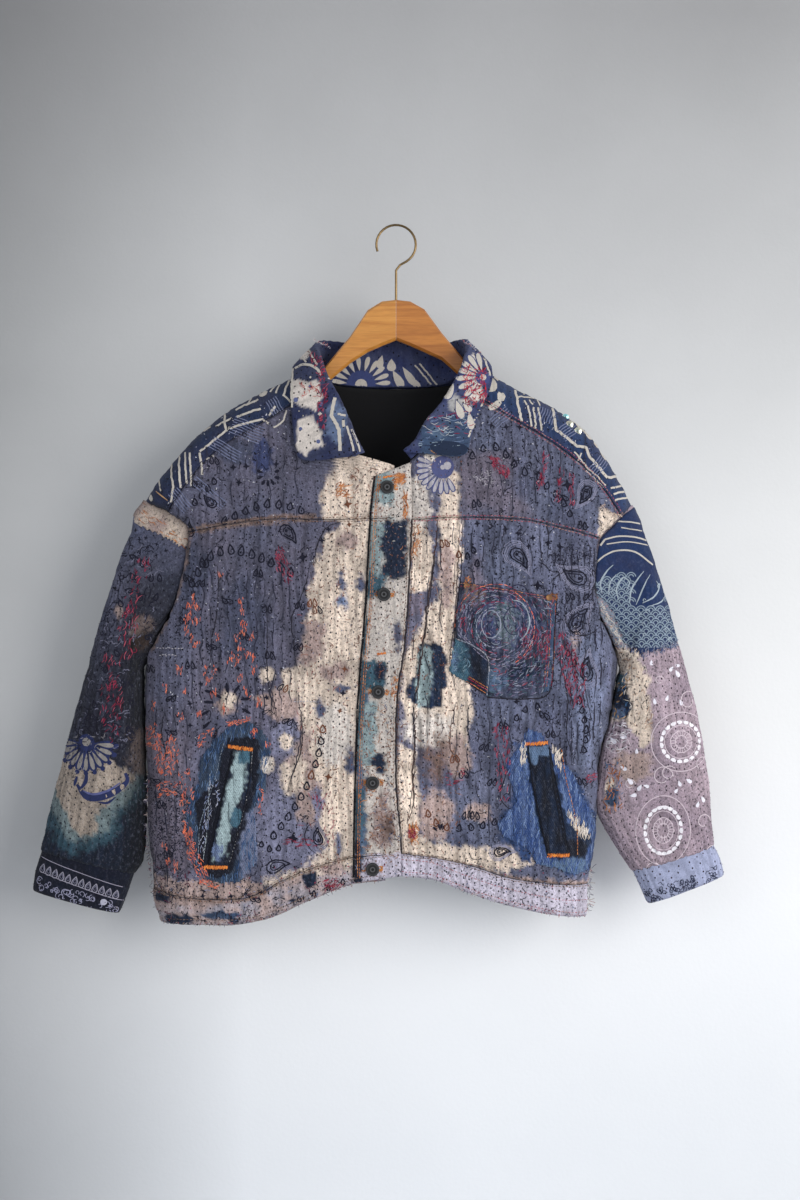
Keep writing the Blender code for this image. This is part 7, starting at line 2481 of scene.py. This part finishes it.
dashes(threads, [(x, z - 6) for x, z in CHEST_POCKET[:3]], 0, PINK + CRIMSON, 3, 1.4)
threads.line(smoothed(CHEST_POCKET[2:7], 6), 1.4, GROOVE)
threads.line(smoothed([CHEST_POCKET[k] for k in (0, 9, 8)], 6), 1.3, GROOVE)
threads.level = 2
dashes(threads, CHEST_PATCH[:1] + CHEST_PATCH[:3:-1] + CHEST_PATCH[3:4], 0,
       [(0.24, 0.27, 0.34), (0.34, 0.33, 0.36)], 3.4, 0.8, 1.3)
for gap, tints in ((2.5, COPPER + CORAL[3:]), (6.5, CRIMSON), (9.0, COPPER)):
    dashes(threads, [(86, -577), (98, -584), (113, -593)], gap, tints, 4, 0.8, 0.9)
threads.level = 0
darned(threads, box_round(89.5, -449.5, 3.5, 3.5), 14, 4, 30, 60, COPPER, 0.9)
darned(threads, [(189, -465), (200, -466), (200, -474), (189, -473)], 34, 4, 20, 60,
       [(0.20, 0.075, 0.03), (0.30, 0.12, 0.045)], 0.8)
darned(threads, [(72, -526), (90, -536), (92, -574), (68, -560)], 60, 6, 60, 30,
       [(0.12, 0.22, 0.30), (0.03, 0.07, 0.12), (0.20, 0.30, 0.36)], 0.7)
darned(threads, [(-232, -700), (-222, -696), (-218, -724), (-230, -740), (-238, -792), (-246, -790),
                 (-240, -740)], 70, 5, 78, 30,
       [(0.30, 0.32, 0.46), (0.42, 0.42, 0.50), (0.16, 0.20, 0.34)], 0.8)
# long threads of the pocket denim: outline, the part left out, how far across, and colours
DENIM_THREADS = [
    (LEFT_DENIM, LEFT_DARK, (-262, -155), [(0.12, 0.19, 0.32), (0.02, 0.05, 0.13), (0.05, 0.10, 0.22)]),
    (RIGHT_DENIM, RIGHT_DARK, (125, 250), [(0.02, 0.05, 0.18), (0.04, 0.08, 0.24), (0.20, 0.28, 0.46),
                                           (0.10, 0.17, 0.38)]),
]
for outline, without, across, tints in DENIM_THREADS:
    for _ in range(1300):
        x, z = draw.uniform(*across), draw.uniform(-826, -624)
        at = (np.array([x]), np.array([z]))
        if depth_inside(*at, outline)[0] > 1 and depth_inside(*at, without)[0] < 0:
            strand(threads, x, z, draw.uniform(4, 11), 84 + draw.gauss(0, 10), draw.choice(tints), 0.8)
threads.level = 1
WORN_WHITE = [(0.66, 0.56, 0.47), (0.50, 0.44, 0.40), (0.72, 0.66, 0.6)]
for outline, count, angle in (
        ([(192, -652), (206, -664), (206, -690), (198, -672)], 40, 76),
        ([(154, -652), (160, -652), (162, -674), (155, -676)], 30, 84),
        ([(212, -738), (224, -742), (243, -764), (240, -774), (224, -764)], 70, 86)):
    darned(threads, outline, count, 8, angle, 8, WORN_WHITE, 0.9)
for line in ([(164, -654), (168, -690), (178, -742), (188, -792)],
             [(190, -656), (200, -706), (207, -745), (214, -789)],
             [(-180, -662), (-182, -700), (-193, -752), (-207, -802)]):
    threads.line(smoothed(line, 6), 1.4, (0.004, 0.005, 0.012))
for line in ([(-283, -474), (-286, -488), (-292, -502)], [(-300, -338), (-292, -344), (-284, -350)]):
    threads.line(smoothed(line, 6), 1.6, (0.50, 0.30, 0.15), taper=True)
threads.level = 0
over_skin = skin_of(FRONT_NAMES + ["pocket_denim_left", "pocket_denim_right", "welt_left", "welt_right",
                                   "chest_pocket", "chest_denim_patch"])
threads.lay("threads_front", over_skin, ink_finish, THREAD_LIFT)

# %% Threads on sleeves and collar
# for each of them: the cloth, then outline, how many, length, angle, spread, colours and width
MORE_THREADS = {
    "threads_sleeve_left": (left_sleeve_skin, [
        ([(-366, -544), (-344, -540), (-340, -620), (-350, -660), (-368, -622)], 90, 6, 68, 24, CRIMSON,
         0.7),
        ([(-330, -420), (-306, -424), (-318, -470), (-352, -540), (-340, -480)], 60, 6, 66, 24, CRIMSON,
         0.7),
        ([(-336, -480), (-318, -470), (-326, -540), (-344, -560)], 24, 9, 70, 14, CRIMSON, 0.9),
        ([(-318, -350), (-262, -400), (-266, -410), (-326, -372)], 26, 7, -38, 12, COPPER, 0.8),
        ([(-360, -640), (-420, -640), (-424, -680), (-398, -700)], 40, 6, 60, 60,
         [(0.02, 0.02, 0.04), (0.3, 0.28, 0.3)], 0.7),
    ]),
    "threads_sleeve_right": (right_sleeve_skin, [
        ([(256, -480), (286, -536), (312, -556), (322, -640), (298, -640), (276, -560)], 150, 6, 60, 50,
         [(0.72, 0.64, 0.55), (0.60, 0.55, 0.50), (0.05, 0.05, 0.05), (0.40, 0.25, 0.18)], 0.8),
        ([(262, -680), (284, -672), (282, -740), (262, -740)], 70, 6, 80, 40,
         COPPER + [(0.05, 0.10, 0.22), (0.10, 0.20, 0.34)], 1.0),
        ([(266, -560), (292, -566), (290, -620), (268, -626)], 60, 7, 70, 30,
         [(0.02, 0.05, 0.12), (0.05, 0.12, 0.24), (0.12, 0.20, 0.30), (0.50, 0.30, 0.15)], 1.3),
        ([(330, -528), (356, -526), (354, -534), (306, -546), (290, -540), (306, -536)], 60, 6, 84, 24,
         [(0.04, 0.06, 0.16), (0.20, 0.22, 0.30)], 0.8),
        ([(262, -630), (290, -622), (290, -660), (266, -664)], 30, 7, 10, 30, [(0.78, 0.76, 0.80)], 0.9),
    ]),
    "threads_collar": (collar_skin, [
        ([(84, -184), (112, -184), (112, -232), (84, -234)], 150, 6, 70, 50,
         CRIMSON + [(0.50, 0.015, 0.03)], 0.9),
        ([(-112, -160), (-92, -170), (-84, -206), (-88, -262), (-98, -262), (-96, -206)], 90, 6, 70, 40,
         CRIMSON, 0.9),
        ([(-120, -204), (-94, -206), (-98, -224), (-116, -222)], 22, 5, 60, 60, [(0.45, 0.10, 0.08)], 0.8),
        ([(30, -250), (92, -240), (96, -270), (36, -272)], 50, 7, 5, 30,
         CRIMSON[:2] + [(0.5, 0.5, 0.52), (0.32, 0.36, 0.42)], 0.7),
    ]),
}
draw = random.Random(78)
for name, (skin, fields) in MORE_THREADS.items():
    more = Marks()
    for field in fields:
        darned(more, *field)
    more.lay(name, skin, ink_finish, THREAD_LIFT)


# %% [markdown]
# ## Loose ends and sequins
# Boro frays: short threads stick out along the hems, the cuffs and the torn edges. They are thin
# ribbons that start at the edge and curl away. Three sequins are sewn on the right shoulder.


# %% Loose threads
END_STEPS, END_SPREAD, END_CURL, END_HALF = 5, 0.9, 1.1, 0.28


def loose_ends(name, line, count, tints, long, outward, depth, seed):
    """Short curled threads that start along an edge, given in the plane of the front."""
    dice = np.random.default_rng(seed)
    path = np.array(line, float)
    x, z = points_at(path, dice.uniform(0, run_of(path)[-1], count)).T
    y = body_y(x, z) if depth is None else np.full(count, float(depth))
    angle = math.atan2(outward[1], outward[0]) + dice.normal(0, END_SPREAD, count)
    reach = dice.uniform(long[0], long[1], count)
    curl = dice.normal(0, END_CURL, count)
    points, faces, colours = [], [], []
    for k in range(count):
        start = np.array([x[k], y[k] - 1.0, z[k]])
        tint = tints[dice.integers(len(tints))]
        for s in range(END_STEPS):
            a = angle[k] + curl[k] * s / (END_STEPS - 1)
            way = np.array([math.cos(a), 0, math.sin(a)])
            side = np.array([-way[2], 0, way[0]]) * END_HALF
            start = start + way * reach[k] / END_STEPS + np.array([0, dice.normal(0, 0.35), 0])
            points += [start + side, start - side]
            colours += [tint, tint]
            if s:
                base = len(points)
                faces.append((base - 4, base - 3, base - 1, base - 2))
    data = fast_mesh(name, np.array(points) * MM, np.array(faces), np.array(colours))
    trims[name] = link(name, data, ink_finish)


WHITE_ENDS = [(0.55, 0.50, 0.50), (0.40, 0.36, 0.42), (0.12, 0.11, 0.16), (0.35, 0.12, 0.12)]
DARK_ENDS = [(0.03, 0.03, 0.06), (0.10, 0.10, 0.16), (0.30, 0.22, 0.18)]
MIXED_ENDS = WHITE_ENDS + DARK_ENDS
# piece, edge, how many, colours, shortest and longest, way out, and depth if it is not the body's
LOOSE_ENDS = [
    ("ends_hem_left", [(0.985 * x, z + 4) for x, z in HEM_LEFT], 190, MIXED_ENDS, (2, 6), (0, -1), None),
    ("ends_hem_right", [(0.985 * x, z + 4) for x, z in HEM_RIGHT], 130, WHITE_ENDS, (2, 6), (0, -1), None),
    ("ends_side_left", [(-311, -690), (-313, -760), (-307, -830), (-300, -866)], 110, MIXED_ENDS, (2, 7),
     (-1, -0.2), None),
    ("ends_waist_left", WAIST_SEAM_LEFT, 70, DARK_ENDS + [(0.4, 0.2, 0.12)], (2, 5), (0, -1), None),
    ("ends_corner_right", [(246, -812), (244, -836), (240, -862)], 50, MIXED_ENDS, (4, 11), (0.4, -1),
     None),
    ("ends_print", [(352, -527), (330, -535), (305, -541), (286, -530)], 60,
     [(0.05, 0.07, 0.18), (0.3, 0.32, 0.4)], (2, 6), (0.2, -1), -34),
    ("ends_sleeve_right", [(258, -478), (272, -506), (286, -534), (300, -546)], 70,
     [(0.66, 0.58, 0.50), (0.5, 0.45, 0.4)], (3, 7), (-0.6, -0.6), -40),
    ("ends_cuff_left", [(-452, -832), (-350, -859)], 60, DARK_ENDS + [(0.4, 0.38, 0.4)], (2, 4), (0, -1),
     -16),
    ("ends_cuff_right", [(322, -849), (408, -815)], 50, [(0.24, 0.27, 0.4), (0.1, 0.1, 0.2)], (2, 4),
     (0, -1), -16),
    ("ends_shoulder_right", [(252, -352), (268, -366), (282, -366)], 36,
     [(0.66, 0.50, 0.40), (0.30, 0.22, 0.2)], (3, 7), (0.6, -0.6), None),
    ("ends_collar", [(-104, -148), (-96, -152), (-84, -158)], 26, WHITE_ENDS, (2, 6), (0, 1), -20),
    ("ends_collar_right", [(84, -150), (96, -158), (106, -168)], 30, WHITE_ENDS, (2, 6), (0.4, 1), -20),
]
for seed, row in enumerate(LOOSE_ENDS, 1):
    loose_ends(*row, seed)


# %% Sequins
def sequin_finish():
    made, tree, shader = new_material("sequins")
    dye = node(tree, "Attribute", attribute_name="dye").outputs["Color"]
    film = node(tree, "TexNoise", {"Vector": scaled(tree, (500, 500, 500)), "Scale": 1.0}).outputs["Fac"]
    tone = blended(tree, 0.25, dye, ramp(tree, film, [(0.4, (0.25, 0.55, 0.60)), (0.6, (0.75, 0.70, 0.55))]))
    wire(tree, tone, shader, "Base Color")
    shader.inputs["Metallic"].default_value = 0.55
    shader.inputs["Roughness"].default_value = 0.2
    return made


SEQUINS = [
    (212.8, -244.1, 3.9, (0.20, 0.62, 0.68)), (216.2, -255.3, 5.0, (0.42, 0.38, 0.30)),
    (226.7, -263.6, 5.0, (0.50, 0.46, 0.36)),
]
# the rings of a sequin, from its hole to its edge: share of the radius, rise and brightness
SEQUIN_RINGS = [(0.16, -0.9, 0.3), (0.6, -0.5, 0.8), (1.0, 0.3, 1.15)]
SEQUIN_SIDES = 16
sequin_points, sequin_faces, sequin_tints = [], [], []
for x, z, radius, tint in SEQUINS:
    middle = landed(front_skin, np.array([x]), np.array([z]))[0][0] + (0, -1.6, 0)
    for share, rise, bright in SEQUIN_RINGS:
        first = len(sequin_points)
        for k in range(SEQUIN_SIDES):
            a = k * 2 * math.pi / SEQUIN_SIDES
            sequin_points.append(middle + (radius * share * math.cos(a), rise,
                                           radius * share * math.sin(a)))
            sequin_tints.append(np.array(tint) * bright)
            if share < 1:
                j, outer = (k + 1) % SEQUIN_SIDES, first + SEQUIN_SIDES
                sequin_faces.append((first + k, outer + k, outer + j, first + j))
data = fast_mesh("sequins", np.array(sequin_points) * MM, np.array(sequin_faces), np.array(sequin_tints))
trims["sequins"] = link("sequins", data, sequin_finish())
print("pieces of trim:", len(trims))

# %% [markdown]
# ## Hanger
# The solids of the hanger have their right shape already, so they stay and only get a better
# finish: honey-coloured wood with a thin varnish, and a brass wire hook.

# %% Wood and metal
def wood_finish(name, pale, deep):
    made, tree, shader = new_material(name)
    grain = node(tree, "TexNoise", {"Vector": scaled(tree, (9, 60, 150)), "Scale": 1.0, "Detail": 6.0,
                                    "Distortion": 0.6}).outputs["Fac"]
    pores = node(tree, "TexNoise", {"Vector": scaled(tree, (60, 500, 900)), "Scale": 1.0, "Detail": 2.0})
    tone = ramp(tree, grain, [(0.3, deep), (0.7, pale)])
    tone = blended(tree, 0.22, tone, ramp(tree, pores.outputs["Fac"], [(0.35, 0.35), (0.6, 1.0)]),
                   "MULTIPLY")
    wire(tree, tone, shader, "Base Color")
    shader.inputs["Roughness"].default_value = 0.34
    shader.inputs["Coat Weight"].default_value = 0.25
    shader.inputs["Coat Roughness"].default_value = 0.2
    bump = node(tree, "Bump", {"Height": pores.outputs["Fac"], "Strength": 0.15, "Distance": 0.0004})
    wire(tree, bump.outputs["Normal"], shader, "Normal")
    return made


def metal_finish(name, colour, rough, metal=1.0):
    made, tree, shader = new_material(name)
    wear = node(tree, "TexNoise", {"Vector": scaled(tree, (420, 420, 420)), "Scale": 1.0, "Detail": 4.0})
    tone = blended(tree, 1.0, colour, ramp(tree, wear.outputs["Fac"], [(0.3, 0.55), (0.7, 1.0)]),
                   "MULTIPLY")
    wire(tree, tone, shader, "Base Color")
    shader.inputs["Metallic"].default_value = metal
    shader.inputs["Roughness"].default_value = rough
    return made


def refinish(name, finish):
    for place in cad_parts[name].material_slots:
        place.material = finish


# Both arms are the same honey wood; the right arm's colour is darker, as painted shade.
refinish("hanger_arm_left", wood_finish("honey_wood", (0.60, 0.27, 0.055), (0.40, 0.145, 0.022)))
refinish("hanger_arm_right", wood_finish("honey_wood_in_painted_shade", (0.50, 0.19, 0.034), (0.30, 0.095, 0.014)))
refinish("hanger_hook", metal_finish("brass_wire", (0.20, 0.135, 0.065), 0.34))
button_metal = metal_finish("dark_metal", (0.045, 0.046, 0.055), 0.42, 0.75)
for number in range(1, 6):
    refinish(f"button_{number}", button_metal)
brass = metal_finish("dull_copper", (0.30, 0.16, 0.08), 0.45)
for number in (1, 2):
    refinish(f"pocket_rivet_{number}", brass)
print("hanger, buttons and rivets have their finish")

# %% [markdown]
# Each button gets a raised ring and a dark well on its face, for the plain solid has none. Its copper
# stitches were darned beside it with the other threads.

# %% Faces of the buttons
BUTTON_RINGS = [(0.0, -0.2, 0.010), (1.6, -0.2, 0.012), (2.0, 0.4, 0.07), (3.0, 0.5, 0.10), (3.6, 0.1, 0.012),
                (5.6, 0.3, 0.022), (7.0, 0.75, 0.050), (7.9, 0.35, 0.025)]
BUTTON_SIDES = 24
for number in range(1, 6):
    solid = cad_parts[f"button_{number}"]
    corners = np.array([solid.matrix_world @ Vector(corner) for corner in solid.bound_box]) / MM
    x, _, z = corners.mean(axis=0)
    y = corners[:, 1].min() - 0.1
    points, tints, faces = [], [], []
    for radius, rise, tone in BUTTON_RINGS:
        for a in np.arange(BUTTON_SIDES) * 2 * math.pi / BUTTON_SIDES:
            points.append((x + radius * math.cos(a), y + 0.3 - rise, z + radius * math.sin(a)))
            tints.append((tone, tone, tone * 1.06))
    for ring in range(len(BUTTON_RINGS) - 1):
        for k in range(BUTTON_SIDES):
            j = (k + 1) % BUTTON_SIDES
            near, far = ring * BUTTON_SIDES, (ring + 1) * BUTTON_SIDES
            faces.append((near + k, near + j, far + j, far + k))
    data = fast_mesh(f"button_face_{number}", np.array(points) * MM, np.array(faces), np.array(tints))
    trims[f"button_face_{number}"] = link(f"button_face_{number}", data, ink_finish)
print("buttons with a face:", number)

# %% [markdown]
# ## Which piece stands for which solid
# The jacket is one body, so every piece rides on it. Each cloth piece hides the plain solids that
# it was made for, and says how large its cloth was when it was cut.

# %% Ride and replace, and print the size of each cut
STANDS_FOR = {
    "shoulder_strip_left": "back_yoke", "shoulder_strip_right": "back_yoke",
    "lining_front_left": "front_panel_left", "lining_front_right": "front_panel_right",
    "lining_back": "back_lining", "lining_sleeve_left": "sleeve_left",
    "lining_sleeve_right": "sleeve_right",
}


for name, piece in cloth_pieces.items():
    across, along, area = piece["flat"]
    solid = STANDS_FOR.get(name, name)
    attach(piece["object"], "root")
    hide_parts(solid)
    print(f"{name}: cut {across:.3f} x {along:.3f} m, area {area:.4f} m2")
for name, thing in trims.items():
    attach(thing, "root")
